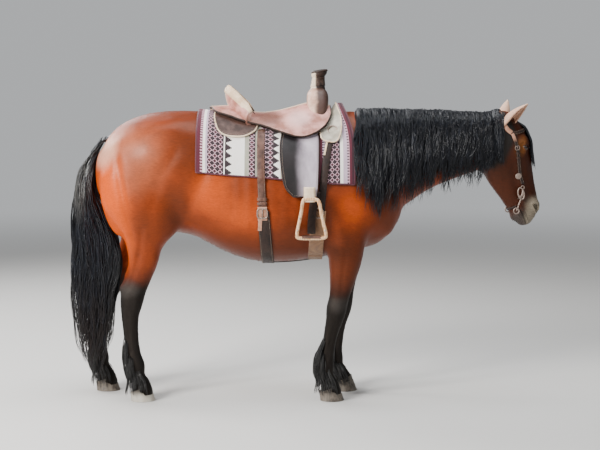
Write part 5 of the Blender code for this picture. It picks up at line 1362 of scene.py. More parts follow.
def addClump(
    gathered, draw, path, outs, halfWidth, strands, thick, steps,
    kink=0.006, gather=0.55, bulge=0.006, curl=10.0,
):  # a lock of many strands that part a little in its middle and meet at its tip
    path, outs = smoothPath(path, steps), smoothPath(outs, steps)
    outs /= np.linalg.norm(outs, axis=1)[:, None]
    axis = np.gradient(path, axis=0)
    axis /= np.linalg.norm(axis, axis=1)[:, None]
    side = np.cross(axis, outs)
    side /= np.linalg.norm(side, axis=1)[:, None]
    t = np.linspace(0, 1, steps)
    opening = 0.55 + 0.45 * np.minimum(1, t / 0.3)
    closing = 1 - gather * np.clip((t - 0.35) / 0.65, 0, 1) ** 1.3
    spread = halfWidth * opening * closing
    phase = draw.uniform(0, 2 * math.pi)
    for _ in range(strands):
        a = draw.uniform(-1, 1)
        lift = (1 - a * a) * bulge * draw.uniform(0.2, 1.0)
        own = draw.uniform(-0.7, 0.7)
        wave = kink * draw.uniform(0.5, 1.3) * np.sin(phase + own + (curl + 3 * own) * t)
        stop = draw.uniform(0.80, 1.04)
        across = side * (spread * a + wave * (0.2 + t))[:, None]
        places = path + across + outs * (lift + 0.25 * np.abs(wave))[:, None]
        if stop < 1:
            places = cutShort(places, stop)
        size = thick * draw.uniform(0.7, 1.25)
        widths = size * (0.6 + 0.4 * np.minimum(1, t / 0.15)) * (1 - 0.72 * t**1.8)
        addStrand(gathered, places, outs, widths, path[0])


def cutShort(places, stop):  # the same path, ended before its tip
    t = np.linspace(0, stop, len(places))
    whole = np.linspace(0, 1, len(places))
    return np.stack([np.interp(t, whole, places[:, axis]) for axis in range(3)], 1)


# How far the mane falls below the crest, by the place of its root
maneFall = (
    (0.26, 0.40), (0.32, 0.50), (0.40, 0.54), (0.48, 0.53), (0.53, 0.47), (0.66, 0.42), (0.84, 0.37),
    (0.95, 0.35), (1.06, 0.33),
)
maneSteps = (0.06, 0.2, 0.4, 0.6, 0.8, 1.0)  # shares of a lock's length, at which it is laid on the neck
# Tiers of the mane: locks, height off the neck, y of the roots, half width, strands, how long
maneShape = {
    "start": 0.275, "end": 0.975, "short": 170,
    "tiers": (
        (20, 0.006, -0.012, 0.040, 18, 1.00),
        (30, 0.016, 0.000, 0.027, 15, 1.02),
        (36, 0.026, 0.012, 0.020, 13, 0.97),
    ),
}


def maneX(place, count):  # x of a root, from its place among all that stand along the crest
    return maneShape["start"] + (maneShape["end"] - maneShape["start"]) * place / count


def swayed(lean, length, wave, phase):  # how far a lock drifts forward, by the share of its length
    return [(t, lean * length * t + wave * math.sin(phase + 6 * t)) for t in maneSteps]


def maneLine(tree, x, rootY, length, lift, sways):  # over the crest at x and down the right side
    crest = tree.ray_cast(Vector((x, 0.0, 2.0)), Vector((0, 0, -1)))[0]
    path = [
        crest + Vector((0, rootY + 0.006, -0.014)),
        crest + Vector((0, rootY - 0.004, 0.45 * lift + 0.006)),
    ]
    outs = [Vector((0, 0.5, 0.85)), Vector((0, -0.1, 1.0))]
    for t, sway in sways:
        drop = 0.012 + (length - 0.012) * t
        guide = Vector((crest.x + sway, -(0.05 + 0.55 * drop), crest.z - drop))
        hit, normal = tree.find_nearest(guide)[:2]
        for _ in range(3):
            guide.y = hit.y
            hit, normal = tree.find_nearest(guide)[:2]
        path.append(Vector((guide.x, hit.y + normal.y * lift, guide.z + max(0, normal.z) * lift)))
        outs.append(Vector((normal.x * 0.5, normal.y, normal.z)).normalized())
    return path, outs


def makeMane(tree):
    draw = random.Random(7)
    mane = newHair()
    for tier, (count, lift, rootY, half, strands, share) in enumerate(maneShape["tiers"]):
        for i in range(count):
            x = maneX(i + draw.uniform(0.3, 0.7), count)
            length = along(maneFall, x) * draw.uniform(0.86, 1.09) * share
            lean = draw.uniform(-0.10, 0.03)
            phase, wave = draw.uniform(0, 6.3), draw.uniform(0.006, 0.014)
            sways = swayed(lean, length, wave, phase)
            path, outs = maneLine(tree, x, rootY, length, lift * draw.uniform(0.85, 1.1), sways)
            thick, curl = 0.0030 - 0.0004 * tier, draw.uniform(20, 32)
            addClump(mane, draw, path, outs, half, strands, thick, 24, 0.0085, 0.66, 0.007, curl)
    # short hairs along the crest
    for i in range(maneShape["short"]):
        x = maneX(i + draw.random(), maneShape["short"])
        sways = [(t, draw.uniform(-0.01, 0.01) * t) for t in (0.3, 0.7, 1.0)]
        path, outs = maneLine(tree, x, draw.uniform(-0.01, 0.016), draw.uniform(0.05, 0.16), 0.035, sways)
        addClump(mane, draw, path, outs, 0.008, 3, 0.0020, 7, 0.002, 0.3, 0.002)
    return meshOf(mane)


def makePollHair(tree):  # the mane's last locks, behind the ears and over the cheek
    draw = random.Random(5)
    gathered = newHair()
    for i in range(20):
        x = 0.945 + 0.080 * (i + draw.random()) / 20
        length = along(maneFall, x) * draw.uniform(0.70, 0.94)
        lean = draw.uniform(-0.03, 0.07)
        sways = swayed(lean, length, 0.006, i)
        path, outs = maneLine(tree, x, draw.uniform(-0.012, 0.008), length, draw.uniform(0.003, 0.010), sways)
        addClump(gathered, draw, path, outs, 0.019, 15, 0.0027, 18, 0.006, 0.6, 0.004, draw.uniform(15, 24))
    return meshOf(gathered)


def makeForelock(tree):
    draw = random.Random(3)
    gathered = newHair()
    count = 30
    for i in range(count):
        f = (i + draw.uniform(0.2, 0.8)) / count
        rootLeft, endLeft = -0.040 + 0.080 * f, -0.078 + 0.124 * f
        length = (0.20 + 0.08 * math.sin(math.pi * (0.2 + 0.6 * f))) * draw.uniform(0.80, 1.10)
        level = draw.uniform(0.003, 0.014)
        path, outs = [onHead(-0.004, 0.004, rootLeft)], [headFront]
        for k in range(1, 7):
            t = k / 6
            left = rootLeft + (endLeft - rootLeft) * t**1.3 + 0.004 * math.sin(5 * t + i)
            hit, normal = tree.find_nearest(onHead(0.010 + length * t, 0.10, left * 1.15))[:2]
            path.append(hit + normal * level * (1 if k > 1 else 0.8))
            outs.append(normal)
        addClump(gathered, draw, path, outs, 0.012, 15, 0.0023, 12, 0.0035, 0.55, 0.004)
    return meshOf(gathered)


tailY, tailDrift, dockBend = -0.010, 0.026, 1.25
# The dock and its core of hair: x, z, half depth, half width
dockRows = (
    (-1.030, 1.395, 0.028, 0.030),
    (-1.085, 1.385, 0.032, 0.034),
    (-1.135, 1.320, 0.033, 0.035),
    (-1.175, 1.220, 0.037, 0.037),
    (-1.190, 1.100, 0.045, 0.038),
    (-1.168, 0.950, 0.055, 0.036),
    (-1.148, 0.800, 0.038, 0.024),
)
# The tail's outline behind and in front, as z and x, and its half width by height
tailBack = (
    (0.10, -1.140), (0.19, -1.229), (0.27, -1.250), (0.43, -1.261), (0.59, -1.270), (0.91, -1.261),
    (1.07, -1.245), (1.18, -1.229), (1.28, -1.190), (1.37, -1.120), (1.42, -1.080),
)
tailFront = (
    (0.10, -1.120), (0.22, -1.073), (0.27, -1.045), (0.49, -1.024), (0.70, -0.998), (0.85, -1.010),
    (0.97, -1.073), (1.09, -1.120), (1.23, -1.125), (1.42, -1.050),
)
tailWidth = ((0.10, 0.020), (0.25, 0.056), (0.5, 0.070), (0.9, 0.072), (1.2, 0.060), (1.42, 0.045))
# Tiers: locks, share of the half width they lie at, roots down the dock, lowest and highest tip
tailTiers = (
    (14, 0.45, (1.10, 0.98, 1.04), (0.14, 0.40)),
    (24, 0.74, (1.28, 1.10, 1.20, 1.02), (0.11, 0.42)),
    (34, 0.96, (1.385, 1.22, 1.32, 1.12), (0.10, 0.44)),
)


def tailCentre(z):  # middle of the hanging tail in x and y, its half depth and its half width
    back, front = along(tailBack, z), along(tailFront, z)
    y = tailY - tailDrift * (1 - z / tailBack[-1][0])
    return (back + front) / 2, y, (front - back) / 2, along(tailWidth, z)


def tailCore():
    rings = []
    for x, z, depth, half in curveThrough(dockRows, 14):
        up = Vector((0.75, 0, 0.66)) if z > dockBend else unitX
        rings.append(oval(Vector((x, tailCentre(z)[1], z)), unitY, up, half, depth, depth, 16))
    return loft(rings, 0.012, 0.03)


def evenAngles(count, shift, depth, half):  # angles at even steps round an oval
    turns = np.linspace(0, 2 * math.pi, 181)
    steps = np.hypot(depth * np.sin(turns), half * np.cos(turns))
    run = np.concatenate([[0], np.cumsum((steps[1:] + steps[:-1]) / 2)])
    return np.interp((np.arange(count) + shift) / count * run[-1], run, turns)


def makeTail():
    draw = random.Random(11)
    gathered = newHair()
    dock = np.array(dockRows)[::-1]
    for tier, (count, spread, tops, ends) in enumerate(tailTiers):
        for i, angle in enumerate(evenAngles(count, 0.5 * tier, 0.12, 0.07)):
            start = tops[i % len(tops)] - (0.05 if math.cos(angle) > 0.3 else 0.0) - draw.uniform(0, 0.03)
            end = draw.uniform(*ends)
            twist, phase = draw.uniform(-0.12, 0.12), draw.uniform(0, 6.3)
            path, outs = [], []
            for k in range(10):
                t = k / 9
                z = start + (end - start) * t
                x, y, depth, half = tailCentre(z)
                reach = spread * min(1.0, 0.45 + 3.0 * t) * (1 - 0.2 * t**3)
                turn = angle + twist * t
                c, s = math.cos(turn), math.sin(turn)
                sway = 0.009 * math.sin(phase + 9 * t)
                path.append(Vector((x + reach * depth * c + sway, y + reach * half * s, z)))
                outs.append(Vector((c / max(depth, 0.03), s / max(half, 0.03), 0)).normalized())
            root = Vector((float(np.interp(start, dock[:, 1], dock[:, 0])), tailY, start))
            path[0] = root.lerp(path[0], 0.35)
            wide, curl = draw.uniform(0.017, 0.023), draw.uniform(26, 40)
            addClump(gathered, draw, path, outs, wide, 15, 0.0030, 28, 0.0085, 0.5, 0.008, curl)
    # short hairs over the top of the dock
    for i in range(60):
        start = 1.405 - 0.20 * (i / 60) - draw.uniform(0, 0.02)
        side = draw.uniform(-1, 1)
        x = float(np.interp(start, dock[:, 1], dock[:, 0]))
        path = []
        for k in range(5):
            t = k / 4
            z = start - 0.22 * t
            middle, _, depth, _ = tailCentre(z)
            back = x + (middle - depth * 0.96 - x) * min(1, 0.35 + t)
            path.append(Vector((back, tailY + side * (0.030 + 0.025 * t), z + 0.015 * (1 - t))))
        outs = [Vector((-0.8, side * 0.6, 0.3)).normalized()] * 5
        addClump(gathered, draw, path, outs, 0.010, 5, 0.0021, 8, 0.002, 0.3, 0.003)
    return meshOf(gathered)


hooves = {
    "fore_leg_right": (0.134, -0.135),
    "fore_leg_left": (0.214, 0.135),
    "hind_leg_right": (-0.874, -0.140),
    "hind_leg_left": (-1.099, 0.140),
}
# Rows of a feather's locks: how many, top, bottom, degrees to each side of the rear
featherShape = {
    "rows": ((8, 0.330, 0.170, 55), (12, 0.270, 0.085, 80), (18, 0.190, 0.020, 112)),
    "reach": 0.079,
}


def legX(name, z):  # the middle of a lower leg at height z
    rows, steps = (foreRows, foreStep) if name.startswith("fore") else (hindRows, hindStep)
    rows = np.array(rows)[::-1]
    shift = along(steps, z) if name.endswith("left") else 0.0
    return float(np.interp(z, rows[:, 1], rows[:, 0]) + shift)


def makeFeather(name, tree):
    hoofX, y = hooves[name]
    draw = random.Random(int(1000 * (hoofX + 2)))
    gathered = newHair()
    for count, top, bottom, spread in featherShape["rows"]:
        for i in range(count):
            angle = math.radians(180 + spread * (2 * i / (count - 1) - 1) + draw.uniform(-4, 4))
            away = Vector((math.cos(angle), math.sin(angle), 0))
            behind = max(0.0, -away.x)
            start = top - 0.030 * (1 - behind) + draw.uniform(-0.020, 0.020)
            end = bottom + 0.010 * (1 - behind) + draw.uniform(0, 0.020)
            path = []
            for k in range(7):
                t = k / 6
                z = start + (end - start) * t
                hit = tree.find_nearest(Vector((legX(name, z), y, z)) + away * 0.09)[0]
                lift = -0.004 + 0.017 * min(1, 2.5 * t) * draw.uniform(0.8, 1.2)
                p = Vector((hit.x, hit.y, z)) + away * lift
                fromHoof = p - Vector((hoofX - 0.012, y, z))
                if z < 0.10 and fromHoof.length < featherShape["reach"]:
                    p += away * (featherShape["reach"] - fromHoof.length) * min(1, (0.10 - z) / 0.03)
                path.append(p)
            addClump(gathered, draw, path, [away] * 7, 0.011, 10, 0.0021, 9, 0.003, 0.5, 0.003)
    return meshOf(gathered)


# Short tufts of the coat, over all of the skin
tuftShape = {"count": 20000, "length": 0.0120, "width": 0.0012}


def coatFlow(co):  # the way the hair lies: back and down the body, down the legs, down the face
    flow = np.zeros_like(co)
    flow[:, 0], flow[:, 2] = -0.8, -0.55
    legs = 1 - stepUp(co[:, 2], 0.75, 1.0)
    flow[:, 0] += 0.72 * legs
    flow[:, 2] -= 0.45 * legs
    face = (stepUp(headLocal(co)[:, 0], 0.0, 0.1) * stepUp(co[:, 0], 0.95, 1.0))[:, None]
    down = np.array(headAxis) * 0.9 - np.array(headFront) * 0.35
    return flow * (1 - face) + down[None, :] * face


def makeTufts(mesh):
    generator, count = np.random.default_rng(5), tuftShape["count"]
    mesh.calc_loop_triangles()
    corners = np.array([t.vertices for t in mesh.loop_triangles])
    co, normals = coordinates(mesh), normalsOf(mesh)
    a, b, c = (co[corners[:, k]] for k in range(3))
    middles = (a + b + c) / 3
    area = np.linalg.norm(np.cross(b - a, c - a), axis=1) * tuftKeep(middles)
    chosen = generator.choice(len(area), count, p=area / area.sum())
    u, v = generator.random(count), generator.random(count)
    over = u + v > 1
    u[over], v[over] = 1 - u[over], 1 - v[over]
    weights = np.stack([1 - u - v, u, v], 1)
    corner = corners[chosen]
    roots = (co[corner] * weights[:, :, None]).sum(1)
    normal = (normals[corner] * weights[:, :, None]).sum(1)
    normal /= np.linalg.norm(normal, axis=1)[:, None]
    flow = coatFlow(roots) + generator.normal(0, 0.10, (count, 3))
    flow -= normal * (flow * normal).sum(1)[:, None]
    flow /= np.linalg.norm(flow, axis=1)[:, None]
    side = np.cross(flow, normal)
    size, lift = tuftGrow(roots)
    size = size * generator.uniform(0.7, 1.3, count)
    lift = lift * generator.uniform(0.6, 1.4, count)
    wide = tuftShape["width"] * generator.uniform(0.7, 1.3, count) * np.clip(size / 0.012, 0.6, 1.3)
    start = roots - normal * 0.0010
    middle = roots + flow * (size * 0.5)[:, None] + normal * (lift * 0.35)[:, None]
    tip = roots + flow * size[:, None] + normal * lift[:, None]
    low, high = side * wide[:, None], side * (wide * 0.8)[:, None]
    points = np.stack([
        start + low, start + normal * 0.0006, start - low,
        middle + high, middle + normal * 0.0005, middle - high, tip], 1)
    pattern = np.array([
        (0, 1, 4), (0, 4, 3), (1, 2, 5), (1, 5, 4), (2, 0, 3), (2, 3, 5), (3, 4, 6), (4, 5, 6), (5, 3, 6)])
    base = np.arange(count)[:, None, None] * 7
    faces = (pattern[None, :, :] + base).reshape(-1, 3)
    place = skinPlace(roots, roots[:, 1] > 0)
    patch = np.array([(0, 0), (0.5, 0), (1, 0), (0, 0.5), (0.5, 0.5), (1, 0.5), (0.5, 1)]) * patchSize
    uv = (place[:, None, :] + patch[None, :, :])[:, pattern, :].reshape(-1, 2)
    tufts = meshOf({"points": [points.reshape(-1, 3)], "faces": [faces], "corners": [uv], "count": 0})
    tufts.shade_smooth()
    # lit as the skin under them is
    tufts.normals_split_custom_set_from_vertices(np.repeat(normal, 7, axis=0))
    return tufts


# Ears, eyes and hooves
earShape = {
    "base": {-1: (0.028, -0.030, 0.054), 1: (0.026, -0.012, 0.052)},
    "lean": {-1: (0.86, 0.43, 0.37), 1: (0.60, 0.70, 0.40)},
    "length": {-1: 0.160, 1: 0.142}, "thick": 0.0042,
    # t, radius, opening in degrees
    "stations": (
        (-0.10, 0.025, 90), (0.10, 0.0310, 100), (0.32, 0.0345, 122), (0.58, 0.0280, 145),
        (0.82, 0.0155, 155), (0.95, 0.0068, 158), (1.0, 0.0030, 160),
    ),
}


def earFrame(side):
    lean = earShape["lean"][side]
    up = (headFront * lean[0] - headAxis * lean[1] + headLeft * side * lean[2]).normalized()
    facing = headFront * 0.55 + headLeft * side * 0.75 + headAxis * 0.35
    facing = (facing - up * facing.dot(up)).normalized()
    return up, facing, up.cross(facing)


def makeEar(side):
    up, facing, across = earFrame(side)
    s, front, left = earShape["base"][side]
    base = onHead(s, front, side * left)
    rings = []
    for t, radius, openAngle in curveThrough(earShape["stations"], 26):
        middle = base + up * earShape["length"][side] * t - facing * (0.012 * t + 0.004 * t * t)
        half = math.radians(180 - openAngle / 2)
        ring = []
        for k in range(15):
            a = -half + 2 * half * k / 14
            flare = 1 + 0.10 * (abs(k - 7) / 7) ** 4
            ring.append(middle - facing * radius * math.cos(a) * flare + across * radius * math.sin(a))
        inner = max(radius - earShape["thick"], radius * 0.45)
        for k in range(14, -1, -1):
            a = (-half + 2 * half * k / 14) * 0.975
            ring.append(middle - facing * inner * math.cos(a) + across * inner * math.sin(a))
        rings.append(ring)
    return loft(rings)


def makeEarHair(side):  # hair inside the cup and along its edges
    draw = random.Random(20 + side)
    up, facing, across = earFrame(side)
    s, front, left = earShape["base"][side]
    base = onHead(s, front, side * left)
    gathered = newHair()
    widths = np.array([1.0, 0.9, 0.6, 0.2]) * 0.0008
    for _ in range(150):
        t = draw.uniform(0.10, 0.80)
        radius = along(earShape["stations"], t)
        a = draw.uniform(-2.1, 2.1)
        middle = base + up * earShape["length"][side] * t - facing * 0.012 * t
        root = middle - facing * (radius * 0.80) * math.cos(a) + across * (radius * 0.80) * math.sin(a)
        aim = (facing * 0.55 + up * 0.75 - across * math.sin(a) * 0.5).normalized()
        long = draw.uniform(0.012, 0.026) * (1.2 - 0.6 * t)
        path = [root, root + aim * long * 0.5 + up * 0.002, root + aim * long + up * 0.006]
        addStrand(gathered, smoothPath(path, 4), [tuple(facing)] * 4, widths, root)
    return meshOf(gathered)


def makeEye(side):  # an eyeball with the clear front a little raised
    b = bmesh.new()
    bmesh.ops.create_uvsphere(b, u_segments=48, v_segments=32, radius=1.0)
    for v in b.verts:
        out = v.co.z
        v.co = v.co * eyeShape["radius"] * (1.0 + 0.030 * stepUp(out, 0.80, 0.97))
    outward = headLeft * side
    turn = Matrix((headAxis, headFront * -side, outward)).transposed()
    bmesh.ops.transform(b, matrix=Matrix.Translation(eyeCentre(side)) @ turn.to_4x4(), verts=b.verts)
    mesh = bpy.data.meshes.new("eyeball")
    b.to_mesh(mesh)
    b.free()
    return facedOut(mesh)


def makeLashes(side):
    draw = random.Random(40 + side)
    gathered = newHair()
    c, s = math.cos(eyeShape["tilt"]), math.sin(eyeShape["tilt"])
    widths = np.array([1.0, 0.8, 0.5, 0.2]) * 0.0006
    for i in range(54):
        a = -0.017 + 0.034 * (i + draw.random()) / 54
        bow = (1 - (a / eyeShape["length"]) ** 2) ** 0.62
        up = eyeShape["above"] * bow + 0.0016
        high = math.sqrt(max(0.0, (eyeShape["radius"] + 0.0030) ** 2 - a * a - up * up))
        root = eyeCentre(side) + headAxis * (a * c - up * s) + headFront * (a * s + up * c)
        root += headLeft * side * high
        aim = (headLeft * side * 0.9 + headFront * 0.1 + headAxis * draw.uniform(-0.1, 0.35)).normalized()
        long = draw.uniform(0.010, 0.016)
        path = [root, root + aim * long * 0.5, root + aim * long - headFront * 0.004]
        addStrand(gathered, smoothPath(path, 4), [tuple(headFront)] * 4, widths, root)
    return meshOf(gathered)


def coronetZ(hoofX, x):
    return 0.066 + (x - (hoofX - 0.018)) * 0.40


def makeHoof(hoofX, y):  # horn with growth rings, a rounded toe and open heels
    halfLong, halfWide = 0.067, 0.062
    rings, count = [], 56
    for t in (0.0, 0.02, 0.06, 0.14, 0.24, 0.34, 0.44, 0.54, 0.64, 0.74, 0.84, 0.93, 1.0):
        middleX = hoofX - 0.018 * t
        ridge = 0.0006 * math.sin(t * 40) - (0.0022 if t == 0 else 0.0) + (0.0018 if t > 0.9 else 0.0)
        rX = halfLong + (0.052 - halfLong) * t + ridge
        rY = halfWide + (0.050 - halfWide) * t + ridge
        ring = []
        for k in range(count):
            angle = 2 * math.pi * k / count
            c, s = math.cos(angle), math.sin(angle)
            notch = 1 - 0.14 * math.exp(-(((angle - math.pi) / 0.16) ** 2))
            x = middleX + rX * c * (0.94 if c < 0 else 1.0) * notch
            ring.append(Vector((x, y + rY * s, t * (coronetZ(hoofX, x) - 0.0004))))
        rings.append(ring)
    return loft(rings)


flesh = ("torso", "neck", "head", "fore_leg_right", "fore_leg_left", "hind_leg_right", "hind_leg_left")


skinMesh = makeSkin()
skinTree = treeOf(skinMesh)
setCoordinates(skinMesh, coordinates(skinMesh) - normalsOf(skinMesh) * skinShape["depth"])
unwrap(skinMesh)
addPiece("horse", skinMesh, coat, flesh)
print("skin made,", len(skinMesh.polygons), "faces")


def tuftKeep(middles):  # none on the eyes, the nostrils, the soles or below the hooves' tops
    keep = (middles[:, 2] > 0.055).astype(float)
    for side in (-1, 1):
        keep *= distances(middles, eyeCentre(side)) > 0.030
        keep *= distances(middles, nostrilCentre(side)) > 0.024
    return keep


def tuftGrow(roots):  # length and lift: longest on the belly's middle, and long under the jaw and on the legs
    s, front = headLocal(roots)[:, :2].T
    onFace = (s > 0) & (roots[:, 0] > 0.97)
    length = np.full(len(roots), tuftShape["length"])
    lift = np.full(len(roots), 0.0005)
    length[onFace] = 0.0070
    lift[onFace] = 0.0004
    jaw = onFace & (front < -0.10)
    length[jaw], lift[jaw] = 0.012, 0.0030
    chin = onFace & (s > 0.46) & (front < -0.05)
    length[chin], lift[chin] = 0.010, 0.0040
    belly = (np.abs(roots[:, 1]) < 0.14) & (roots[:, 2] < 0.86) & (np.abs(roots[:, 0] + 0.2) < 0.5)
    length[belly], lift[belly] = 0.016, 0.0040
    lowLegs = roots[:, 2] < 0.62
    length[lowLegs], lift[lowLegs] = 0.011, 0.0022
    return length, lift


addPiece("coatTufts", makeTufts(skinMesh), coatTuft, ())
print("tufts made")
mane = addPiece("mane", makeMane(skinTree), hair, ())
pollHair = addPiece("pollHair", makePollHair(skinTree), hair, ())
forelock = addPiece("forelock", makeForelock(skinTree), hair, ())
print("mane made,", len(mane.data.polygons), len(pollHair.data.polygons), len(forelock.data.polygons))
tailMass = tailCore()
unwrap(tailMass)
addPiece("tailCore", tailMass, hair, ())
tailHair = addPiece("tailHair", makeTail(), hair, "tail")
print("tail made,", len(tailHair.data.polygons))
for name, (hoofX, y) in hooves.items():
    addPiece("feather_" + name, makeFeather(name, skinTree), featherHair, ())
    hoofName = name.replace("leg", "hoof")
    addPiece(hoofName + "_horn", makeHoof(hoofX, y), hoofHorn, hoofName, crease=40)
for side, word in sides:
    addPair(word, "earCup", makeEar(side), earCoat, "ear")
    addPair(word, "earHair", makeEarHair(side), earCoat, ())
    look = eyeMaterial("eyeLook_" + word, eyeCentre(side), headLeft * side)
    addPair(word, "eyeball", makeEye(side), look, "eye")
    addPair(word, "lashes", makeLashes(side), hair, ())
print("ears, eyes and hooves made")


# The saddle, in layers over the back
backCentre = 1.18  # height that the layers are laid out from
layers = {
    "blanket": {
        "edge": ((-0.571, 1.225), (-0.45, 1.213), (-0.20, 1.195), (0.05, 1.170), (0.249, 1.158)),
        "low": 0.0035, "high": 0.0125, "flat": (0.95, 0.835),
    },
    "skirt": {
        "edge": (
            (-0.484, 1.500), (-0.462, 1.435), (-0.415, 1.406), (-0.330, 1.403), (-0.270, 1.430),
            (-0.230, 1.466), (0.045, 1.462), (0.075, 1.390), (0.120, 1.374), (0.170, 1.385), (0.207, 1.500),
        ),
        "low": 0.0150, "high": 0.0210,
    },
    "seat": {
        "edge": (
            (-0.512, 1.556), (-0.476, 1.516), (-0.400, 1.488), (-0.330, 1.466), (-0.232, 1.446),
            (-0.139, 1.415), (-0.035, 1.389), (0.043, 1.404), (0.100, 1.440), (0.130, 1.490),
        ),
        "high": 0.038,
        "top": (
            (-0.512, 1.566), (-0.42, 1.571), (-0.34, 1.558), (-0.26, 1.536), (-0.15, 1.546), (-0.01, 1.583),
            (0.05, 1.590), (0.130, 1.570),
        ),
    },
}


def smoothTable(table):
    return [tuple(row) for row in curveThrough(table, 60)]


def backHit(tree, x, angle):
    out = Vector((0, math.sin(angle), math.cos(angle)))
    return tree.ray_cast(Vector((x, 0, backCentre)), out)[0], out


def backGrid(tree, rows, columns, edge, smoothing):  # how far the skin is from the centre line, under a layer
    xs = np.linspace(edge[0][0], edge[-1][0], rows)
    edge = smoothTable(edge)
    radius, angles = np.zeros((rows, columns)), np.zeros((rows, columns))
    for i, x in enumerate(xs):
        wanted, low, high = along(edge, x), 0.1, 1.9
        for _ in range(18):
            middle = (low + high) / 2
            hit, out = backHit(tree, x, middle)
            low, high = (middle, high) if hit.z + out.z * 0.012 > wanted else (low, middle)
        angles[i] = np.linspace(-low, low, columns)
        for k in range(columns):
            hit, _ = backHit(tree, x, angles[i, k])
            radius[i, k] = (hit - Vector((x, 0, backCentre))).length
    bare = radius.copy()
    for _ in range(smoothing):
        wide = np.pad(radius, 1, mode="edge")
        soft = (wide[:-2, 1:-1] + wide[2:, 1:-1] + wide[1:-1, :-2] + wide[1:-1, 2:]) / 4
        radius = np.maximum(bare, (radius + soft) / 2)
    return xs, angles, radius


def backSurface(grid, lift):
    xs, angles, radius = grid
    surface = []
    for x, row, line in zip(xs, angles, radius + lift):
        # over the withers the layers are pulled back and up, under the fork
        front = float(stepUp(x, 0.10, 0.245))
        surface.append([])
        for a, r in zip(row, line):
            near = front * math.exp(-((a / 0.42) ** 2))
            place = (x - 0.062 * near, math.sin(a) * r, backCentre + math.cos(a) * r + 0.033 * near)
            surface[-1].append(Vector(place))
    return surface


def edgeRoll(grid, lift, section):  # a binding round a layer's edge
    points = backSurface(grid, lift)
    rows, columns = len(points), len(points[0])
    flat = [p for row in points for p in row]
    turned = [Vector((0, math.sin(a), math.cos(a))) for row in grid[1] for a in row]
    border = borderOf(rows, columns)
    return sweep([flat[i] for i in border], [turned[i] for i in border], section, closed=True)


def addStitches(gathered, path, outs, spacing=0.0055, size=0.0008):
    path = np.asarray(path, float)
    run = runOf(path)
    outs = np.asarray(outs, float)
    widths = np.array([0.7, 1.0, 1.0, 0.5]) * size
    for start in np.arange(spacing, run[-1] - spacing, spacing):
        reach = start + np.array([0.0, 0.33, 0.66, 1.0]) * spacing * 0.74
        places = np.stack([np.interp(reach, run, path[:, axis]) for axis in range(3)], 1)
        out = np.array([np.interp(start, run, outs[:, axis]) for axis in range(3)])
        places += out[None, :] * (size * np.array([-0.2, 0.6, 0.6, -0.2]))[:, None]
        addStrand(gathered, places, np.repeat(out[None, :], 4, 0), widths, places[0])


def insetLine(grid, lift, inset):  # a line that runs inside a layer's edge
    xs, angles, radius = grid
    rows, columns = radius.shape
    points, outs = [], []

    def add(i, f):
        a = float(np.interp(f, np.arange(columns), angles[i]))
        r = float(np.interp(f, np.arange(columns), radius[i])) + lift
        points.append(Vector((xs[i], math.sin(a) * r, backCentre + math.cos(a) * r)))
        outs.append(Vector((0, math.sin(a), math.cos(a))))

    stepX = (xs[-1] - xs[0]) / (rows - 1)
    first = max(1, round(inset / stepX))
    for side in (0, 1):
        for i in range(first, rows - first):
            stepA = (angles[i, 1] - angles[i, 0]) * radius[i, 0]
            add(i, inset / stepA if side == 0 else columns - 1 - inset / stepA)
        if side == 0:
            count = len(points)
    return (points[:count], outs[:count]), (points[count:], outs[count:])


def latticeGroup():  # rows of diamonds, each with a pale edge
    tree, given, made = newGroup(
        "diamonds",
        (("U", "value", 0.0), ("V", "value", 0.0), ("Wide", "value", 0.02), ("Tall", "value", 0.02)),
        (("Edge", "value"), ("Core", "value")))
    parts = []
    for place, size in (("U", "Wide"), ("V", "Tall")):
        share = sums(tree, "FRACT", sums(tree, "DIVIDE", given[place], given[size]))
        parts.append(sums(tree, "ABSOLUTE", sums(tree, "SUBTRACT", share, 0.5)))
    far = sums(tree, "ADD", *parts)
    edge = sums(tree, "ABSOLUTE", sums(tree, "SUBTRACT", far, 0.42))
    tree.links.new(sums(tree, "LESS_THAN", edge, 0.075), made["Edge"])
    tree.links.new(sums(tree, "LESS_THAN", far, 0.16), made["Core"])
    return tree


diamonds = latticeGroup()
# the last band, at the front edge, is the maroon darkened as painted shade
wool = {
    "white": (0.97, 0.92, 0.86), "pink": (0.66, 0.40, 0.47), "dark": (0.018, 0.0065, 0.010),
    "maroon": (0.090, 0.0045, 0.019), "maroonInShade": (0.034, 0.0022, 0.010), "grey": (0.36, 0.34, 0.27),
    "lilac": (0.56, 0.42, 0.52),
}
# Bands of the weave from the rear edge forward: where each starts, and its ground colour
woolBands = (
    (0.000, "maroon"), (0.018, "pink"), (0.032, "white"), (0.044, "lilac"), (0.054, "dark"), (0.138, "white"),
    (0.147, "dark"), (0.153, "white"), (0.249, "grey"), (0.270, "dark"), (0.303, "grey"), (0.333, "dark"),
    (0.398, "white"), (0.436, "grey"), (0.470, "dark"), (0.500, "white"), (0.600, "dark"), (0.608, "white"),
    (0.618, "maroon"), (0.650, "lilac"), (0.664, "dark"), (0.742, "white"), (0.760, "lilac"), (0.782, "pink"),
    (0.792, "maroon"), (0.806, "maroonInShade"),
)
latticeBands = ((0.054, 0.138, 0.028, 0.026), (0.270, 0.303, 0.033, 0.024), (0.333, 0.398, 0.0325, 0.026),
                (0.470, 0.500, 0.030, 0.024), (0.664, 0.742, 0.026, 0.026))
toothBands = ((0.153, 0.190, 1, 0.043), (0.400, 0.434, 1, 0.043), (0.565, 0.600, -1, 0.043))


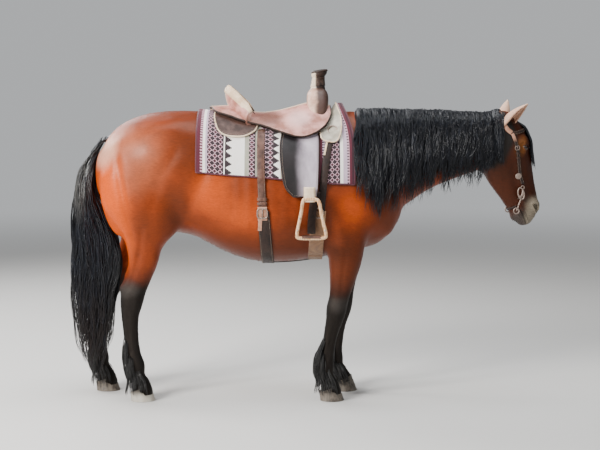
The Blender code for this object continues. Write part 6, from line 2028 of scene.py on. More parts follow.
def blanketMaterial():
    material, tree, inputs = newMaterial(
        "blanketWool", Roughness=0.92, Sheen_Weight=0.10, Sheen_Roughness=0.6)
    cloth = addNode(tree, "UVMap", {"uv_map": "cloth"}).outputs[0]
    u, v, _ = parted(tree, cloth)
    length = 0.84
    stops = [(start / length, wool[name]) for start, name in woolBands]
    colour = ramp(tree, sums(tree, "DIVIDE", u, length), stops, "CONSTANT")

    def within(low, high):
        above = sums(tree, "GREATER_THAN", u, low)
        return times(tree, above, sums(tree, "LESS_THAN", u, high))

    for low, high, wide, tall in latticeBands:
        figure = useGroup(tree, diamonds, U=sums(tree, "SUBTRACT", u, low), V=v, Wide=wide, Tall=tall)
        here = within(low, high)
        colour = blended(tree, times(tree, here, figure["Edge"]), colour, wool["pink"])
        colour = blended(tree, times(tree, here, figure["Core"]), colour, wool["maroon"])
    for low, high, way, period in toothBands:
        reach = sums(tree, "DIVIDE", sums(tree, "SUBTRACT", u, low), high - low)
        reach = reach if way > 0 else sums(tree, "SUBTRACT", 1.0, reach)
        share = sums(tree, "FRACT", sums(tree, "DIVIDE", v, period))
        tooth = times(tree, sums(tree, "ABSOLUTE", sums(tree, "SUBTRACT", share, 0.5)), 2.0)
        steps = sums(tree, "SNAP", sums(tree, "SUBTRACT", 1.0, tooth), 0.2)
        here = times(tree, within(low, high), sums(tree, "LESS_THAN", reach, steps))
        colour = blended(tree, here, colour, wool["dark"])
    for low, high, first in ((0.018, 0.032, "maroon"), (0.782, 0.792, "dark"), (0.650, 0.664, "dark")):
        beads = sums(tree, "GREATER_THAN", sums(tree, "SINE", times(tree, v, 420.0)), 0.1)
        colour = blended(tree, times(tree, within(low, high), beads), colour, wool[first])
    weave = useGroup(tree, yarn, Place=cloth, Scale=1.0)
    shade = ranged(tree, weave["Shade"], 0.3, 0.7, 0.35, 0.65)
    colour = blended(tree, 0.55, colour, blended(tree, shade, (0, 0, 0), (1, 1, 1)), "SOFT_LIGHT")
    paint(tree, inputs, colour)
    bump(tree, inputs, weave["Height"], 0.8, 0.0022)
    return material


def makeBlanket(tree):
    shape, columns = layers["blanket"], 131
    middle = columns // 2
    grid = backGrid(tree, 84, columns, shape["edge"], 40)
    xs, angles, radius = grid
    share = np.linspace(-1, 1, columns)[None, :]
    down = np.clip((np.abs(share) - 0.45) / 0.55, 0, 1)
    waves = 0.0020 * np.sin(xs[:, None] * 21 + 2.0 * share) + 0.0012 * np.sin(xs[:, None] * 47 + 5 * share)
    high = shape["high"] + waves * down
    outer, inner = backSurface(grid, high), backSurface(grid, high - (shape["high"] - shape["low"]))
    mesh = slab(outer, inner)
    steps = np.diff(np.sin(angles) * radius, axis=1) ** 2 + np.diff(np.cos(angles) * radius, axis=1) ** 2
    runs = np.cumsum(np.sqrt(steps), axis=1)
    runs = np.concatenate([np.zeros((len(xs), 1)), runs], axis=1)
    runs -= runs[:, middle : middle + 1]
    places = np.stack([np.repeat((xs - xs[0])[:, None], columns, 1), runs], 2).reshape(-1, 2)
    places = np.vstack([places, places])
    layer = mesh.uv_layers.new(name="cloth")
    corner = valuesOf(mesh.loops, "vertex_index", kind=np.int64)
    layer.data.foreach_set("uv", places[corner].astype(np.float32).ravel())
    widths = runs[:, -1] - runs[:, 0]
    print("blanket's width and length", round(float(widths.mean()), 3), round(float(xs[-1] - xs[0]), 3))
    roll = edgeRoll(grid, (high + high - shape["high"] + shape["low"]) / 2, roundSection(0.0052, 8, 1.0))
    return mesh, roll


blanketWool = blanketMaterial()
blanketEdge = cordMaterial("blanketEdge", (0.120, 0.011, 0.032), (0.045, 0.0055, 0.014))


def makeSaddle(tree):
    stitches = newHair()
    blanketMesh, blanketRoll = makeBlanket(tree)
    binding = addPiece("blanketBinding", blanketRoll, blanketEdge, ())
    blanket = addPiece("blanket", blanketMesh, blanketWool, "saddle_blanket", crease=60)

    shape = layers["skirt"]
    grid = backGrid(tree, 96, 81, shape["edge"], 30)
    mesh = slab(backSurface(grid, shape["high"]), backSurface(grid, shape["low"]))
    addPiece("skirt", mesh, skirtLeather, "saddle_skirt", crease=50)
    roll = edgeRoll(grid, shape["high"] - 0.0026, roundSection(0.0042, 8))
    addPiece("skirtBinding", roll, creamLeather, ())
    for line in insetLine(grid, shape["high"] + 0.0002, 0.011):
        addStitches(stitches, *line)

    shape = layers["seat"]
    grid = backGrid(tree, 84, 81, shape["edge"], 20)
    xs, angles, radius = grid
    top = np.array([along(smoothTable(shape["top"]), x) for x in xs])
    rise = top - backCentre - radius[:, 40]
    lift = shape["high"] + (rise[:, None] - shape["high"]) * bell(angles, 0.5)
    thick = 0.0065 + 0.014 * bell(angles, 0.35)
    mesh = slab(backSurface(grid, lift), backSurface(grid, lift - thick))
    addPiece("seat", mesh, seatLeather, "saddle_seat", crease=50)
    # a dark roll under the seat's edge: partly the edge's own dark leather, partly painted shadow
    roll = edgeRoll(grid, lift - 0.0070, roundSection(0.0060, 8))
    addPiece("seatEdge", roll, darkLeather, ())
    for inset in (0.010, 0.014):
        for line in insetLine(grid, lift[:, 0].mean() + 0.0002, inset):
            addStitches(stitches, *line)
    # a dark sheet between the seat and the skirt, inset from the seat's edge: painted shadow of the gap
    fill = [row[2:-2] for row in backSurface(grid, lift - thick - 0.0005)[3:-3]]
    under = [row[2:-2] for row in backSurface(grid, layers["skirt"]["low"])[3:-3]]
    addPiece("seatShadowFill", slab(fill, under), darkLeather, ())
    return stitches


cantle = {"top": (-0.425, 1.662), "end": (-0.292, 1.535), "half": 0.175}
fork = {"x": 0.055, "top": 1.668, "half": 0.140, "long": 0.058}
horn = (
    (0.058, 1.625, 0.046), (0.059, 1.655, 0.041), (0.061, 1.680, 0.035), (0.063, 1.708, 0.031),
    (0.065, 1.722, 0.035), (0.067, 1.734, 0.0415), (0.068, 1.748, 0.0420), (0.069, 1.757, 0.037),
)


cantleSteps = 60


def cantleTaper(least, reach):  # sizes along the cantle's rim, smaller near both its ends
    shares = [min(1, (1 - abs(2 * k / cantleSteps - 1)) / reach) for k in range(cantleSteps + 1)]
    return [least + (1 - least) * share for share in shares]


def makeCantle():
    behind, ahead, rims, outs = [], [], [], []
    for k in range(cantleSteps + 1):
        u = 2 * k / cantleSteps - 1
        bend = abs(u) ** 2
        rimZ = cantle["top"][1] + (cantle["end"][1] - cantle["top"][1]) * abs(u) ** 2.2
        rimX = cantle["top"][0] + (cantle["end"][0] - cantle["top"][0]) * bend
        rim = Vector((rimX, cantle["half"] * u, rimZ))
        footZ = min(1.545, rimZ - 0.01) - 0.035 - 0.05 * bend
        foot = Vector((rim.x + 0.055 * (1 - bend), 0.90 * cantle["half"] * u, footZ))
        lean = (rim - foot).normalized()
        forward = Vector((1, -0.6 * u, 0)).normalized()
        out = (forward - lean * forward.dot(lean)).normalized()
        columns = ([], [])
        for t in np.linspace(0, 0.97, 14):
            thick = 0.010 + 0.003 * t
            p = foot.lerp(rim, float(t)) - out * 0.016 * math.sin(math.pi * t)
            columns[0].append(p - out * thick)
            columns[1].append(p + out * thick)
        behind.append(columns[0])
        ahead.append(columns[1])
        rims.append(rim - lean * 0.004)
        outs.append((lean * 0.8 - out * 0.6).normalized())
    roll = sweep(rims, outs, roundSection(0.024, 18, 0.46), sizes=cantleTaper(0.55, 0.12))
    return slab(behind, ahead), roll, rims, outs


def makeFork():
    rings = []
    for k in range(49):
        u = 2 * k / 48 - 1
        top = fork["top"] - 0.150 * abs(u) ** 2.3
        low = top - (0.13 if abs(u) < 0.5 else 0.13 - 0.06 * (abs(u) - 0.5) / 0.5)
        middle = Vector((fork["x"] + 0.004, fork["half"] * u, (top + low) / 2))
        halfX = fork["long"] * (1 - 0.45 * abs(u) ** 3)
        tall = (top - low) / 2
        rings.append(oval(middle, unitX, unitZ, halfX, tall, tall, 40, 2.4, 2.4))
    return loft(rings, 0.006, 0.006)


def forkMaterial():  # pale, with painted shade darkening it in front
    material, tree, inputs, colour = leatherMaterial(
        "swellLeather", (0.66, 0.42, 0.31), (0.36, 0.18, 0.115), (0.82, 0.68, 0.56), 0.34)
    place = objectPlace(tree)
    x = parted(tree, place)[0]
    edge = sums(tree, "MULTIPLY_ADD", noise(tree, place, 16.0, 4.0), 0.035, x)
    # painted shade on the front
    dark = times(tree, ranged(tree, edge, 0.058, 0.082), 0.95)
    paint(tree, inputs, blended(tree, dark, colour, (0.034, 0.014, 0.010)))
    return material


swellLeather = forkMaterial()


def makeHorn():
    forward = Vector((1, 0, 0.15)).normalized()
    rings = []
    for x, z, radius in curveThrough(horn, 34):
        rings.append(oval(Vector((x, 0, z)), forward, unitY, radius, radius, radius, 32))
    path, outs = [], []
    turns, steps = 7, 18
    for k in range(turns * steps):  # the wrap round its neck
        angle, z = 2 * math.pi * k / steps, 1.672 + 0.042 * k / (turns * steps)
        radius = float(np.interp(z, [r[1] for r in horn], [r[2] for r in horn])) + 0.0022
        x = float(np.interp(z, [r[1] for r in horn], [r[0] for r in horn]))
        place = Vector((x, 0, z)) + forward * radius * math.cos(angle)
        path.append(place + unitY * radius * math.sin(angle))
        outs.append(forward * math.cos(angle) + unitY * math.sin(angle))
    wrap = sweep(path, outs, roundSection(0.0033, 8, 0.7))
    cap = []
    for z, radius in ((1.7455, 0.0445), (1.750, 0.0450), (1.7555, 0.042), (1.7585, 0.032), (1.7595, 0.018)):
        cap.append(oval(Vector((0.069, 0, z)), forward, unitY, radius, radius, radius, 32))
    return loft(rings), wrap, loft(cap)


def hornLook():  # dark on its top and front, as painted shade, and pale behind
    material, tree, inputs, colour = leatherMaterial(
        "hornLeather", (0.034, 0.016, 0.011), (0.014, 0.0070, 0.0050), (0.16, 0.09, 0.06), 0.38)
    place = objectPlace(tree)
    x = parted(tree, place)[0]
    pale = ranged(tree, sums(tree, "MULTIPLY_ADD", noise(tree, place, 40.0, 3.0), 0.012, x), 0.060, 0.050)
    paint(tree, inputs, blended(tree, pale, colour, (0.72, 0.58, 0.44)))
    return material


hornLeather = hornLook()


# What hangs at the sides
fender = ((1.440, -0.125, 0.062), (1.360, -0.138, 0.063), (1.250, -0.132, 0.061), (1.150, -0.112, 0.057),
          (1.098, -0.070, 0.052))
stirrup = {
    "y": 0.372,
    "line": (
        (0.016, 1.092), (0.053, 1.088), (0.067, 1.068), (0.076, 1.020), (0.088, 0.965), (0.100, 0.910),
        (0.089, 0.889), (0.022, 0.886), (-0.044, 0.889), (-0.053, 0.910), (-0.043, 0.965), (-0.032, 1.020),
        (-0.025, 1.068), (-0.017, 1.088),
    ),
    "collar": (1.074, 1.150), "thick": 0.019, "inward": 0.0028, "tread": 0.058, "neck": 0.036,
}
latigo = ((0.128, 1.420), (0.105, 1.310), (0.090, 1.200), (0.082, 1.110), (0.074, 1.020))
billet = ((-0.238, 1.440), (-0.238, 1.330), (-0.236, 1.220), (-0.232, 1.120), (-0.228, 1.035))


def sidePoint(tree, x, z, side, lift):
    hit = tree.ray_cast(Vector((x, side * 1.0, z)), Vector((0, -side, 0)))[0]
    return Vector((x, hit.y + side * lift, z))


def makeFender(tree, side):
    outer, inner, lastY = [], [], 0.0
    rows = curveThrough(fender, 34)
    for z, rear, front in rows:
        ys = [abs(sidePoint(tree, rear + (front - rear) * k / 20, z, side, 0).y) for k in range(21)]
        lines = ([], [])
        for k in range(21):
            y = max(ys[k], lastY - 0.002)
            for line, lift in zip(lines, (0.0262, 0.0212)):
                line.append(Vector((rear + (front - rear) * k / 20, side * (y + lift), z)))
        lastY = max(lastY, ys[10])
        outer.append(lines[0])
        inner.append(lines[1])
    out = Vector((0, side, 0))
    border = borderOf(34, 21)
    flat = [(a + b) / 2 for rowA, rowB in zip(outer, inner) for a, b in zip(rowA, rowB)]
    roll = sweep([flat[i] for i in border], [out] * len(border), roundSection(0.0034, 8), closed=True)
    lines = []
    for k in (1, 19):
        lines.append([row[k] + out * 0.0003 for row in outer[1:-1]])
    lines.append([p + out * 0.0003 for p in outer[-2][1:-1]])
    return slab(outer, inner), roll, [(line, [out] * len(line)) for line in lines]


def closedCurve(points, count):
    wrapped = [points[-1]] + list(points) + [points[0], points[1]]
    fine = 12  # steps from each point to the next
    line = curveThrough(wrapped, (len(wrapped) - 1) * fine + 1)[fine : fine * (len(points) + 1) + 1]
    run = runOf(line)
    even = np.linspace(0, run[-1], count, endpoint=False)
    return np.stack([np.interp(even, run, line[:, axis]) for axis in range(2)], 1)


def makeStirrup(side):
    line = closedCurve(stirrup["line"], 110)
    y = side * stirrup["y"]
    centre = Vector((0.022, y, 0.98))
    path = [Vector((x, y, z)) for x, z in line]
    rings = []
    for i, p in enumerate(path):
        axis = (path[(i + 1) % len(path)] - path[i - 1]).normalized()
        out = axis.cross(unitY).normalized()
        out = -out if out.dot(p - centre) < 0 else out
        wide = stirrup["neck"] + (stirrup["tread"] - stirrup["neck"]) * (1.09 - p.z) / 0.19
        ring = []
        for c, s in circle(16):
            across = signedPower(c, 0.45) * wide / 2
            high = signedPower(s, 0.55) * stirrup["thick"] / 2
            ring.append(p + unitY * across + out * (high - stirrup["inward"]))
        rings.append(ring)
    tread = strapSection(stirrup["tread"] / 2 + 0.001, -0.0105, 0.0115)
    path = [Vector((x, y, 0.8900)) for x in np.linspace(-0.026, 0.072, 24)]
    cover = sweep(path, [unitZ] * 24, tread)
    bolts = [
        disc(Vector((x, y + side * wide, z)), Vector((0, side, 0)), 0.0042, 0.0030, 14)
        for x, z, wide in (
            (-0.037, 0.992, 0.026), (0.080, 0.992, 0.026), (-0.048, 0.930, 0.029), (0.092, 0.930, 0.029))
    ]
    return tube(rings, closed=True), cover, merged(bolts)


def disc(centre, normal, radius, thick, count=28):  # a domed button
    normal = normal.normalized()
    first = normal.orthogonal().normalized()
    second = normal.cross(first)
    rings = []
    for lift, r in (
        (0.0, 1.0), (0.30, 1.0), (0.42, 0.93), (0.55, 0.90), (0.62, 0.80), (0.85, 0.55), (0.97, 0.28),
        (1.0, 0.08),
    ):
        middle = centre + normal * lift * thick
        rings.append([middle + (first * c + second * s) * r * radius for c, s in circle(count)])
    return loft(rings)


def torus(centre, normal, radius, wire, count=40, squash=1.0, towards=None):  # a ring of round wire
    normal = normal.normalized()
    first = towards - normal * towards.dot(normal) if towards else normal.orthogonal()
    first = first.normalized()
    second = normal.cross(first)
    path = [centre + first * c * radius * squash + second * s * radius for c, s in circle(count)]
    return sweep(path, [normal] * count, roundSection(wire, 10), closed=True)


def sideStrap(tree, rows, side, halfWidth, thick, count, over):  # a strap down the side, over what it covers
    path = [sidePoint(tree, x, z, side, over(z)) for x, z in curveThrough(rows, count)]
    outs = [Vector((0, side, 0))] * count
    return sweep(path, outs, strapSection(halfWidth, 0, thick)), path, outs


bandSteps = 74


def bandPath(tree, xTop, xLow):  # down one side, under the belly and up the other
    path, outs, top = [], [], 1.01
    for k in range(bandSteps):
        turn = math.pi * k / (bandSteps - 1)
        y, z = -math.cos(turn), top - (top - 0.70) * math.sin(turn)
        x = xTop + (xLow - xTop) * math.sin(turn)
        guide = Vector((x, y * 0.42, z))
        middle = Vector((x, 0, 1.05))
        path.append(tree.ray_cast(guide, (middle - guide).normalized())[0])
        outs.append((guide - middle).normalized())
    return path, outs


def buckleAt(place, out, up, wide, tall, wire):  # a square buckle with its tongue
    side = up.cross(out).normalized()
    corners = [
        place + side * (signedPower(c, 0.5) * wide) + up * (signedPower(s, 0.5) * tall)
        for c, s in circle(48)
    ]
    loop = sweep(corners, [out] * 48, roundSection(wire, 8), closed=True)
    tongue = sweep([place - up * tall + out * 0.001, place + out * 0.003, place + up * tall + out * 0.0025],
                   [out] * 3, roundSection(wire * 0.75, 8))
    return merged([loop, tongue])


stitches = makeSaddle(skinTree)
cantleMesh, rollMesh, rims, outs = makeCantle()
addPiece("cantlePlate", cantleMesh, seatLeather, "saddle_cantle", crease=50)
addPiece("cantleRoll", rollMesh, creamLeather, ())
# a dark strip along the front of the cantle's roll: painted shadow
shadowStrip = [p + Vector((0.0235, 0, -0.010)) + o * 0.002 for p, o in zip(rims, outs)]
shadowStrip = sweep(shadowStrip, outs, roundSection(0.0070, 8), sizes=cantleTaper(0.2, 0.14))
addPiece("cantleShadowStrip", shadowStrip, darkLeather, ())
addStitches(stitches, [p + o * 0.0112 for p, o in zip(rims[3:-3], outs[3:-3])], outs[3:-3], 0.009, 0.0011)
addPiece("swell", makeFork(), swellLeather, "saddle_fork")
hornMesh, wrapMesh, capMesh = makeHorn()
addPiece("horn", hornMesh, hornLeather, "saddle_horn")
addPiece("hornWrap", wrapMesh, hornLeather, ())
addPiece("hornCap", capMesh, darkLeather, ())
print("saddle made")


def overBlanket(x):  # how far a strap lies off the skin, above and below the blanket's edge
    edge = along(layers["blanket"]["edge"], x)
    return lambda z: 0.0022 + 0.0135 * float(stepUp(z, edge - 0.035, edge + 0.004))


def sideTack(side, word):
    out = Vector((0, side, 0))
    flap, roll, lines = makeFender(skinTree, side)
    addPair(word, "fenderFlap", flap, fenderLeather, "fender", crease=50)
    addPair(word, "fenderEdge", roll, darkLeather, ())
    for line in lines:
        addStitches(stitches, *line)
    # the wooden stirrup in its leather collar, under the end of the fender
    wood, cover, bolts = makeStirrup(side)
    addPair(word, "stirrupFrame", wood, stirrupWood, "stirrup", crease=45)
    addPair(word, "stirrupTread", cover, strapLeather, ())
    addPair(word, "stirrupBolts", bolts, steel, ())
    section = strapSection(0.030, -0.0225, 0.0140)
    path = [Vector((0.014, side * stirrup["y"], z)) for z in np.linspace(*stirrup["collar"], 14)]
    collar = sweep(path, [out] * 14, section)
    addPair(word, "collarWrap", collar, creamLeather, "stirrup_collar")
    for z in (1.084, 1.141):
        row = [Vector((x, side * (stirrup["y"] + 0.0142), z)) for x in np.linspace(-0.012, 0.040, 12)]
        addStitches(stitches, row, [out] * 12)
    # the rigging ring on its plate, and the latigo that runs through it
    place = sidePoint(skinTree, 0.135, 1.440, side, 0.029)
    facing = Vector((0, side, 0.45))
    loop = torus(place, facing, 0.024, 0.0040)
    addPair(word, "riggingLoop", loop, agedSteel, "rigging_ring")
    plates = [disc(sidePoint(skinTree, x, z, side, 0.0205), facing, r, 0.004)
              for x, z, r in ((0.112, 1.405, 0.007), (0.166, 1.408, 0.007), (-0.440, 1.437, 0.011))]
    addPair(word, "saddleConchos", merged(plates), agedSteel, ())
    over = overBlanket(0.09)
    mesh = sideStrap(skinTree, latigo, side, 0.019, 0.0042, 40, over)[0]
    rows = tuple((x - 0.014, z) for x, z in latigo[:2])
    second = sideStrap(skinTree, rows, side, 0.005, 0.0030, 18, lambda z: over(z) + 0.0048)[0]
    addPair(word, "latigoStrap", mesh, darkLeather, "latigo")
    addPair(word, "latigoLace", second, creamLeather, ())
    holes = []
    for z in np.linspace(1.035, 1.105, 4):
        x = along([(high, x) for x, high in reversed(latigo)], z)
        holes.append(disc(sidePoint(skinTree, x, z, side, over(z) + 0.0040), out, 0.0028, 0.0006, 12))
    addPair(word, "latigoHoles", merged(holes), darkLeather, ())
    # dark discs inside the rigging ring and above it: painted shade
    shades = [disc(sidePoint(skinTree, x, z, side, 0.0204), facing, r, 0.0018) for x, z, r in
              ((0.135, 1.440, 0.0205), (0.137, 1.492, 0.015))]
    addPair(word, "ringShadeDiscs", merged(shades), darkLeather, ())
    rows = ((0.050, 1.125), (0.034, 1.050), (0.026, 0.980), (0.024, 0.905))
    tail = sideStrap(skinTree, rows, side, 0.021, 0.0040, 24, lambda z: 0.0135)[0]
    addPair(word, "latigoTail", tail, darkLeather, ())
    # the billet at the back with its buckle and keeper
    mesh, path, outs = sideStrap(skinTree, billet, side, 0.020, 0.0045, 44, overBlanket(-0.235))
    addPair(word, "billetStrap", mesh, strapLeather, "billet")
    for shift in (-0.016, 0.016):
        line = [p + o * 0.0046 + Vector((shift, 0, 0)) for p, o in zip(path[1:-2], outs[1:-2])]
        addStitches(stitches, line, outs[1:-2])
    place = sidePoint(skinTree, -0.229, 1.012, side, 0.0135)
    buckle = buckleAt(place, out, unitZ, 0.026, 0.024, 0.0036)
    addPair(word, "billetBuckle", buckle, agedSteel, "buckle")
    rows = ((-0.229, 1.046), (-0.228, 0.976))
    chape = sideStrap(skinTree, rows, side, 0.0245, 0.0030, 12, lambda z: 0.0088)[0]
    rows = ((-0.240, 0.978), (-0.243, 0.922))
    loose = sideStrap(skinTree, rows, side, 0.0100, 0.0030, 10, lambda z: 0.0090)[0]
    addPair(word, "billetEnd", merged([chape, loose]), bridleTan, ())
    keepers = []
    for z in (1.085, 1.062):
        middle = sidePoint(skinTree, -0.230, z, side, 0.0025)
        half = ((0.0235, 0.0), (0.0225, 0.0060), (0.012, 0.0072))
        ends = [middle + Vector((-x, out.y * y, 0)) for x, y in half]
        ends += [middle + Vector((x, out.y * y, 0)) for x, y in reversed(half)]
        keepers.append(sweep(ends, [out] * 6, strapSection(0.0085, 0, 0.0025)))
    addPair(word, "keepers", merged(keepers), strapLeather, ())


for side, word in sides:
    sideTack(side, word)


def makeStringGirth(path, outs):  # cords side by side, held by woven bars
    meshes = []
    across = unitX
    for k in range(15):
        shift = (k - 7) * 0.0050
        line = [p + across * shift + o * 0.0055 for p, o in zip(path, outs)]
        meshes.append(sweep(line, outs, roundSection(0.0028, 6)))
    for i in (5, 16, 27, 37, 46, 57, 68):
        p, o = path[i], outs[i]
        axis = (path[i + 1] - path[i - 1]).normalized()
        for step in (-0.006, 0.0, 0.006):
            line = [p + axis * step + across * x + o * 0.0070 for x in np.linspace(-0.037, 0.037, 14)]
            meshes.append(sweep(line, [o] * 14, roundSection(0.0030, 6)))
    return merged(meshes)


path, outs = bandPath(skinTree, 0.062, 0.045)
addPiece("stringGirth", makeStringGirth(path, outs), cinchCord, "cinch_front")
rings = [torus(path[i] + outs[i] * 0.009, outs[i], 0.026, 0.0038) for i in (1, bandSteps - 2)]
path, outs = bandPath(skinTree, -0.225, -0.205)
girth = sweep(path, outs, strapSection(0.032, 0.0015, 0.0080))
addPiece("flankGirth", girth, darkLeather, "cinch_rear")
for shift in (-0.027, 0.027):
    line = [p + o * 0.0082 + Vector((shift, 0, 0)) for p, o in zip(path[1:-1], outs[1:-1])]
    addStitches(stitches, line, outs[1:-1])
addPiece("girthRings", merged(rings), agedSteel, ())
# the strap that joins both girths under the belly
up = unitZ
line = [skinTree.ray_cast(Vector((x, 0, 0.3)), up)[0] for x in np.linspace(-0.185, 0.020, 24)]
spacer = sweep(line, [-up] * 24, strapSection(0.011, 0.002, 0.0055))
addPiece("spacerStrap", spacer, darkLeather, ())
print("side tack made")


# The bridle
cheekLine = (
    (0.079, -0.011), (0.120, -0.006), (0.180, -0.004), (0.250, -0.012), (0.320, -0.020), (0.372, -0.014),
)
bitLine = (
    (0.385, -0.010, 0.007), (0.405, -0.018, 0.009), (0.430, -0.030, 0.007), (0.455, -0.048, 0.0055),
    (0.480, -0.064, 0.007), (0.492, -0.072, 0.005),
)
bridleHalf = 0.009


def snappedLine(guides, count):
    guides = [Vector(p) for p in curveThrough([tuple(g) for g in guides], count)]
    found = [skinTree.find_nearest(guide)[:2] for guide in guides]
    places = np.array([tuple(hit) for hit, _ in found])
    outs = np.array([tuple(normal) for _, normal in found])
    for _ in range(3):
        places[1:-1] = (places[:-2] + 2 * places[1:-1] + places[2:]) / 4
        outs[1:-1] = (outs[:-2] + 2 * outs[1:-1] + outs[2:]) / 4
    outs /= np.linalg.norm(outs, axis=1)[:, None]
    return [Vector(p) for p in places], [Vector(o) for o in outs]


def bridleStrap(name, guides, count, material, node, half=bridleHalf, high=0.0042, sewn=True):
    places, outs = snappedLine(guides, count)
    mesh = sweep(places, outs, strapSection(half, 0.0005, high))
    addPiece(name, mesh, material, node)
    if sewn:
        for way in (-1, 1):
            line = []
            for i, p in enumerate(places):
                axis = (places[min(i + 1, count - 1)] - places[max(i - 1, 0)]).normalized()
                line.append(p + axis.cross(outs[i]).normalized() * way * (half - 0.0022) + outs[i] * high)
            addStitches(stitches, line, outs, 0.0048, 0.0006)
    return places, outs


half = ((0.074, -0.014, 0.12), (0.044, -0.036, 0.12), (0.004, -0.044, 0.09), (-0.030, -0.042, 0.05))
guides = [onHead(a, b, -c) for a, b, c in half] + [onHead(-0.045, -0.042, 0)]
guides += [onHead(a, b, c) for a, b, c in reversed(half)]
bridleStrap("crownStrap", guides, 60, bridleTan, "bridle_crown", 0.0115)
turns = np.linspace(-1.45, 1.45, 13)
guides = [onHead(0.080, -0.025 + 0.12 * math.cos(t), 0.11 * math.sin(t)) for t in turns]
bridleStrap("browStrap", guides, 50, darkLeather, "browband")
for side, word in sides:
    guides = [onHead(a, b, side * 0.12) for a, b in cheekLine]
    places, outs = bridleStrap("cheekStrap_" + word, guides, 44, cheekLeather, "cheekpiece_" + word)
    i = 15
    up = (places[i - 1] - places[i + 1]).normalized()
    buckle = buckleAt(places[i] + outs[i] * 0.0052, outs[i], up, 0.012, 0.010, 0.0018)
    addPair(word, "cheekBuckle", buckle, agedSteel, ())
    loops = []
    for i in (19, 22):
        across = (places[i + 1] - places[i - 1]).normalized().cross(outs[i]).normalized()
        ends = [places[i] + across * a + outs[i] * b for a, b in
                ((-0.0108, 0.0005), (-0.0102, 0.0052), (0.0, 0.0064), (0.0102, 0.0052), (0.0108, 0.0005))]
        loops.append(sweep(ends, [outs[i]] * 5, strapSection(0.0040, 0, 0.0018)))
    addPair(word, "cheekKeepers", merged(loops), darkLeather, ())
    hit, normal = skinTree.find_nearest(onHead(0.322, -0.031, side * 0.12))[:2]
    rim = torus(hit + normal * 0.0062, normal, 0.0155, 0.0014, 36)
    petals = []
    for k in range(8):
        spoke = Matrix.Rotation(2 * math.pi * k / 8, 3, normal) @ normal.orthogonal().normalized()
        petals.append(disc(hit + normal * 0.0068 + spoke * 0.0105, normal, 0.0030, 0.0022, 12))
    button = disc(hit + normal * 0.0042, normal, 0.0170, 0.0055, 36)
    addPair(word, "cheekConcho", merged([button, rim] + petals), agedSteel, "concho")
    # the bit's shank with its rings, and the end of the mouthpiece
    hits = [skinTree.find_nearest(onHead(s, f, side * 0.12))[0] for s, f, _ in bitLine]
    surface = max(hit.dot(headLeft) * side for hit in hits)
    level = surface - poll.dot(headLeft) * side + 0.007
    rows = curveThrough(bitLine, 30)
    line = [onHead(s, f, side * level) for s, f, _ in rows]
    shank = sweep(line, [headLeft * side] * 30, [(a * 1.5, b) for a, b in roundSection(0.0030, 12)],
                  sizes=[0.7 + 0.5 * (w - 0.005) / 0.004 for _, _, w in rows])
    upper = torus(onHead(0.378, -0.012, side * level), headLeft, 0.0085, 0.0026)
    place = onHead(0.408, -0.028, side * (level + 0.001))
    middle = torus(place, headLeft, 0.0310, 0.0040, 48, 0.54, headFront)
    lower = torus(onHead(0.492, -0.074, side * level), headLeft, 0.0150, 0.0034)
    ends = [onHead(0.425, -0.036, side * (level + 0.002)), onHead(0.436, -0.042, side * level * 0.6)]
    mouthpiece = sweep(ends, [headFront] * 2, roundSection(0.0045, 12))
    button = disc(onHead(0.424, -0.035, side * (level + 0.002)), headLeft * side, 0.0075, 0.0040)
    bit = merged([shank, upper, middle, lower, mouthpiece, button])
    addPair(word, "shank", bit, agedSteel, "bit")
guides = []
for t in np.linspace(-1.3, 1.3, 9):
    guides.append(onHead(0.470 + 0.01 * math.cos(t), -0.105 + 0.045 * (1 - math.cos(t)), 0.075 * math.sin(t)))
bridleStrap("curbStrap", guides, 30, darkLeather, "curb_strap", 0.006, 0.0036, False)
threadMesh = meshOf(stitches)
threadMesh.uv_layers.remove(threadMesh.uv_layers["OFBake"])
addPiece("stitching", threadMesh, thread, ())
print("bridle made")


# Studio: a pale floor and soft lights
def addLight(name, place, target, size, power, colour=(1, 1, 1)):
    data = bpy.data.lights.new(name, "AREA")
    data.shape = "RECTANGLE"
    data.size, data.size_y = size
    data.energy = power
    data.color = colour
    lamp = bpy.data.objects.new(name, data)
    bpy.context.scene.collection.objects.link(lamp)
    lamp.location = place
    lamp.rotation_euler = (Vector(target) - Vector(place)).to_track_quat("-Z", "Y").to_euler()
    return lamp


backdrop = {"colour": (0.80, 0.82, 0.84), "seen": 0.62, "lit": 0.26, "floor": (0.60, 0.59, 0.57)}


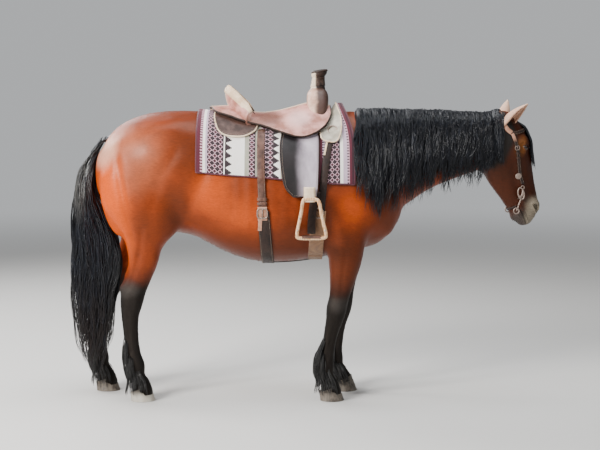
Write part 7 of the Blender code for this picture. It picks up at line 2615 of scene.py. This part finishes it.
def floorMaterial():  # pale, and as bright as the backdrop far from the horse, so that no line shows
    material, tree, _ = newMaterial("studioFloor", Roughness=0.85, Base_Color=backdrop["floor"])
    length = addNode(tree, "VectorMath", {"operation": "LENGTH"})
    feed(tree, length.inputs[0], objectPlace(tree))
    glow = addNode(tree, "Emission", Strength=backdrop["seen"])
    glow.inputs["Color"].default_value = (*backdrop["colour"], 1)
    mix = addNode(tree, "MixShader")
    feed(tree, mix.inputs[0], ranged(tree, length.outputs["Value"], 4.0, 16.0))
    feed(tree, mix.inputs[1], tree.nodes["Principled BSDF"].outputs[0])
    feed(tree, mix.inputs[2], glow.outputs[0])
    feed(tree, tree.nodes["Material Output"].inputs["Surface"], mix.outputs[0])
    return material


floorMesh = meshFrom([(-60, -60, 0), (60, -60, 0), (60, 60, 0), (-60, 60, 0)], [(0, 1, 2, 3)])
floorItem = bpy.data.objects.new("studioFloor", floorMesh)
bpy.context.scene.collection.objects.link(floorItem)
floorMesh.materials.append(floorMaterial())
lamps = [
    addLight("keyLight", (-4.4, -4.6, 3.9), (-0.3, 0.0, 1.1), (2.4, 2.0), 900, (1.0, 0.985, 0.96)),
    addLight("fillLight", (3.4, -5.6, 2.8), (0.2, 0.0, 1.0), (3.4, 3.0), 70, (0.93, 0.96, 1.0)),
    addLight("backLight", (-3.6, 4.2, 4.2), (0.0, 0.0, 1.1), (4.0, 2.6), 240, (0.97, 0.98, 1.0)),
    addLight("topLight", (0.2, -0.4, 5.4), (0.0, 0.0, 0.0), (4.6, 2.4), 270, (0.94, 0.97, 1.0)),
    addLight("rimLight", (-4.6, 1.9, 4.3), (-0.9, 0.0, 1.3), (1.3, 1.3), 170, (1.0, 0.97, 0.94)),
]
world = bpy.context.scene.world or bpy.data.worlds.new("studio")
bpy.context.scene.world = world
world.use_nodes = True
sky = world.node_tree.nodes["Background"].inputs
sky["Color"].default_value = (*backdrop["colour"], 1)
shown = addNode(world.node_tree, "LightPath").outputs["Is Camera Ray"]
bright = sums(world.node_tree, "MULTIPLY_ADD", shown, backdrop["seen"] - backdrop["lit"], backdrop["lit"])
feed(world.node_tree, sky["Strength"], bright)

cameraData = bpy.data.cameras.new("camera")
cameraData.sensor_width = 36
cameraData.lens = 80.35
camera = bpy.data.objects.new("camera", cameraData)
bpy.context.scene.collection.objects.link(camera)
camera.location = (-0.035, -7.2, 1.5)
camera.rotation_euler = (math.radians(90 - 4.55), 0, 0)
bpy.context.scene.camera = camera
